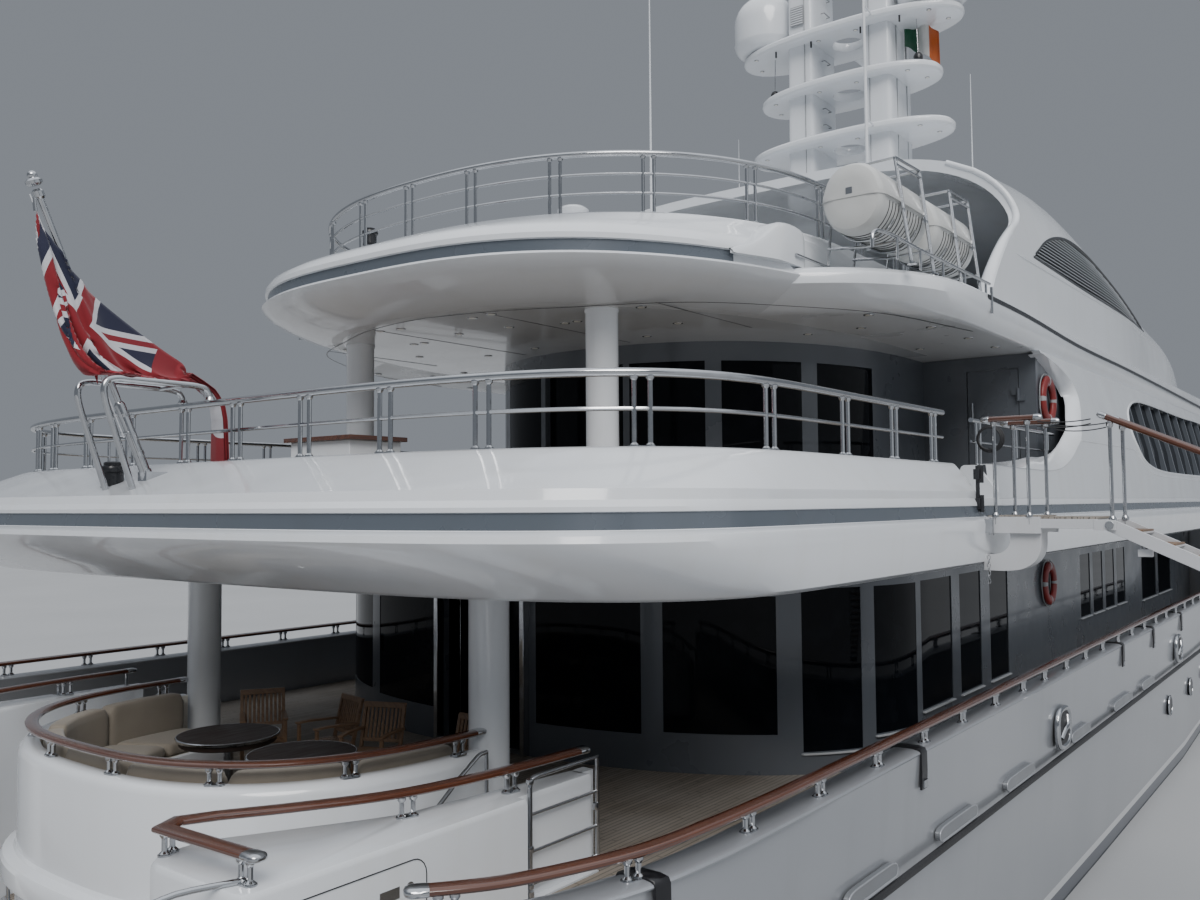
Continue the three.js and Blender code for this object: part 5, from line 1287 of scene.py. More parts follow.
def ladder():
    b = Build()
    hy, hz = LADDER_HINGE
    fall, run = math.sin(LADDER_SLOPE), math.cos(LADDER_SLOPE)
    x0, x1 = BOARDING[0] + 0.05, BOARDING[1] - 0.05
    stringer = 0.04

    def spot(d, up=0.0):
        return -hy - d * run, hz - d * fall + up

    for x in (x0, x1 - stringer):
        outline = [
            (spot(-0.05)[0], hz - 0.06),
            (spot(-0.05)[0], hz + 0.05),
            (spot(0.0)[0], hz + 0.072),
            spot(LADDER_LENGTH - 0.03, 0.072),
            spot(LADDER_LENGTH, 0.04),
            spot(LADDER_LENGTH, -0.05),
            spot(LADDER_LENGTH - 0.03, -0.08),
            spot(0.0, -0.08),
        ]
        b.plate(outline, "x", x, x + stringer)
    count = 20
    for i in range(count):
        y, z = spot(0.2 + i * (LADDER_LENGTH - 0.35) / (count - 1), 0.02)
        b.box(x0 + 0.041, x1 - 0.041, y - 0.13, y + 0.11, z - 0.028, z - 0.008)
        for k in range(4):
            a = y - 0.13 + 0.06 * k
            b.box(x0 + 0.045, x1 - 0.045, a + 0.002, a + 0.057, z - 0.008, z + 0.014, 1)
    for x in (x0 + 0.02, x1 - 0.02):
        for d in (0.02, 1.65, 3.3, 4.95, 6.5):
            y, z = spot(d)
            b.rod((x, y, z), (x, y, z + 1.15), POST, 2)
            b.lathe([(0.04, 0.05), (0.04, 0.08), (0.022, 0.11)], (x, y, z), "z", 2, 14)
            b.lathe([(0.022, 1.06), (0.036, 1.09), (0.036, 1.13)], (x, y, z), "z", 2, 14)
        teak_rail(b, (x, *spot(-0.07, 1.17)), (x, *spot(6.57, 1.17)))
    # roller at the foot and the winch's sheave under the first treads
    y, z = spot(LADDER_LENGTH - 0.04, -0.09)
    b.rod((x0, y, z), (x1, y, z), 0.05, 4, 20)
    y, z = spot(0.35, -0.14)
    b.box(x0 + 0.06, x0 + 0.16, y - 0.07, y + 0.07, z - 0.05, z + 0.03)
    b.rod((x0 + 0.11, y, z + 0.02), (x0 + 0.11, y + 0.04, z + 0.09), 0.012, 2, 8)
    looks = [LIGHT_GREY, CHAIR_TEAK, STEEL, VARNISH, RUBBER]
    name = "boarding_ladder"
    piece(f"{name}_fine", b, looks, name, nodes=[name], slot="stainless", bevel=0.004)


STAFF_FOOT = (5.27, 0, 5.9)
STAFF_HEAD = (4.13, 0, 8.6)
HOOP = [(4.99, 5.75), (4.75, 6.46), (4.685, 6.66), (4.67, 6.78), (4.70, 6.85), (4.78, 6.878), (4.9, 6.88)]
HOOP += [(5.4, 6.878), (5.62, 6.872), (5.71, 6.85), (5.75, 6.80), (5.76, 6.71)]
HOOP_SIDE = 0.25


def staff():
    b = Build()
    foot, head = Vector(STAFF_FOOT), Vector(STAFF_HEAD)
    d = (head - foot).normalized()
    b.tube([foot + d * 0.8, head - d * 0.04], 0.032, 0, 18)
    for steps, radii, sides in (
        ((-0.12, -0.10, -0.05, -0.03), (0.036, 0.052, 0.052, 0.036), 18),
        ((0, 0.02, 0.05, 0.07), (0.05, 0.075, 0.075, 0.05), 20),
    ):
        b.tube([head + d * step for step in steps], 0.05, 0, sides, radii=radii)
    b.ball((STAFF_HEAD[0] - 0.03, 0, STAFF_HEAD[2] + 0.09), 0.045, 0, 18)
    b.tube([foot + d * step for step in (-0.02, 0.82, 0.85)], 0.05, 0, 20, radii=[0.052, 0.052, 0.034])
    for k in (0.3, 0.7):
        b.tube([foot + d * k, foot + d * (k + 0.035)], 0.057, 0, 20)
    b.box(5.19, 5.41, -0.08, 0.08, 5.9, 6.015, 0)
    b.tube([foot - d * 0.02, foot + d * 0.14], 0.062, 0, 20)
    # halyard, its block under the finial and its cleat
    line = [foot + d * k + Vector((-0.075, 0, -0.02)) for k in (0.5, 1.0, 2.0, 2.86)]
    b.tube(line, 0.006, 1, 6)
    block = (head - d * 0.1 + Vector((-0.05, 0, -0.02)), head - d * 0.22 + Vector((-0.08, 0, -0.03)))
    b.rod(*block, 0.018, 0, 10)
    spot = foot + d * 0.55 + Vector((-0.05, 0, -0.02))
    b.rod(spot + Vector((0, -0.06, 0)), spot + Vector((0, 0.06, 0)), 0.012, 0, 8)
    piece("ensign_staff_fine", b, [STEEL, TAPE], nodes=["ensign_staff"], slot="stainless")
    b = Build()
    line = [HOOP[0]] + curve(HOOP[1:-1], 6) + [HOOP[-1]]
    for y in (HOOP_SIDE, -HOOP_SIDE):
        b.tube([(x, y, z) for x, z in line], 0.031, 0, 16)
        b.lathe([(0.06, 0), (0.06, 0.015), (0.034, 0.04)], (4.975, y, 5.79), "z", 0, 18)
        b.lathe([(0.045, -0.012), (0.05, 0), (0.04, 0.03)], (5.76, y, 6.745), "z", 0, 16)
    b.rod((5.5, -HOOP_SIDE, 6.87), (5.5, HOOP_SIDE, 6.87), 0.02)
    piece("stern_hoops_fine", b, [STEEL], nodes=["stern_hoops"], slot="stainless")


def ensign_cloth():
    """Red bunting with the union in the canton and a plain white disc in the fly."""
    s = Shader("ensign_bunting", (0.5, 0.02, 0.03), 0.8)
    u = s.axis("X", s.run)
    v = s.axis("Y", s.run)

    def less(a, b):
        return s.math("LESS_THAN", a, b)

    def minus(a, b):
        return s.math("SUBTRACT", a, b)

    def times(a, b):
        return s.math("MULTIPLY", a, b)

    def size(a):
        return s.math("ABSOLUTE", a)

    red, white, blue = (0.24, 0.006, 0.014), (0.62, 0.62, 0.65), (0.006, 0.010, 0.038)
    canton = times(less(u, 0.5), s.math("GREATER_THAN", v, 0.5))
    cu = minus(u, 0.25)
    cv = times(minus(v, 0.75), 0.5)
    down = size(minus(cv, times(cu, 0.5)))
    up = size(s.math("ADD", cv, times(cu, 0.5)))
    diagonal = s.math("MINIMUM", down, up)
    cross = s.math("MINIMUM", size(cu), size(cv))
    jack = s.mix(less(diagonal, 0.026), blue, white)
    jack = s.mix(less(diagonal, 0.009), jack, red)
    jack = s.mix(less(cross, 0.042), jack, white)
    jack = s.mix(less(cross, 0.025), jack, red)
    base = s.mix(canton, red, jack)
    du = minus(u, 0.76)
    dv = times(minus(v, 0.5), 0.5)
    base = s.mix(less(s.math("ADD", times(du, du), times(dv, dv)), 0.0072), base, white)
    weave = times(s.math("SINE", times(u, 2600.0)), s.math("SINE", times(v, 1300.0)))
    base = s.mix(s.span(s.noise(2.0, 4.0), 0.35, 0.7, 0.0, 0.15), base, (0.03, 0.02, 0.03))
    s.bump(s.math("ADD", times(weave, 0.3), s.noise(20.0, 3.0)), 0.2, 0.001)
    s.set(s.main, {"Sheen Weight": 0.2})
    return s.finish(Base_Color=base, Roughness=0.8)


ENSIGN_HOIST = 1.65
ENSIGN_FLY = 3.3
ENSIGN_TOP = (4.14, -0.01, 8.37)
ENSIGN_LOW = (4.73, -0.01, 6.83)
# x and z of the fly, which hangs inside the rail from where the hoops hold the cloth
ENSIGN_FALL = [(5.612, 6.94), (5.74, 6.87), (5.85, 6.80), (5.92, 6.69), (5.94, 6.56), (5.945, 5.5)]


def gathered(v, distance, open_by):
    """A place in the gathered cloth, folded in flanks that lie on one another."""
    (x, z), (dx, dz) = along(ENSIGN_FALL, distance)
    flank = (v - 0.06) * 6 + 0.5
    side = 2 * abs(flank - 2 * math.floor(flank / 2) - 1) - 1
    depth = 0.02 + 0.085 * abs(2 * (v - 0.56))
    side *= 0.137 * (0.62 + 0.38 * open_by)
    return x - dz * depth, -0.02 + side - 0.03 * open_by, z + dx * depth


def ensign():
    """The ensign is drawn together where it crosses the hoops, and its fly hangs inside the rail.

    Hoist and gather are held, and the cloth between them settles with stiff threads under its weight."""
    nu, nv = 120, 60
    gather = 75
    top, low = np.array(ENSIGN_TOP), np.array(ENSIGN_LOW)
    grid = np.zeros((nv + 1, nu + 1, 3))
    step = ENSIGN_FLY / nu
    for j in range(nv + 1):
        v = j / nv
        start = low + (top - low) * v
        end = np.array(gathered(v, 0.0, 0.0))
        for i in range(nu + 1):
            if i > gather:
                away = (i - gather) * step
                grid[j, i] = gathered(v, away, min(away / 0.9, 1.0))
                continue
            t = i / gather
            wave = 0.17 * (1 - v) ** 0.8 * math.sin(math.pi * t) ** 0.7
            place = start + (end - start) * t
            place[1] -= 0.05 * min(t * 8, 1) * (1 - t)
            place[1] += wave * math.sin(2 * math.pi * (2.6 * t + 0.9 * v + 0.1))
            place[2] += 0.05 * (1 - v) * math.sin(math.pi * t)
            grid[j, i] = place
    settle(grid[:, : gather + 1], ENSIGN_HOIST / nv, step)
    uvs = [(i / nu, j / nv) for j in range(nv + 1) for i in range(nu + 1)]
    b = Build()
    b.add([tuple(p) for row in grid for p in row], grid_faces(nv + 1, nu + 1), 0, uvs)
    obj = piece("ensign_cloth", b, [ensign_cloth()], nodes=["ensign"], slot="cloth", smooth=80)
    thicken(obj, 0.0012)


def settle(grid, high, wide, rounds=260, passes=7):
    """Moves the inner points of a grid of threads until each thread has its length again."""
    before = grid.copy()
    slant = math.hypot(high, wide)
    sets = []
    for k in (0, 1):
        sets.append((grid[:, k:-1:2], grid[:, k + 1::2], wide, 1.0))
        sets.append((grid[k:-1:2], grid[k + 1::2], high, 1.0))
    for a in (0, 1):
        for k in (0, 1):
            sets.append((grid[a:-1:2, k:-1:2], grid[a + 1::2, k + 1::2], slant, 0.35))
            sets.append((grid[a + 1::2, k:-1:2], grid[a:-1:2, k + 1::2], slant, 0.35))
    held_aft, held_fore = grid[:, 0].copy(), grid[:, -1].copy()
    reach = np.arange(grid.shape[1])[None, :, None] * wide
    tethers = ((held_aft[:, None], reach), (held_fore[:, None], reach[:, ::-1]))
    staff = np.array(STAFF_HEAD) - np.array(STAFF_FOOT)
    staff = staff[[0, 2]] / np.linalg.norm(staff[[0, 2]])
    weight = 0.0008
    for turn in range(rounds):
        moved = grid + (grid - before) * (0.93 if turn < rounds * 0.8 else 0.6)
        moved[..., 2] -= weight
        before[...] = grid
        grid[...] = moved
        for _ in range(passes):
            for a, b, length, share in sets:
                rows, cols = min(a.shape[0], b.shape[0]), min(a.shape[1], b.shape[1])
                p, q = a[:rows, :cols], b[:rows, :cols]
                gap = q - p
                size = np.linalg.norm(gap, axis=2, keepdims=True) + 1e-9
                push = gap * (0.5 * share * (size - length) / size)
                p += push
                q -= push
            # no point gets further from a held edge than its thread is long
            for end, limit in tethers:
                away = grid - end
                size = np.linalg.norm(away, axis=2, keepdims=True) + 1e-9
                grid[...] = end + away * np.minimum(1.0, limit / size)
            # flat bending: threads keep from creasing
            for part in (grid, grid.transpose(1, 0, 2)):
                mid = part[1:-1]
                mid += 0.06 * ((part[:-2] + part[2:]) / 2 - mid)
            # the cloth lies on the hoops, between their sides and beside the staff
            x, y, z = grid[..., 0], grid[..., 1], grid[..., 2]
            np.maximum(z, np.where(x > 4.70, 6.925, -9.0), out=z)
            np.clip(y, -0.30, 0.22, out=y)
            off = (x - STAFF_FOOT[0]) * staff[1] - (z - STAFF_FOOT[2]) * staff[0]
            np.minimum(y, np.where(np.abs(off) < 0.075, -0.042, 9.0), out=y)
            grid[:, 0], grid[:, -1] = held_aft, held_fore


# Deck houses and canopy

WALL = 0.12
# x of the front, half breadth, height
UPPER_SHELL = [(42.2, 5.87, 5.702), (41.95, 5.83, 6.1), (41.5, 5.74, 6.7), (40.95, 5.58, 7.35)]
UPPER_SHELL += [(40.4, 5.42, 7.998)]
SHELL_FORM = (5.2, 2.6)


def shell_half(z):
    return float(np.interp(z, [row[2] for row in UPPER_SHELL], [row[1] for row in UPPER_SHELL]))


def shell_station_rings(aft, thickness, steps=70):
    reach, power = SHELL_FORM
    outer = []
    inner = []
    for tip, half, z in UPPER_SHELL:
        for rows, by in ((outer, 0.0), (inner, thickness)):
            arc = [(2 * (tip - by) - x, -y) for x, y in stern_arc(tip - by, reach, half - by, power, steps)]
            side = [(x, half - by) for x in (aft, 17, 21, 25, 29, 33)]
            rows.append(lifted(side + arc + across(side), z))
    return [list(place) for place in zip(*(outer + inner[::-1]))]


# outlines on the house's side, (x, z)
OPENING = [(12.0, 6.118), (13.0, 6.118), (14.6, 6.1), (15.6, 6.105), (16.3, 6.17), (16.85, 6.3)]
OPENING += [(17.35, 6.48), (17.8, 6.68), (18.1, 6.95), (18.35, 7.2), (18.44, 7.4), (18.35, 7.58)]
OPENING += [(18.0, 7.75), (17.4, 7.88), (16.8, 7.96), (16.3, 8.2), (15.4, 8.5), (12.0, 8.5)]
SIDE_WINDOW = [(34.1, 7.3), (33.9, 7.6), (33.5, 7.72), (29.2, 7.74), (24.6, 7.75), (23.7, 7.7)]
SIDE_WINDOW += [(23.1, 7.6), (22.55, 7.41), (22.31, 7.13), (22.36, 6.84), (22.6, 6.6), (22.95, 6.44)]
SIDE_WINDOW += [(23.5, 6.34), (24.4, 6.27), (26.1, 6.24), (30, 6.24), (33.5, 6.25), (33.9, 6.38)]
SIDE_WINDOW += [(34.1, 6.65)]
PANEL_LINE = [(17.78, 6.63), (19.3, 6.64), (21.6, 6.645), (22.1, 6.62), (22.5, 6.5), (22.9, 6.34)]
PANEL_LINE += [(23.4, 6.22), (24.4, 6.17), (27, 6.15), (31, 6.14), (36, 6.13)]
# inward along the skin and deep into the house
OPENING_EDGE = ((-0.02, 0.0), (0.0, -0.012), (0.03, 0.004), (0.19, 0.16), (0.19, 0.2), (-0.02, 0.1))
WHEELHOUSE_WINDOWS = (-62, -42, -22, 0, 22, 42, 62)
WHEELHOUSE_CENTRE = 37.2
FINS = [23.06 + 1.16 * i for i in range(10)]
FIN_FOOT, FIN_TOP = 6.22, 7.76


def prism(outline, low, high):
    b = Build()
    b.plate(outline, "y", low, high)
    return b


def opening_edge(build, s):
    """Rounded edge of the side opening, from the deck's rim round to the sun deck."""
    line = curve(OPENING[1:15], 5)
    rings = []
    for i, (x, z) in enumerate(line):
        (ax, az), (bx, bz) = line[max(i - 1, 0)], line[min(i + 1, len(line) - 1)]
        length = math.hypot(bx - ax, bz - az)
        nx, nz = -(bz - az) / length, (bx - ax) / length
        wide = min(1.0, 0.05 + i / 8, 0.05 + (len(line) - 1 - i) / 20)
        ring = []
        for inward, deep in OPENING_EDGE:
            px, pz = x + nx * inward * wide, z + nz * inward * wide
            ring.append((px, s * (shell_half(z) - deep), pz))
        rings.append(ring)
    build.skin(rings)


def upper_house():
    b = Build()
    b.skin(shell_station_rings(SIDE_PLATE_AFT + 0.001, WALL))
    opening = OPENING[:2] + curve(OPENING[1:15], 5)[1:] + OPENING[15:]
    window = curve(SIDE_WINDOW, 4, closed=True)
    cutters = [prism(opening, -7, 7), prism(window, 4.9, 7), prism(window, -7, -4.9)]
    for degrees in WHEELHOUSE_WINDOWS:
        wedge = []
        for far, shift in ((1.5, -8.2), (9, -8.2), (9, 8.2), (1.5, 8.2)):
            a = math.radians(degrees + shift)
            wedge.append((WHEELHOUSE_CENTRE + far * math.cos(a), far * math.sin(a)))
        cutters.append(Build())
        cutters[-1].plate(wedge, "z", 6.75, 7.65)
    carve("upper_house_shell", b, cutters, [WHITE], nodes=["upper_house"], slot="white_paint")
    b = Build()
    for _, s in SIDES:
        opening_edge(b, s)
        # edge of the lower panel, proud of the skin, and frame of the long side window
        for line, radius in ((curve(PANEL_LINE, 5), 0.024), (window, 0.03)):
            path = [(x, s * (shell_half(z) - 0.012), z) for x, z in line]
            b.tube(path, radius, 0, 8, looped=line is window)
        foot, top = shell_half(FIN_FOOT), shell_half(FIN_TOP)
        for x in FINS:
            low = [(-0.035, 0.02), (0.035, 0.02), (0.035, 0.12), (-0.035, 0.12)]
            b.skin([
                [(x + dx, s * (half - deep), z) for dx, deep in low]
                for half, z in ((foot, FIN_FOOT), (top, FIN_TOP))
            ], 1)
    piece("upper_house_edges", b, [WHITE, DARK_WALL], slot="white_paint", smooth=50)


# x, height, half breadth of the canopy's arches
CANOPY = [(14.8, 3.0, 5.19), (17.4, 3.28, 5.23), (20.0, 3.45, 5.27), (24.0, 2.85, 5.32), (28.0, 2.34, 5.14)]
CANOPY += [(32.0, 1.88, 5.0), (36.0, 0.86, 4.4), (38.6, 0.2, 3.3)]
CANOPY_ROWS = curve(CANOPY, 6)
CANOPY_POWER = 3.7
CANOPY_BASE = 8.503
CANOPY_EDGE = [(14.9, 8.3), (15.07, 8.55), (15.25, 8.8), (15.5, 9.1), (16.0, 9.55), (16.5, 9.87)]
CANOPY_EDGE += [(16.95, 10.1), (17.2, 10.32), (17.29, 10.6), (17.3, 11.2), (17.3, 12.5)]
LOUVRE = [(17.4, 9.62), (20.0, 9.58), (22.6, 9.56), (25.0, 9.6), (27.4, 9.68)]
LOUVRE_TOP = [(27.4, 9.68), (26.0, 9.98), (24.6, 10.2), (23.0, 10.4), (21.5, 10.5), (20.2, 10.46)]
LOUVRE_TOP += [(19.2, 10.3), (18.3, 10.04), (17.4, 9.62)]
LOUVRE_SLATS = [9.625 + 0.066 * k for k in range(13)]
CANOPY_SEAM = [(14.04, 8.42), (15.86, 8.41), (18.94, 8.32), (23.2, 8.31), (30.56, 8.24), (34, 8.2)]
LIP_HEIGHTS, LIP_RADII = (8.5, 9.2, 10.0, 10.8), (0.12, 0.1, 0.07, 0.05)


def canopy_half(x, z):
    """Half breadth of the canopy at a place and height."""
    places, heights, halves = zip(*CANOPY_ROWS)
    height = np.interp(x, places, heights)
    half = np.interp(x, places, halves)
    t = min(max((z - CANOPY_BASE) / height, 0), 1) ** (CANOPY_POWER / 2)
    return float(half * (1 - t * t) ** (1 / CANOPY_POWER))


def canopy_rings(steps=48):
    rings = []
    for x, height, half in CANOPY_ROWS:
        loop = []
        for by, drop in ((0.0, 0.0), (0.14, -0.04)):
            arch = []
            for i in range(steps + 1):
                t = math.pi * i / steps
                y = (half - by) * bent(math.cos(t), 2 / CANOPY_POWER)
                z = max(height - by, 0.05) * abs(math.sin(t)) ** (2 / CANOPY_POWER) + drop
                arch.append((x, y, CANOPY_BASE + (z if 0 < i < steps else 0)))
            loop += arch if by == 0 else arch[::-1]
        rings.append(loop)
    return rings


def louvre(build, lens, s):
    """A frame round the lens, a black back that is painted shade for the recess behind the slats, and slats
    that lean out.
    """
    build.tube([(x, s * (canopy_half(x, z) - 0.02), z) for x, z in lens], 0.03, 0, 8, looped=True)
    # painted shade: a black sheet deep in the recess stands for the shade behind the slats
    build.skin([[(x, s * (canopy_half(x, z) - deep), z) for x, z in lens] for deep in (0.13, 0.145)])
    for z in LOUVRE_SLATS:
        crossings = []
        for (xa, za), (xb, zb) in zip(lens, lens[1:] + lens[:1]):
            if (za - z) * (zb - z) < 0:
                crossings.append(xa + (xb - xa) * (z - za) / (zb - za))
        if len(crossings) < 2:
            continue
        xa, xb = min(crossings) + 0.03, max(crossings) - 0.03
        if xb - xa < 0.3:
            continue
        rings = []
        for i in range(25):
            x = xa + (xb - xa) * i / 24
            section = ((0.03, -0.02), (0.02, -0.008), (0.08, 0.022), (0.09, 0.01))
            rings.append([(x, s * (canopy_half(x, z) - deep), z + up) for deep, up in section])
        build.skin(rings, 1)


def canopy():
    b = Build()
    b.skin(canopy_rings())
    edge = curve(CANOPY_EDGE, 5) + [(13, 12.5), (13, 8.2)]
    lens = curve(LOUVRE, 5)[:-1] + curve(LOUVRE_TOP, 5)[:-1]
    cutters = [prism(edge, -7, 7), prism(lens, 3, 7), prism(lens, -7, -3)]
    carve("canopy_shell", b, cutters, [WHITE], nodes=["canopy"], slot="white_paint")
    for side, s in SIDES:
        b = Build()
        louvre(b, lens, s)
        piece(f"louvre_{side}_slats", b, [BLACK, SLAT], nodes=[f"louvre_{side}"], slot="black_paint")
    # smooth lip round the canopy's aft edge
    b = Build()
    for _, s in SIDES:
        line = []
        radii = []
        for x, z in curve(CANOPY_EDGE[1:], 5):
            if z < CANOPY_BASE + 3.1:
                thick = float(np.interp(z, LIP_HEIGHTS, LIP_RADII))
                line.append((x + thick * 0.4, s * (canopy_half(x, z) - thick - 0.002), z))
                radii.append(thick)
        b.tube(line, 0.07, 0, 20, radii=radii)
        # knuckle under the louvre and the dark seam where the canopy meets the deck's edge
        count, level = 40, 9.5
        knuckle = [(x, s * (canopy_half(x, level) - 0.014), level) for x in np.linspace(16.2, 29, count)]
        radii = [0.028 * min(1, (i + 1) / 3, (count - i) / 8) for i in range(count)]
        b.tube(knuckle, 0.028, 0, 10, radii=radii)
        path = [(x, s * 5.481, z) for x, z in curve(CANOPY_SEAM, 4)]
        b.sweep(path, [(-0.01, -0.03), (0.006, -0.03), (0.006, 0.03), (-0.01, 0.03)], 1)
        b.rod((14.15, s * 5.49, 8.2), (14.15, s * 5.49, 8.56), 0.02, 2)
    piece("canopy_lip", b, [WHITE, BLACK, STEEL], slot="white_paint")


# Mast


MAST_X = (21.5, 22.85)
MAST_MIDDLE = sum(MAST_X) / 2
# height of the underside and half span of each wing
WINGS = [(13.78, 2.4), (15.06, 2.15), (16.26, 2.65)]
WING_DEPTH = 0.2
WING_SECTION = ((0.10, 0.0), (0.03, 0.02), (0.0, 0.06), (0.0, 0.14), (0.03, 0.18), (0.10, WING_DEPTH))
WING_HOLE = ((0.37, WING_DEPTH), (0.35, 0.17), (0.35, 0.03), (0.37, 0.0))
# name, wing, x, half length of each radar scanner
RADARS = (("lower", 0, 24.15, 1.1), ("upper", 2, 24.0, 0.85))
RADAR_FOOT = 0.2807
DOME = [(0.3, 0.001), (0.48, 0.012), (0.62, 0.06), (0.71, 0.14), (0.755, 0.25), (0.765, 0.27), (0.765, 0.29)]
DOME += [(0.752, 0.296), (0.76, 0.5), (0.76, 0.78), (0.745, 0.92), (0.70, 1.07), (0.62, 1.2), (0.5, 1.32)]
DOME += [(0.36, 1.40), (0.2, 1.455), (0.03, 1.47)]
DOME_SEAM = 6


def mast_column(build, s):
    middle = MAST_MIDDLE
    rings = []
    for z, shrink in ((11.2, 0.0), (13.0, 0.0), (17.9, 0.05), (18.2, 0.07), (18.3, 0.12)):
        outline = round_points(36, 0.675 - shrink, 0.34 - shrink * 0.6, 0.22, start=0.5)
        rings.append([(middle + u, s * 0.92 + v, z) for u, v in outline])
    build.skin(rings)
    # joints between the panels of the columns and the rungs on their inner faces
    for dx in (-0.28, 0.3):
        build.box(middle + dx - 0.006, middle + dx + 0.006, s * 1.24, s * 1.266, 11.3, 17.8, 1)
    build.box(middle - 0.683, middle - 0.66, s * 0.78 - 0.006, s * 0.78 + 0.006, 11.3, 17.8, 1)
    for k in range(16):
        z = 11.8 + 0.38 * k
        if min(abs(z - low - WING_DEPTH / 2) for low, _ in WINGS) > 0.2:
            rung = ((-0.15, 0.6), (-0.15, 0.52), (0.15, 0.52), (0.15, 0.6))
            build.tube([(middle + dx, s * y, z) for dx, y in rung], 0.014, 1, 6)


def mast_wing(build, z, span):
    """An oval wing with a round hole in its middle, and lights in its underside."""
    rings = []
    for k in range(96):
        a = 2 * math.pi * k / 96
        c, q = math.cos(a), math.sin(a)
        section = []
        for shrink, dz in WING_SECTION:
            x, y = (1.0 - shrink) * bent(c, 0.86), (span - shrink) * bent(q, 0.86)
            section.append((MAST_MIDDLE + x, y, z + dz))
        for r, dz in WING_HOLE:
            section.append((MAST_MIDDLE + r * c, r * q, z + dz))
        rings.append(section)
    build.skin(rings, looped=True)
    for s in (1, -1):
        for dx, y in ((-0.62, 0.45), (-0.55, span - 0.55), (0.1, span - 0.35)):
            spot = (MAST_MIDDLE + dx, s * y, z)
            build.lathe([(0.05, -0.008), (0.055, -0.002), (0.055, 0.01)], spot, "z", 1, 16)
            build.lathe([(0.034, -0.01), (0.034, 0.0)], spot, "z", 2, 14)


def mast():
    b = Build()
    middle = MAST_MIDDLE
    for s in (1, -1):
        mast_column(b, s)
    # vent grille in the aft face of the port column
    b.box(middle - 0.69, middle - 0.66, 0.8, 1.12, 16.75, 17.2, 1)
    for k in range(8):
        b.box(middle - 0.7, middle - 0.68, 0.81, 1.11, 16.77 + 0.055 * k, 16.79 + 0.055 * k, 0)
    for z, span in WINGS:
        mast_wing(b, z, span)
    for _, wing, x, _ in RADARS:
        z = WINGS[wing][0]
        b.box(middle + 0.5, x + 0.2, -0.26, 0.26, z + 0.02, z + 0.18)
        b.lathe([(0.2, 0.1), (0.2, 0.3), (0.17, 0.42), (0.12, 0.47)], (x, 0, z), "z", 0, 28)
    b.box(MAST_X[0] + 0.3, MAST_X[0] + 1, -1.2, 1.2, 18.15, 18.27)
    b.tube([(middle, 0, 18.2), (middle, 0, 19.9)], 0.05, 0, 14)
    for z in (18.7, 19.2, 19.7):
        b.lathe([(0.09, -0.06), (0.1, 0.0), (0.09, 0.06)], (middle, 0, z), "z", 2, 18)
    piece("mast_form", b, [WHITE, GREY, LAMP], nodes=["mast"], slot="white_paint", bevel=0.012, smooth=40)
    aerials()
    courtesy_flag()
    radars()
    for side, s in SIDES:
        b = Build()
        looks = [0] * (len(DOME) - 1)
        looks[DOME_SEAM] = 1
        b.lathe(DOME, (22.05, s * 2.06, WINGS[2][0] + WING_DEPTH), "z", 0, 56, looks)
        name = f"sat_dome_{side}"
        piece(f"{name}_fine", b, [WHITE, GREY], nodes=[name], slot="white_paint", smooth=50)


def aerials():
    """Navigation lights on the tips of the middle wing, a whip on each, stubs under the top one, a pole."""
    b = Build()
    middle = MAST_MIDDLE
    z, span = WINGS[1]
    top = WINGS[2][0]
    light = [(0.08, 0.19), (0.1, 0.24), (0.1, 0.36), (0.07, 0.42), (0.02, 0.44)]
    for s in (1, -1):
        b.lathe(light, (middle - 0.3, s * (span - 0.4), z), "z", 2, 18)
        b.lathe([(0.1, 0.19), (0.1, 0.3), (0.05, 0.34)], (middle - 0.02, s * (span - 0.3), z), "z", 2, 18)
        x = middle - 0.3
        b.tube([(x, s * (span - 0.4), z + 0.4), (x, s * (span - 0.42), top)], 0.009, 1, 6)
        for y in (0.6, 1.5):
            b.rod((middle - 0.7, s * y, top - 0.14), (middle - 0.7, s * y, top + 0.02), 0.022, 2, 8)
    pole = [(20.75, -1.0, 11.2), (20.75, -1.0, 14.5), (20.75, -0.98, 18.1)]
    b.tube(pole, 0.03, 0, 12, radii=[0.036, 0.034, 0.024])
    for z in (WINGS[0][0] + 0.1, top + 0.1):
        b.rod((20.75, -1.0, z), (21.3, -0.95, z), 0.02, 0, 8)
    piece("mast_aerials", b, [WHITE, STEEL, BLACK], slot="white_paint")


def radars():
    section = oval(0.17, 0.15, 3.4, 20)
    for name, wing, x, reach in RADARS:
        foot = WINGS[wing][0] + WING_DEPTH + RADAR_FOOT
        b = Build()
        rings = []
        for k in range(13):
            t = -1 + k / 6
            grow = 1.0 if abs(t) < 0.97 else 0.75
            rings.append([(x + w * grow, reach * t, foot + 0.085 + h * grow) for w, h in section])
        b.skin(rings)
        b.box(x - 0.087, x - 0.075, -reach * 0.9, reach * 0.9, foot + 0.05, foot + 0.115, 1)
        b.lathe([(0.1, 0.002), (0.1, 0.03), (0.08, 0.05)], (x, 0, foot), "z", 0, 24)
        node = f"radar_scanner_{name}"
        piece(f"radar_{name}_bar", b, [WHITE, BLACK], node, nodes=[node], slot="white_paint", bevel=0.006)


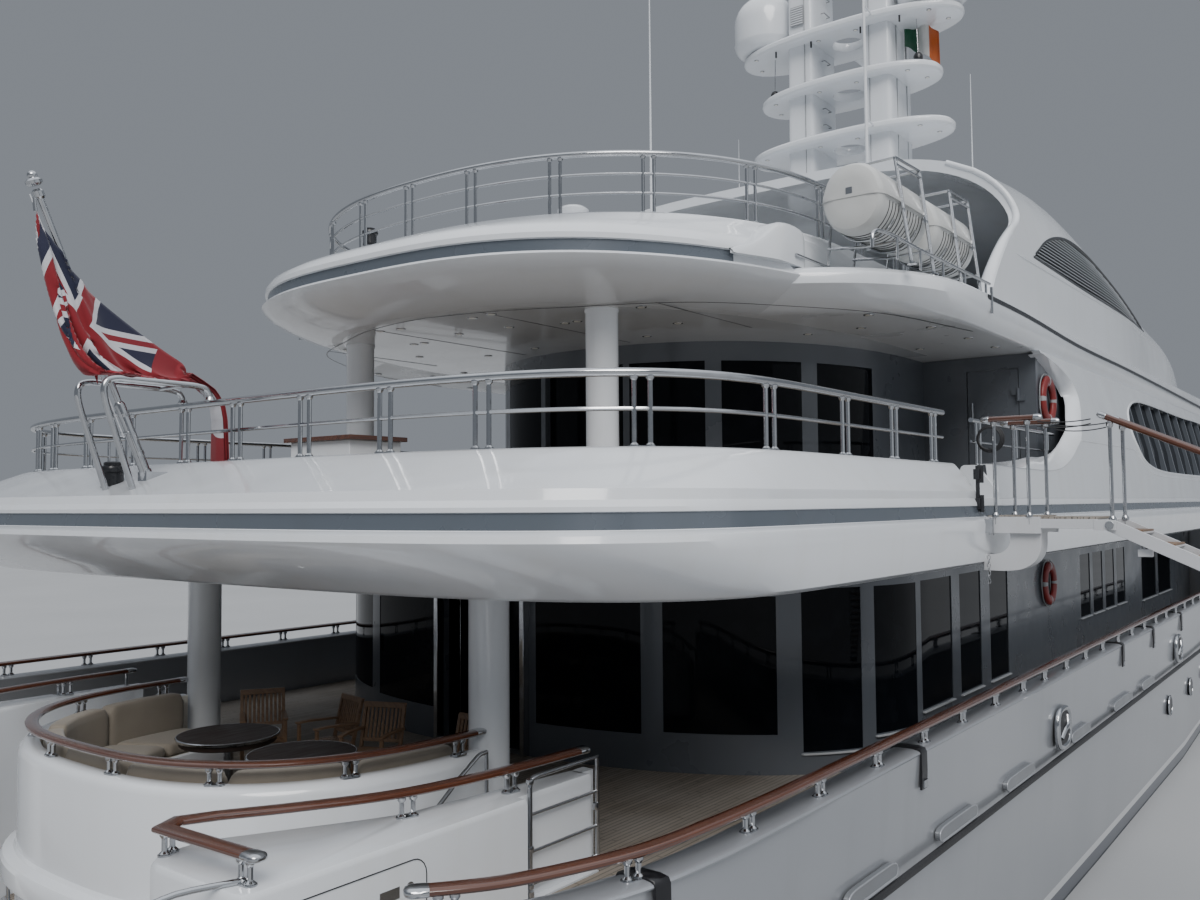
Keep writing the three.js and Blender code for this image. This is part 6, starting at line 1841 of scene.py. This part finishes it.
def courtesy_bunting():
    s = Shader("small_flag_bunting", (0.6, 0.6, 0.6), 0.8)
    u = s.axis("X", s.run)
    green, pale, orange = (0.01, 0.09, 0.045), (0.62, 0.62, 0.6), (0.55, 0.13, 0.03)
    base = s.mix(s.math("GREATER_THAN", u, 0.333), green, pale)
    base = s.mix(s.math("GREATER_THAN", u, 0.667), base, orange)
    base = s.mix(s.span(s.noise(6.0, 4.0), 0.35, 0.7, 0.0, 0.2), base, (0.2, 0.2, 0.2))
    s.bump(s.noise(160.0, 3.0), 0.2, 0.0008)
    return s.finish(Base_Color=base, Roughness=0.8)


def courtesy_flag():
    """A small flag of three upright bands on its halyard between the upper wings."""
    hoist, fly = 0.75, 1.1
    nu, nv = 44, 30
    top = np.array((22.2, -1.33, 16.62))
    points, uvs = [], []
    for j in range(nv + 1):
        v = j / nv
        place = top - np.array((0, 0, hoist * (1 - v)))
        for i in range(nu + 1):
            u = i / nu
            points.append(tuple(place))
            uvs.append((u, v))
            turn = 1.05 * math.sin(2 * math.pi * (1.7 * u + 0.12 * v)) * min(1, 4 * u + 0.2)
            heading = math.radians(-74) + turn
            drop = math.radians(-22 - 16 * u)
            flat = math.cos(drop)
            ahead = (flat * math.cos(heading), flat * math.sin(heading), math.sin(drop))
            place = place + fly / nu * np.array(ahead)
    b = Build()
    b.add(points, grid_faces(nv + 1, nu + 1), 0, uvs)
    obj = piece("courtesy_flag", b, [courtesy_bunting()], slot="cloth", smooth=80)
    thicken(obj, 0.001)
    b = Build()
    low, high = WINGS[1][0] + WING_DEPTH, WINGS[2][0] + 2 * WING_DEPTH
    b.tube([(22.2, -1.32, low), (22.2, -1.325, high)], 0.006, 0, 6)
    piece("courtesy_halyard", b, [TAPE], slot="cloth")


# Life rafts, lifebuoys and small fittings


# foot and top of each frame's outer post
RAFT_FRAMES = [
    ((11.88, 5.25, 8.5), (12.11, 4.98, 9.92)),
    ((12.63, 5.25, 8.5), (12.92, 4.98, 9.95)),
    ((13.69, 5.25, 8.5), (14.06, 4.98, 9.96)),
    ((14.49, 5.25, 8.5), (14.82, 4.98, 9.98)),
]
RAFT_PLACES = (12.22, 14.08)
RAFT_Y, RAFT_Z, RAFT_HALF = 4.68, 9.33, 0.82
# share of the half length, size of the section there
RAFT_ENDS = ((-1, 0.5), (-0.985, 0.72), (-0.95, 0.9), (-0.9, 0.97), (-0.84, 1.0), (-0.3, 1.0), (0.3, 1.0))
RAFT_UPPER = [(-0.395, 0.02), (-0.37, 0.12), (-0.31, 0.26), (-0.22, 0.355), (-0.12, 0.405), (0, 0.42)]
RAFT_LOWER = [(0.385, -0.02), (0.37, -0.14), (0.315, -0.265), (0.22, -0.37), (0.11, -0.42), (0, -0.43)]
RAFT_RAIL = [(10.86, 5.18, 8.52), (10.88, 5.18, 8.68), (10.98, 5.19, 8.74), (12.5, 5.22, 8.75)]
RAFT_RAIL += [(14.9, 5.24, 8.76)]


def raft(build, x, s):
    """A raft in its shell: ribbed lower half, flange, straps and a release."""
    y, z, half = s * RAFT_Y, RAFT_Z, RAFT_HALF
    section = RAFT_UPPER + [(-w, h) for w, h in reversed(RAFT_UPPER[:-1])]
    section += RAFT_LOWER + [(-w, h) for w, h in reversed(RAFT_LOWER[:-1])]
    section = curve(section, 3, closed=True)
    rings = [[(x + t * half, y + w * grow, z + h * grow) for w, h in section] for t, grow in RAFT_ENDS]
    rings += [[(2 * x - px, py, pz) for px, py, pz in ring] for ring in reversed(rings[:5])]
    build.skin(rings)
    flange = [(x + u, y + v) for u, v in round_points(48, 0.83, 0.42, 0.3)]
    build.plate(flange, "z", z - 0.02, z + 0.02)
    for k in range(12):
        at = x - 0.52 + 0.095 * k
        build.tube([(at, y + w * 1.006, z + h * 1.006) for w, h in section if h < -0.03], 0.006, 2, 6)
    build.box(x - half - 0.012, x - half + 0.03, y - 0.04, y + 0.04, z + 0.02, z + 0.1, 1)
    build.lathe([(0.04, -0.012), (0.04, 0.012)], (x + 0.45, y + s * 0.44, z - 0.1), "y", 1, 16)
    for at in (x - 0.34, x + 0.4):
        build.tube([(at, y + w * 1.04, z + h * 1.04) for w, h in section if h < -0.2], 0.018, 1, 10)


def raft_frame(build, foot, top, s):
    """Two thin outer posts with clamps, a hoop over the raft and a bar under it."""
    (fx, fy, fz), (tx, ty, tz) = foot, top
    for dx in (-0.024, 0.024):
        build.tube([(fx + dx, fy, fz), (tx + dx, ty, tz)], 0.016, 1, 10)
    for t in (0.02, 0.5, 0.98):
        px, py, pz = (p + (q - p) * t for p, q in zip(foot, top))
        build.box(px - 0.04, px + 0.04, py - 0.012, py + 0.012, pz - 0.018, pz + 0.018, 1)
    hoop = [top, (tx, s * 4.3, tz - 0.02), (tx - 0.05, s * 4.2, tz - 0.08), (fx, s * 4.16, 8.52)]
    build.tube(hoop, 0.018, 1)
    build.tube([(fx, s * 4.17, 8.85), (fx, s * RAFT_Y, 8.8), (fx, s * 5.2, 8.82)], 0.018, 1, 8)
    for py in (s * 4.16, fy):
        build.lathe([(0.06, 0), (0.06, 0.015), (0.03, 0.03)], (fx, py, DECK_SUN + LIFT), "z", 1, 16)


def life_rafts():
    for side, s in SIDES:
        b = Build()
        for x in RAFT_PLACES:
            raft(b, x, s)
        frames = [[(x, s * y, z) for x, y, z in ends] for ends in RAFT_FRAMES]
        for foot, top in frames:
            raft_frame(b, foot, top, s)
        tops = [top for _, top in frames]
        for a, c in (tops[:2], tops[2:]):
            b.rod(a, c, 0.018, 1)
            b.rod(*[(x - 0.02, y + s * 0.02, z - 0.1) for x, y, z in (a, c)], 0.018, 1)
        # low rail along the outer edge, a bar along the inner one
        b.tube(curve([(x, s * y, z) for x, y, z in RAFT_RAIL], 5), 0.022, 1, 12)
        for x in (11.5, 12.25, 13.05, 13.9, 14.8):
            b.rod((x, s * 5.22, DECK_SUN), (x, s * 5.22, 8.75), 0.017, 1, 10)
        b.rod((11.0, s * 4.17, 8.62), (14.9, s * 4.17, 8.62), 0.018, 1, 10)
        name = f"life_rafts_{side}"
        piece(f"{name}_fine", b, [RAFT, STEEL, WEBBING], nodes=[name], slot="raft_shell", smooth=30)


def lifebuoy(build, centre, radius):
    """A ring in the fore-and-aft plane with four bands and a grab line."""
    cx, cy, cz = centre
    thick = 0.085
    count = 64
    rings = []
    for c, q in round_points(count, 1.0, 1.0):
        section = round_points(14, thick, thick * 0.6)
        rings.append([(cx + (radius + u) * c, cy + v, cz + (radius + u) * q) for u, v in section])
    build.rings(rings, lambda r, i: 1 if r % 16 in (0, 15) else 0, (None, None), looped=True)
    line = []
    for k in range(96):
        a = 2 * math.pi * k / 96
        out = radius + thick + 0.01 + 0.035 * abs(math.sin(2 * a))
        line.append((cx + out * math.cos(a), cy + 0.02, cz + out * math.sin(a)))
    build.tube(line, 0.009, 1, 6, looped=True)


# (x, y) of the lights in the two soffits; those of the sun deck also stand mirrored
SUN_LIGHTS = [(9.11, 0.66), (10.14, 1.31), (9.89, 0.36), (9.07, -1.02), (9.91, -0.55), (10.13, -1.52)]
SUN_LIGHTS += [(9.87, -2.7), (11.08, -2.43), (11.53, 0.41), (11.69, -1.52), (12.1, -4.6), (12.98, -4.12)]
SUN_LIGHTS += [(13.51, -4.88), (14.79, -4.96), (15.94, -4.99), (15.4, -4.03), (12.98, -3.34)]
UPPER_LIGHTS = [(6.6, 0.0), (6.9, 1.9), (6.9, -1.9), (8.4, 0.9), (8.4, -0.9), (8.3, 3.4), (8.3, -3.4)]
UPPER_LIGHTS += [(7.2, 4.9), (7.2, -4.9), (9.4, 4.4), (9.4, -4.4)]
UPPER_LIGHTS += [(11 + 2.2 * i, s * 5.4) for i in range(10) for s in (1, -1)]
SOFFIT_GROOVE = [(8.75, -0.19), (8.95, -1.15), (9.33, -2.05), (9.98, -3.32), (10.95, -4.11), (12.08, -4.76)]
SOFFIT_GROOVE += [(14.23, -5.2)]
LANTERN = [(0.105, 0.0), (0.11, 0.02), (0.105, 0.05), (0.105, 0.17), (0.125, 0.18), (0.13, 0.21)]
LANTERN += [(0.12, 0.235), (0.085, 0.245), (0.085, 0.275), (0.06, 0.285), (0.02, 0.285)]
LANTERN_FOOT = [(4.92, 5.755), (4.95, 5.79), (5.38, 5.93), (5.40, 5.90), (5.38, 5.84), (4.95, 5.72)]
SMALL_DOME = [(0.02, 0.0), (0.2, 0.005), (0.23, 0.05), (0.23, 0.14), (0.18, 0.18), (0.05, 0.2)]
# x, y, foot and top of each whip aerial
WHIPS = ((12.0, -1.4, 8.6, 13.4), (24.0, -2.2, 11.2, 15.6), (23.0, 3.4, 11.3, 15.0), (23.4, 3.3, 11.3, 14.0))


def lifebuoys():
    b = Build()
    for s in (1, -1):
        lifebuoy(b, (18.95, s * 4.91, 4.24), 0.295)
        b.box(18.91, 18.99, s * 4.85, s * 4.93, 4.5, 4.6, 2)
        lifebuoy(b, (17.45, s * 5.35, 7.28), 0.31)
        b.box(17.41, 17.49, s * 5.285, s * 5.4, 6.92, 6.96, 2)
    piece("lifebuoys", b, [RED, GREY, STEEL], slot="black_paint", smooth=60)


def soffits():
    """Round lights in the undersides of the two upper decks, and the grooves between their panels."""
    b = Build()
    mirrored = [(x, -y) for x, y in SUN_LIGHTS if abs(y) > 0.6]
    for spots, z in ((SUN_LIGHTS + mirrored, SOFFIT_SUN), (UPPER_LIGHTS, SOFFIT_UPPER)):
        for x, y in spots:
            centre = (x, y, z - LIFT)
            b.lathe([(0.062, -0.006), (0.068, 0.0), (0.068, 0.004)], centre, "z", 0, 20)
            b.lathe([(0.045, -0.008), (0.045, 0.0)], centre, "z", 1, 16)
    piece("downlights", b, [STEEL, LAMP], slot="stainless")
    b = Build()
    line = curve(SOFFIT_GROOVE, 8)
    line = across(line[1:]) + line
    z = SOFFIT_SUN - 0.0035
    b.sweep(lifted(line[::-1], z), [(-0.008, 0), (0.008, 0), (0.008, 0.004), (-0.008, 0.004)])
    for y in (-3.0, -1.0, 1.0, 3.0):
        b.box(9.75 if abs(y) > 2 else 8.95, 12.0, y - 0.006, y + 0.006, z, SOFFIT_SUN + 0.001)
    piece("soffit_grooves", b, [BLACK], slot="black_paint")


def lanterns():
    b = Build()
    for x, y, z, size in ((9.5, 1.75, 9.36, 0.9), (5.13, 0.45, 5.84, 1.0)):
        b.lathe([(r * size, h * size) for r, h in LANTERN], (x, y, z), "z", 0, 28)
        b.rod((x, y, z - 0.3), (x, y, z), 0.018, 1, 8)
    # sloping foot of the lantern beside the ensign staff
    b.plate(LANTERN_FOOT, "y", 0.33, 0.57)
    b.lathe(SMALL_DOME, (11.5, -0.36, 9.8), "z", 2, 32)
    b.rod((11.5, -0.36, 8.6), (11.5, -0.36, 9.82), 0.03, 1, 12)
    for x, y, z0, z1 in WHIPS:
        b.tube([(x, y, z0), (x, y, z0 + 0.5), (x, y, z1)], 0.02, 2, 8, radii=[0.03, 0.02, 0.008])
    piece("deck_lanterns", b, [BLACK, STEEL, WHITE], slot="black_paint")


def cabinet():
    b = Build()
    b.box(8.3, 9.15, 0.7, 1.9, DECK_UPPER + LIFT, 6.5)
    for z in (5.85, 6.15):
        b.box(8.285, 8.301, 0.74, 1.86, z, z + 0.012, 1)
    b.box(8.24, 9.2, 0.62, 1.98, 6.5, 6.56, 2)
    b.rod((8.27, 1.2, 6.3), (8.27, 1.4, 6.3), 0.012, 1)
    piece("upper_cabinet", b, [WHITE, STEEL, VARNISH], slot="white_paint", bevel=0.02)


def coil():
    """Coiled black line hung over the rail beside the boarding opening."""
    b = Build()
    for k, r in enumerate((0.165, 0.152, 0.139)):
        ring = [(13.18 - 0.022 * k, -5.72 + u, 6.45 + v) for u, v in round_points(36, r, r)]
        b.tube(ring, 0.012, 0, 8, looped=True)
    b.box(13.13, 13.2, -5.735, -5.705, 6.27, 6.33, 0)
    piece("hose_coil", b, [RUBBER], slot="black_paint")


def opening_rails():
    """Rail inside the side opening."""
    for side, s in SIDES:
        b = Build()
        y = s * 5.52
        for z, radius in ((6.42, 0.017), (6.69, 0.03)):
            b.tube([(13.05, y, z), (15, y, z), (17.22, y - s * 0.06, z + 0.02)], radius, 0, 12)
        for x in (13.25, 13.4, 14.85, 15.0, 16.5, 16.65):
            foot = 6.11 if x < 15.9 else 6.2
            b.rod((x, y, foot), (x, y, 6.68), 0.02, 0, 10)
            b.lathe([(0.036, 0), (0.036, 0.02), (0.02, 0.035)], (x, y, foot), "z", 0, 12)
        piece(f"side_opening_rail_{side}", b, [STEEL], slot="stainless")


BULWARK_ROLL = curve([(3.92, 5.08), (4.08, 5.36), (4.5, 5.6), (5.2, 5.82), (6.0, 5.905), (7.0, 5.92)], 8)
BULWARK_ROLL += [(8, 5.92), (12, 5.92), (20, 5.92), (31.2, 5.92)]
RUBBING_STRIP = [(6.0, 6.052), (8, 6.06), (12, 6.06), (20, 6.06), (30, 6.06), (34, 6.06)]
FREEING_PORTS = ((8.0, 9.05), (10.15, 11.3), (12.38, 13.52), (15.4, 16.45), (18.1, 19.5), (20.4, 21.5))
FAIRLEADS = ((14.86, 2.62), (24.13, 2.62))
HORN = [(-0.16, 6.08, -0.12), (-0.05, 6.1, -0.02), (0.1, 6.1, 0.02), (0.17, 6.08, 0.14)]
STRAPS = (5.35, 9.7, 18.8, 21.5, 24.6)
# outward from the bulwark's middle, height
STRAP_LINE = [(-0.158, 3.05), (-0.156, 3.27), (-0.14, 3.305), (-0.08, 3.318), (0.08, 3.318), (0.14, 3.305)]
STRAP_LINE += [(0.156, 3.27), (0.158, 3.1), (0.15, 2.93)]
PORTHOLES = [23.5 + 2.6 * i for i in range(4)]
HULL_LOOKS = [RUBBER, BLACK, STEEL, STRAP, DARK_SILVER, SILVER]


def freeing_port(build, s, x0, x1):
    """A shaded pocket in the hull's side with a rounded rim and a lip along its foot."""
    middle, half = (x0 + x1) / 2, (x1 - x0) / 2
    outline = [(middle + u, 2.36 + v) for u, v in round_points(28, half, 0.075, 0.3, 0.7)]
    build.plate(outline, "y", *sorted((s * 6.0, s * 6.0545)), 4)
    build.tube([(x, s * 6.05, z) for x, z in outline], 0.008, 5, 8, looped=True)
    build.tube([(x0 + 0.06, s * 6.052, 2.30), (x1 - 0.06, s * 6.052, 2.30)], 0.014, 5, 8)


def fairlead(build, s, x, z):
    """A steel ring round a black plate that is painted shade for the hollow, with a horn across it."""
    ring = [(x + u, z + v) for u, v in round_points(40, 0.3, 0.25, 0.7)]
    build.tube([(px, s * 6.07, pz) for px, pz in ring], 0.04, 2, 14, looped=True)
    # painted shade: a flat black plate inside the ring stands for the shaded hollow
    build.plate(ring, "y", *sorted((s * 6.03, s * 6.088)), 0)
    horn = [(x + dx, s * y, z + dz) for dx, y, dz in HORN]
    build.tube(curve(horn, 4), 0.035, 2, 10)


def strap(build, s, x):
    """A black strap over the bulwark's roll, with a steel end."""
    rings = []
    for at in (x - 0.07, x - 0.062, x + 0.062, x + 0.07):
        edge = float(np.interp(at, *zip(*BULWARK_ROLL)))
        lift = 0.004 if abs(at - x) < 0.065 else -0.004
        ring = []
        for w, z in STRAP_LINE:
            ring.append((at, s * (edge + w + math.copysign(lift, w)), z + lift * (z > 3.29)))
        for w, z in reversed(STRAP_LINE):
            ring.append((at, s * (edge + w * 0.9), z - 0.012 * (z > 3.2)))
        rings.append(ring)
    build.skin(rings, 3)
    edge = float(np.interp(x, *zip(*BULWARK_ROLL)))
    build.box(x - 0.05, x + 0.05, s * (edge + 0.15), s * (edge + 0.175), 2.95, 3.02, 2)


def hull_fittings():
    for side, s in SIDES:
        b = Build()
        b.sweep(lifted([(x, s * y) for x, y in BULWARK_ROLL], 3.272), oval(0.295, 0.07, 2.4, 18))
        piece(f"bulwark_top_{side}", b, [SILVER], slot="silver_paint")
        b = Build()
        b.sweep(lifted([(x, s * y) for x, y in RUBBING_STRIP], 2.24), oval(0.06, 0.07, 2.6, 14), 0)
        for x0, x1 in FREEING_PORTS:
            freeing_port(b, s, x0, x1)
        for x, z in FAIRLEADS:
            fairlead(b, s, x, z)
        for x in STRAPS:
            strap(b, s, x)
        piece(f"hull_side_fittings_{side}", b, HULL_LOOKS, slot="black_paint", smooth=50)
        # flush portholes below the main deck
        b = Build()
        for x in PORTHOLES:
            ring = [(x + u, 1.55 + v) for u, v in round_points(28, 0.19, 0.19)]
            b.tube([(px, s * 5.985, pz) for px, pz in ring], 0.016, 0, 10, looped=True)
            b.plate(ring, "y", *sorted((s * 5.9, s * 5.99)), 1)
        piece(f"portholes_{side}", b, [STEEL, GLASS], slot="stainless")


BOLLARD = [(0.13, 0), (0.09, 0.03), (0.09, 0.3), (0.14, 0.34), (0.13, 0.38), (0.02, 0.39)]
WINDLASS = [(0.3, 0), (0.3, 0.05), (0.2, 0.1), (0.16, 0.3), (0.24, 0.42), (0.22, 0.5), (0.02, 0.52)]
FOREDECK_EDGE = [(43.2, 5.2), (44.6, 5.0), (49, 4.15), (53, 2.95), (56.5, 1.5), (58.0, 0.5)]


def foredeck_gear():
    """A cleat on the port wing, then bollards, windlasses and hatches on the foredeck."""
    b = Build()
    x, y, z = 4.9, 3.62, 3.282
    for dx in (-0.09, 0.09):
        b.lathe([(0.04, 0), (0.032, 0.02), (0.028, 0.09)], (x + dx, y, z), "z", 0, 14)
    bar = ((-0.2, 0.115), (-0.09, 0.095), (0.09, 0.095), (0.2, 0.115))
    b.tube([(x + dx, y, z + dz) for dx, dz in bar], 0.024, 0, 12)
    deck = FOREDECK
    for s in (1, -1):
        for x in (46.5, 50.5):
            y = s * (3.9 - (x - 46.5) * 0.2)
            for dx in (-0.2, 0.2):
                b.lathe(BOLLARD, (x + dx, y, deck), "z", 0, 24)
            b.box(x - 0.4, x + 0.4, y - 0.17, y + 0.17, deck, deck + 0.03)
        y = s * 0.75
        b.lathe(WINDLASS, (53.2, y, deck), "z", 0, 32)
        b.box(52.3, 53.0, y - 0.25, y + 0.25, deck, deck + 0.45, 1)
        b.box(53.4, 56.4, y - 0.09, y + 0.09, deck, deck + 0.06)
    b.box(47.3, 48.5, -0.6, 0.6, deck, deck + 0.22, 1)
    b.box(47.36, 48.44, -0.54, 0.54, deck + 0.22, deck + 0.25, 2)
    b.box(44.4, 45.6, -2.4, 2.4, deck, deck + 0.5, 1)
    piece("foredeck_gear", b, [STEEL, WHITE, GLASS], slot="stainless", bevel=0.012)
    b = Build()
    b.plate(FOREDECK_EDGE + across(FOREDECK_EDGE), "z", deck, deck + 0.02)
    piece("foredeck_teak", b, [DECK_TEAK], slot="teak")


MAIN_PLAN = (9.95, 3.3, 4.85, 2.3)
UPPER_PLAN = (12.1, 4.4, 3.5, 2.3)
# panes: start and end in y, foot, top
MAIN_FRONT_PANES = [(0.92, 2.38, 2.88, 4.5), (2.64, 3.83, 2.92, 4.55)]
UPPER_FRONT_PANES = [(0.85, 1.89, 5.75, 7.72), (2.08, 2.88, 5.75, 7.72), (3.01, 3.38, 5.75, 7.72)]
# panes: start and end in x, foot, top
MAIN_SIDE_PANES = [(11.2, 11.84, 2.71, 4.64), (12.03, 12.87, 2.85, 4.64), (13.02, 14.14, 3.0, 4.65)]
MAIN_SIDE_PANES += [(14.47, 15.39, 3.0, 4.65), (15.81, 16.72, 3.0, 4.64), (21.4, 22.2, 3.42, 4.62)]
MAIN_SIDE_PANES += [(x, x + 0.85, 3.42, 4.62) for x in (22.45, 23.55, 24.65)]
MAIN_SIDE_PANES += [(27.4, 29.2, 3.3, 4.62), (29.5, 31.3, 3.3, 4.62)]


def front_x(plan, y):
    tip, reach, half, power = plan
    c = math.sqrt(max(0.0, 1 - (abs(y) / half) ** power))
    return tip + reach * (1 - c ** (2 / power))


def side_y(plan, x):
    tip, reach, half, power = plan
    c = max(0.0, 1 - (x - tip) / reach) ** (power / 2)
    return half * (1 - c * c) ** (1 / power)


def side_band(build, s, x0, x1, section):
    """A strip along the main house's side with a section of (outward, z)."""
    rings = []
    for i in range(9):
        x = x0 + (x1 - x0) * i / 8
        y = side_y(MAIN_PLAN, x)
        rings.append([(x, s * (y + out), z) for out, z in section])
    build.skin(rings)


def panes():
    """Tinted panes a little way into the window openings, and a sill under each side one."""
    near, far = 0.012, 0.03
    b = Build()
    for plan, windows in ((MAIN_PLAN, MAIN_FRONT_PANES), (UPPER_PLAN, UPPER_FRONT_PANES)):
        for y0, y1, low, high in windows:
            for s in (1, -1):
                rings = []
                for i in range(17):
                    y = y0 + (y1 - y0) * i / 16
                    section = ((near, low), (far, low), (far, high), (near, high))
                    rings.append([(front_x(plan, y) + deep, s * y, z) for deep, z in section])
                b.skin(rings)
    for x0, x1, low, high in MAIN_SIDE_PANES:
        for s in (1, -1):
            side_band(b, s, x0, x1, ((-far, low), (-near, low), (-near, high), (-far, high)))
    piece("window_panes", b, [GLASS], slot="dark_glass")
    b = Build()
    for x0, x1, low, _ in MAIN_SIDE_PANES:
        sill = [(-0.004, low - 0.035), (0.035, low - 0.035), (0.035, low - 0.012), (-0.004, low - 0.012)]
        for s in (1, -1):
            side_band(b, s, x0 - 0.02, x1 + 0.02, sill)
    piece("window_sills", b, [SLAT], slot="dark_grey_paint", bevel=0.004)


def house_fittings():
    """A steel frame round the saloon doors, handles, door edges, straps of the missing gate."""
    b = Build()
    for s in (1, -1):
        b.box(9.86, 9.99, *sorted((s * 0.75, s * 0.82)), DECK_MAIN + LIFT, 4.62)
    b.box(9.861, 9.989, -0.75, 0.75, 4.585, 4.645)
    piece("main_house_door_frame", b, [STEEL], slot="stainless", bevel=0.006)
    for side, s in SIDES:
        b = Build()
        x, y = 16.87, s * 4.33
        b.rod((x, y, 6.95), (x, y, 7.25), 0.016)
        for z in (7.0, 7.2):
            b.rod((x, y, z), (16.965, y, z), 0.012)
        door = f"upper_side_door_{side}"
        piece(f"{door}_handle", b, [STEEL], door, slot="stainless")
        b = Build()
        b.box(10.238, 10.264, s * 0.06, s * 0.085, 3.0, 4.0)
        for y0, y1 in ((0.012, 0.05), (0.7, 0.748)):
            b.box(10.257, 10.313, s * y0, s * y1, 2.46, 4.55)
        door = f"saloon_door_{side}"
        piece(f"{door}_stile", b, [STEEL], door, slot="stainless", bevel=0.004)
    # hinge straps of the boarding opening's gate and the post they close on
    b = Build()
    for z in (5.64, 5.98):
        b.box(12.03, 12.12, -5.93, -5.86, z - 0.06, z + 0.06, 1)
        b.rod((12.1, -5.93, z - 0.1), (12.1, -5.93, z + 0.1), 0.028, 1, 12)
    b.box(12.08, 12.11, -5.91, -5.87, 5.55, 6.08, 1)
    piece("boarding_gate_straps", b, [STEEL, BLACK], slot="stainless", bevel=0.004)


KEPT = [
    ("hull", SILVER, "silver_paint"),
    ("main_deck_planking", DECK_TEAK, "teak"),
    ("upper_deck_planking", DECK_TEAK, "teak"),
    ("main_house", DARK_WALL, "dark_grey_paint"),
    ("upper_aft_wall", DARK_WALL, "dark_grey_paint"),
    ("main_house_glass", GLASS, "dark_glass"),
    ("upper_house_glass", GLASS, "dark_glass"),
    ("upper_aft_glass", GLASS, "dark_glass"),
]
for side, _ in SIDES:
    KEPT.append((f"saloon_door_{side}", GLASS, "dark_glass"))
    KEPT.append((f"upper_side_door_{side}", DARK_WALL, "dark_grey_paint"))
    KEPT.append((f"propeller_{side}", BRONZE, "bronze"))
    KEPT.append((f"rudder_{side}", SILVER, "silver_paint"))


# Studio


def studio():
    reach = 160
    corners = [(-reach, -reach, 0), (reach, -reach, 0), (reach, reach, 0), (-reach, reach, 0)]
    floor = bpy.data.meshes.new("floor")
    floor.from_pydata(corners, [], [(0, 1, 2, 3)])
    s = Shader("studio_floor", (0.38, 0.385, 0.39), 0.65)
    tone = s.span(s.noise(0.25, 4.0), 0.3, 0.7)
    s.bump(s.noise(8.0, 4.0), 0.05, 0.002)
    floor.materials.append(s.finish(Base_Color=s.mix(tone, (0.36, 0.365, 0.37), (0.39, 0.395, 0.40))))
    linked("floor", floor)
    sky()
    lights = (
        ("key", (-26, -24, 34), 2.2, 34, (1.0, 0.98, 0.96)),
        ("fill", (10, -40, 18), 0.3, 60, (0.92, 0.96, 1.0)),
    )
    for name, place, strength, angle, color in lights:
        lamp = bpy.data.lights.new(name, "SUN")
        lamp.energy = strength
        lamp.angle = math.radians(angle)
        lamp.color = color
        obj = linked(name, lamp)
        obj.location = place
        aim = Vector((0, 0, 2)) - Vector(place)
        obj.rotation_euler = aim.to_track_quat("-Z", "Y").to_euler()


def sky():
    """Grey at the horizon, bright overhead, as under a large softbox."""
    world = bpy.data.worlds.new("studio")
    bpy.context.scene.world = world
    world.use_nodes = True
    nodes, links = world.node_tree.nodes, world.node_tree.links
    coords = nodes.new("ShaderNodeTexCoord")
    split = nodes.new("ShaderNodeSeparateXYZ")
    ramp = nodes.new("ShaderNodeValToRGB")
    links.new(coords.outputs["Generated"], split.inputs[0])
    links.new(split.outputs[2], ramp.inputs[0])
    stops = ((0.5, (0.24, 0.26, 0.29, 1)), (0.85, (1.25, 1.31, 1.4, 1)))
    for stop, (position, color) in zip(ramp.color_ramp.elements, stops):
        stop.position = position
        stop.color = color
    links.new(ramp.outputs[0], nodes["Background"].inputs["Color"])
    nodes["Background"].inputs["Strength"].default_value = 0.95


def camera():
    """The photo's own point of view, fitted to the decks, columns and rails seen in it."""
    yaw, pitch, roll = (math.radians(a) for a in (37.4, 2.92, -0.40))
    f = Vector((math.cos(pitch) * math.cos(yaw), math.cos(pitch) * math.sin(yaw), math.sin(pitch)))
    r = Vector((math.sin(yaw), -math.cos(yaw), 0))
    u = r.cross(f)
    right = r * math.cos(roll) + u * math.sin(roll)
    up = -r * math.sin(roll) + u * math.cos(roll)
    data = bpy.data.cameras.new("camera")
    data.lens = 31.29
    data.sensor_width = 36
    data.clip_start = 0.05
    data.clip_end = 500
    place = Matrix((right, up, -f)).transposed().to_4x4()
    place.translation = Vector((-15.1, -4.885, 2.8375))
    obj = linked("camera", data)
    obj.matrix_world = place
    bpy.context.scene.camera = obj


for node, look, slot in KEPT:
    dress(node, look)
upper_deck()
sun_deck()
rails()
upper_rails()
settee_block()
settee_cushions()
stern_wings()
treads()
chairs()
tables()
columns()
gates()
landing()
ladder()
staff()
ensign()
upper_house()
canopy()
mast()
life_rafts()
lifebuoys()
soffits()
lanterns()
cabinet()
coil()
opening_rails()
hull_fittings()
foredeck_gear()
house_fittings()
panes()
studio()
camera()
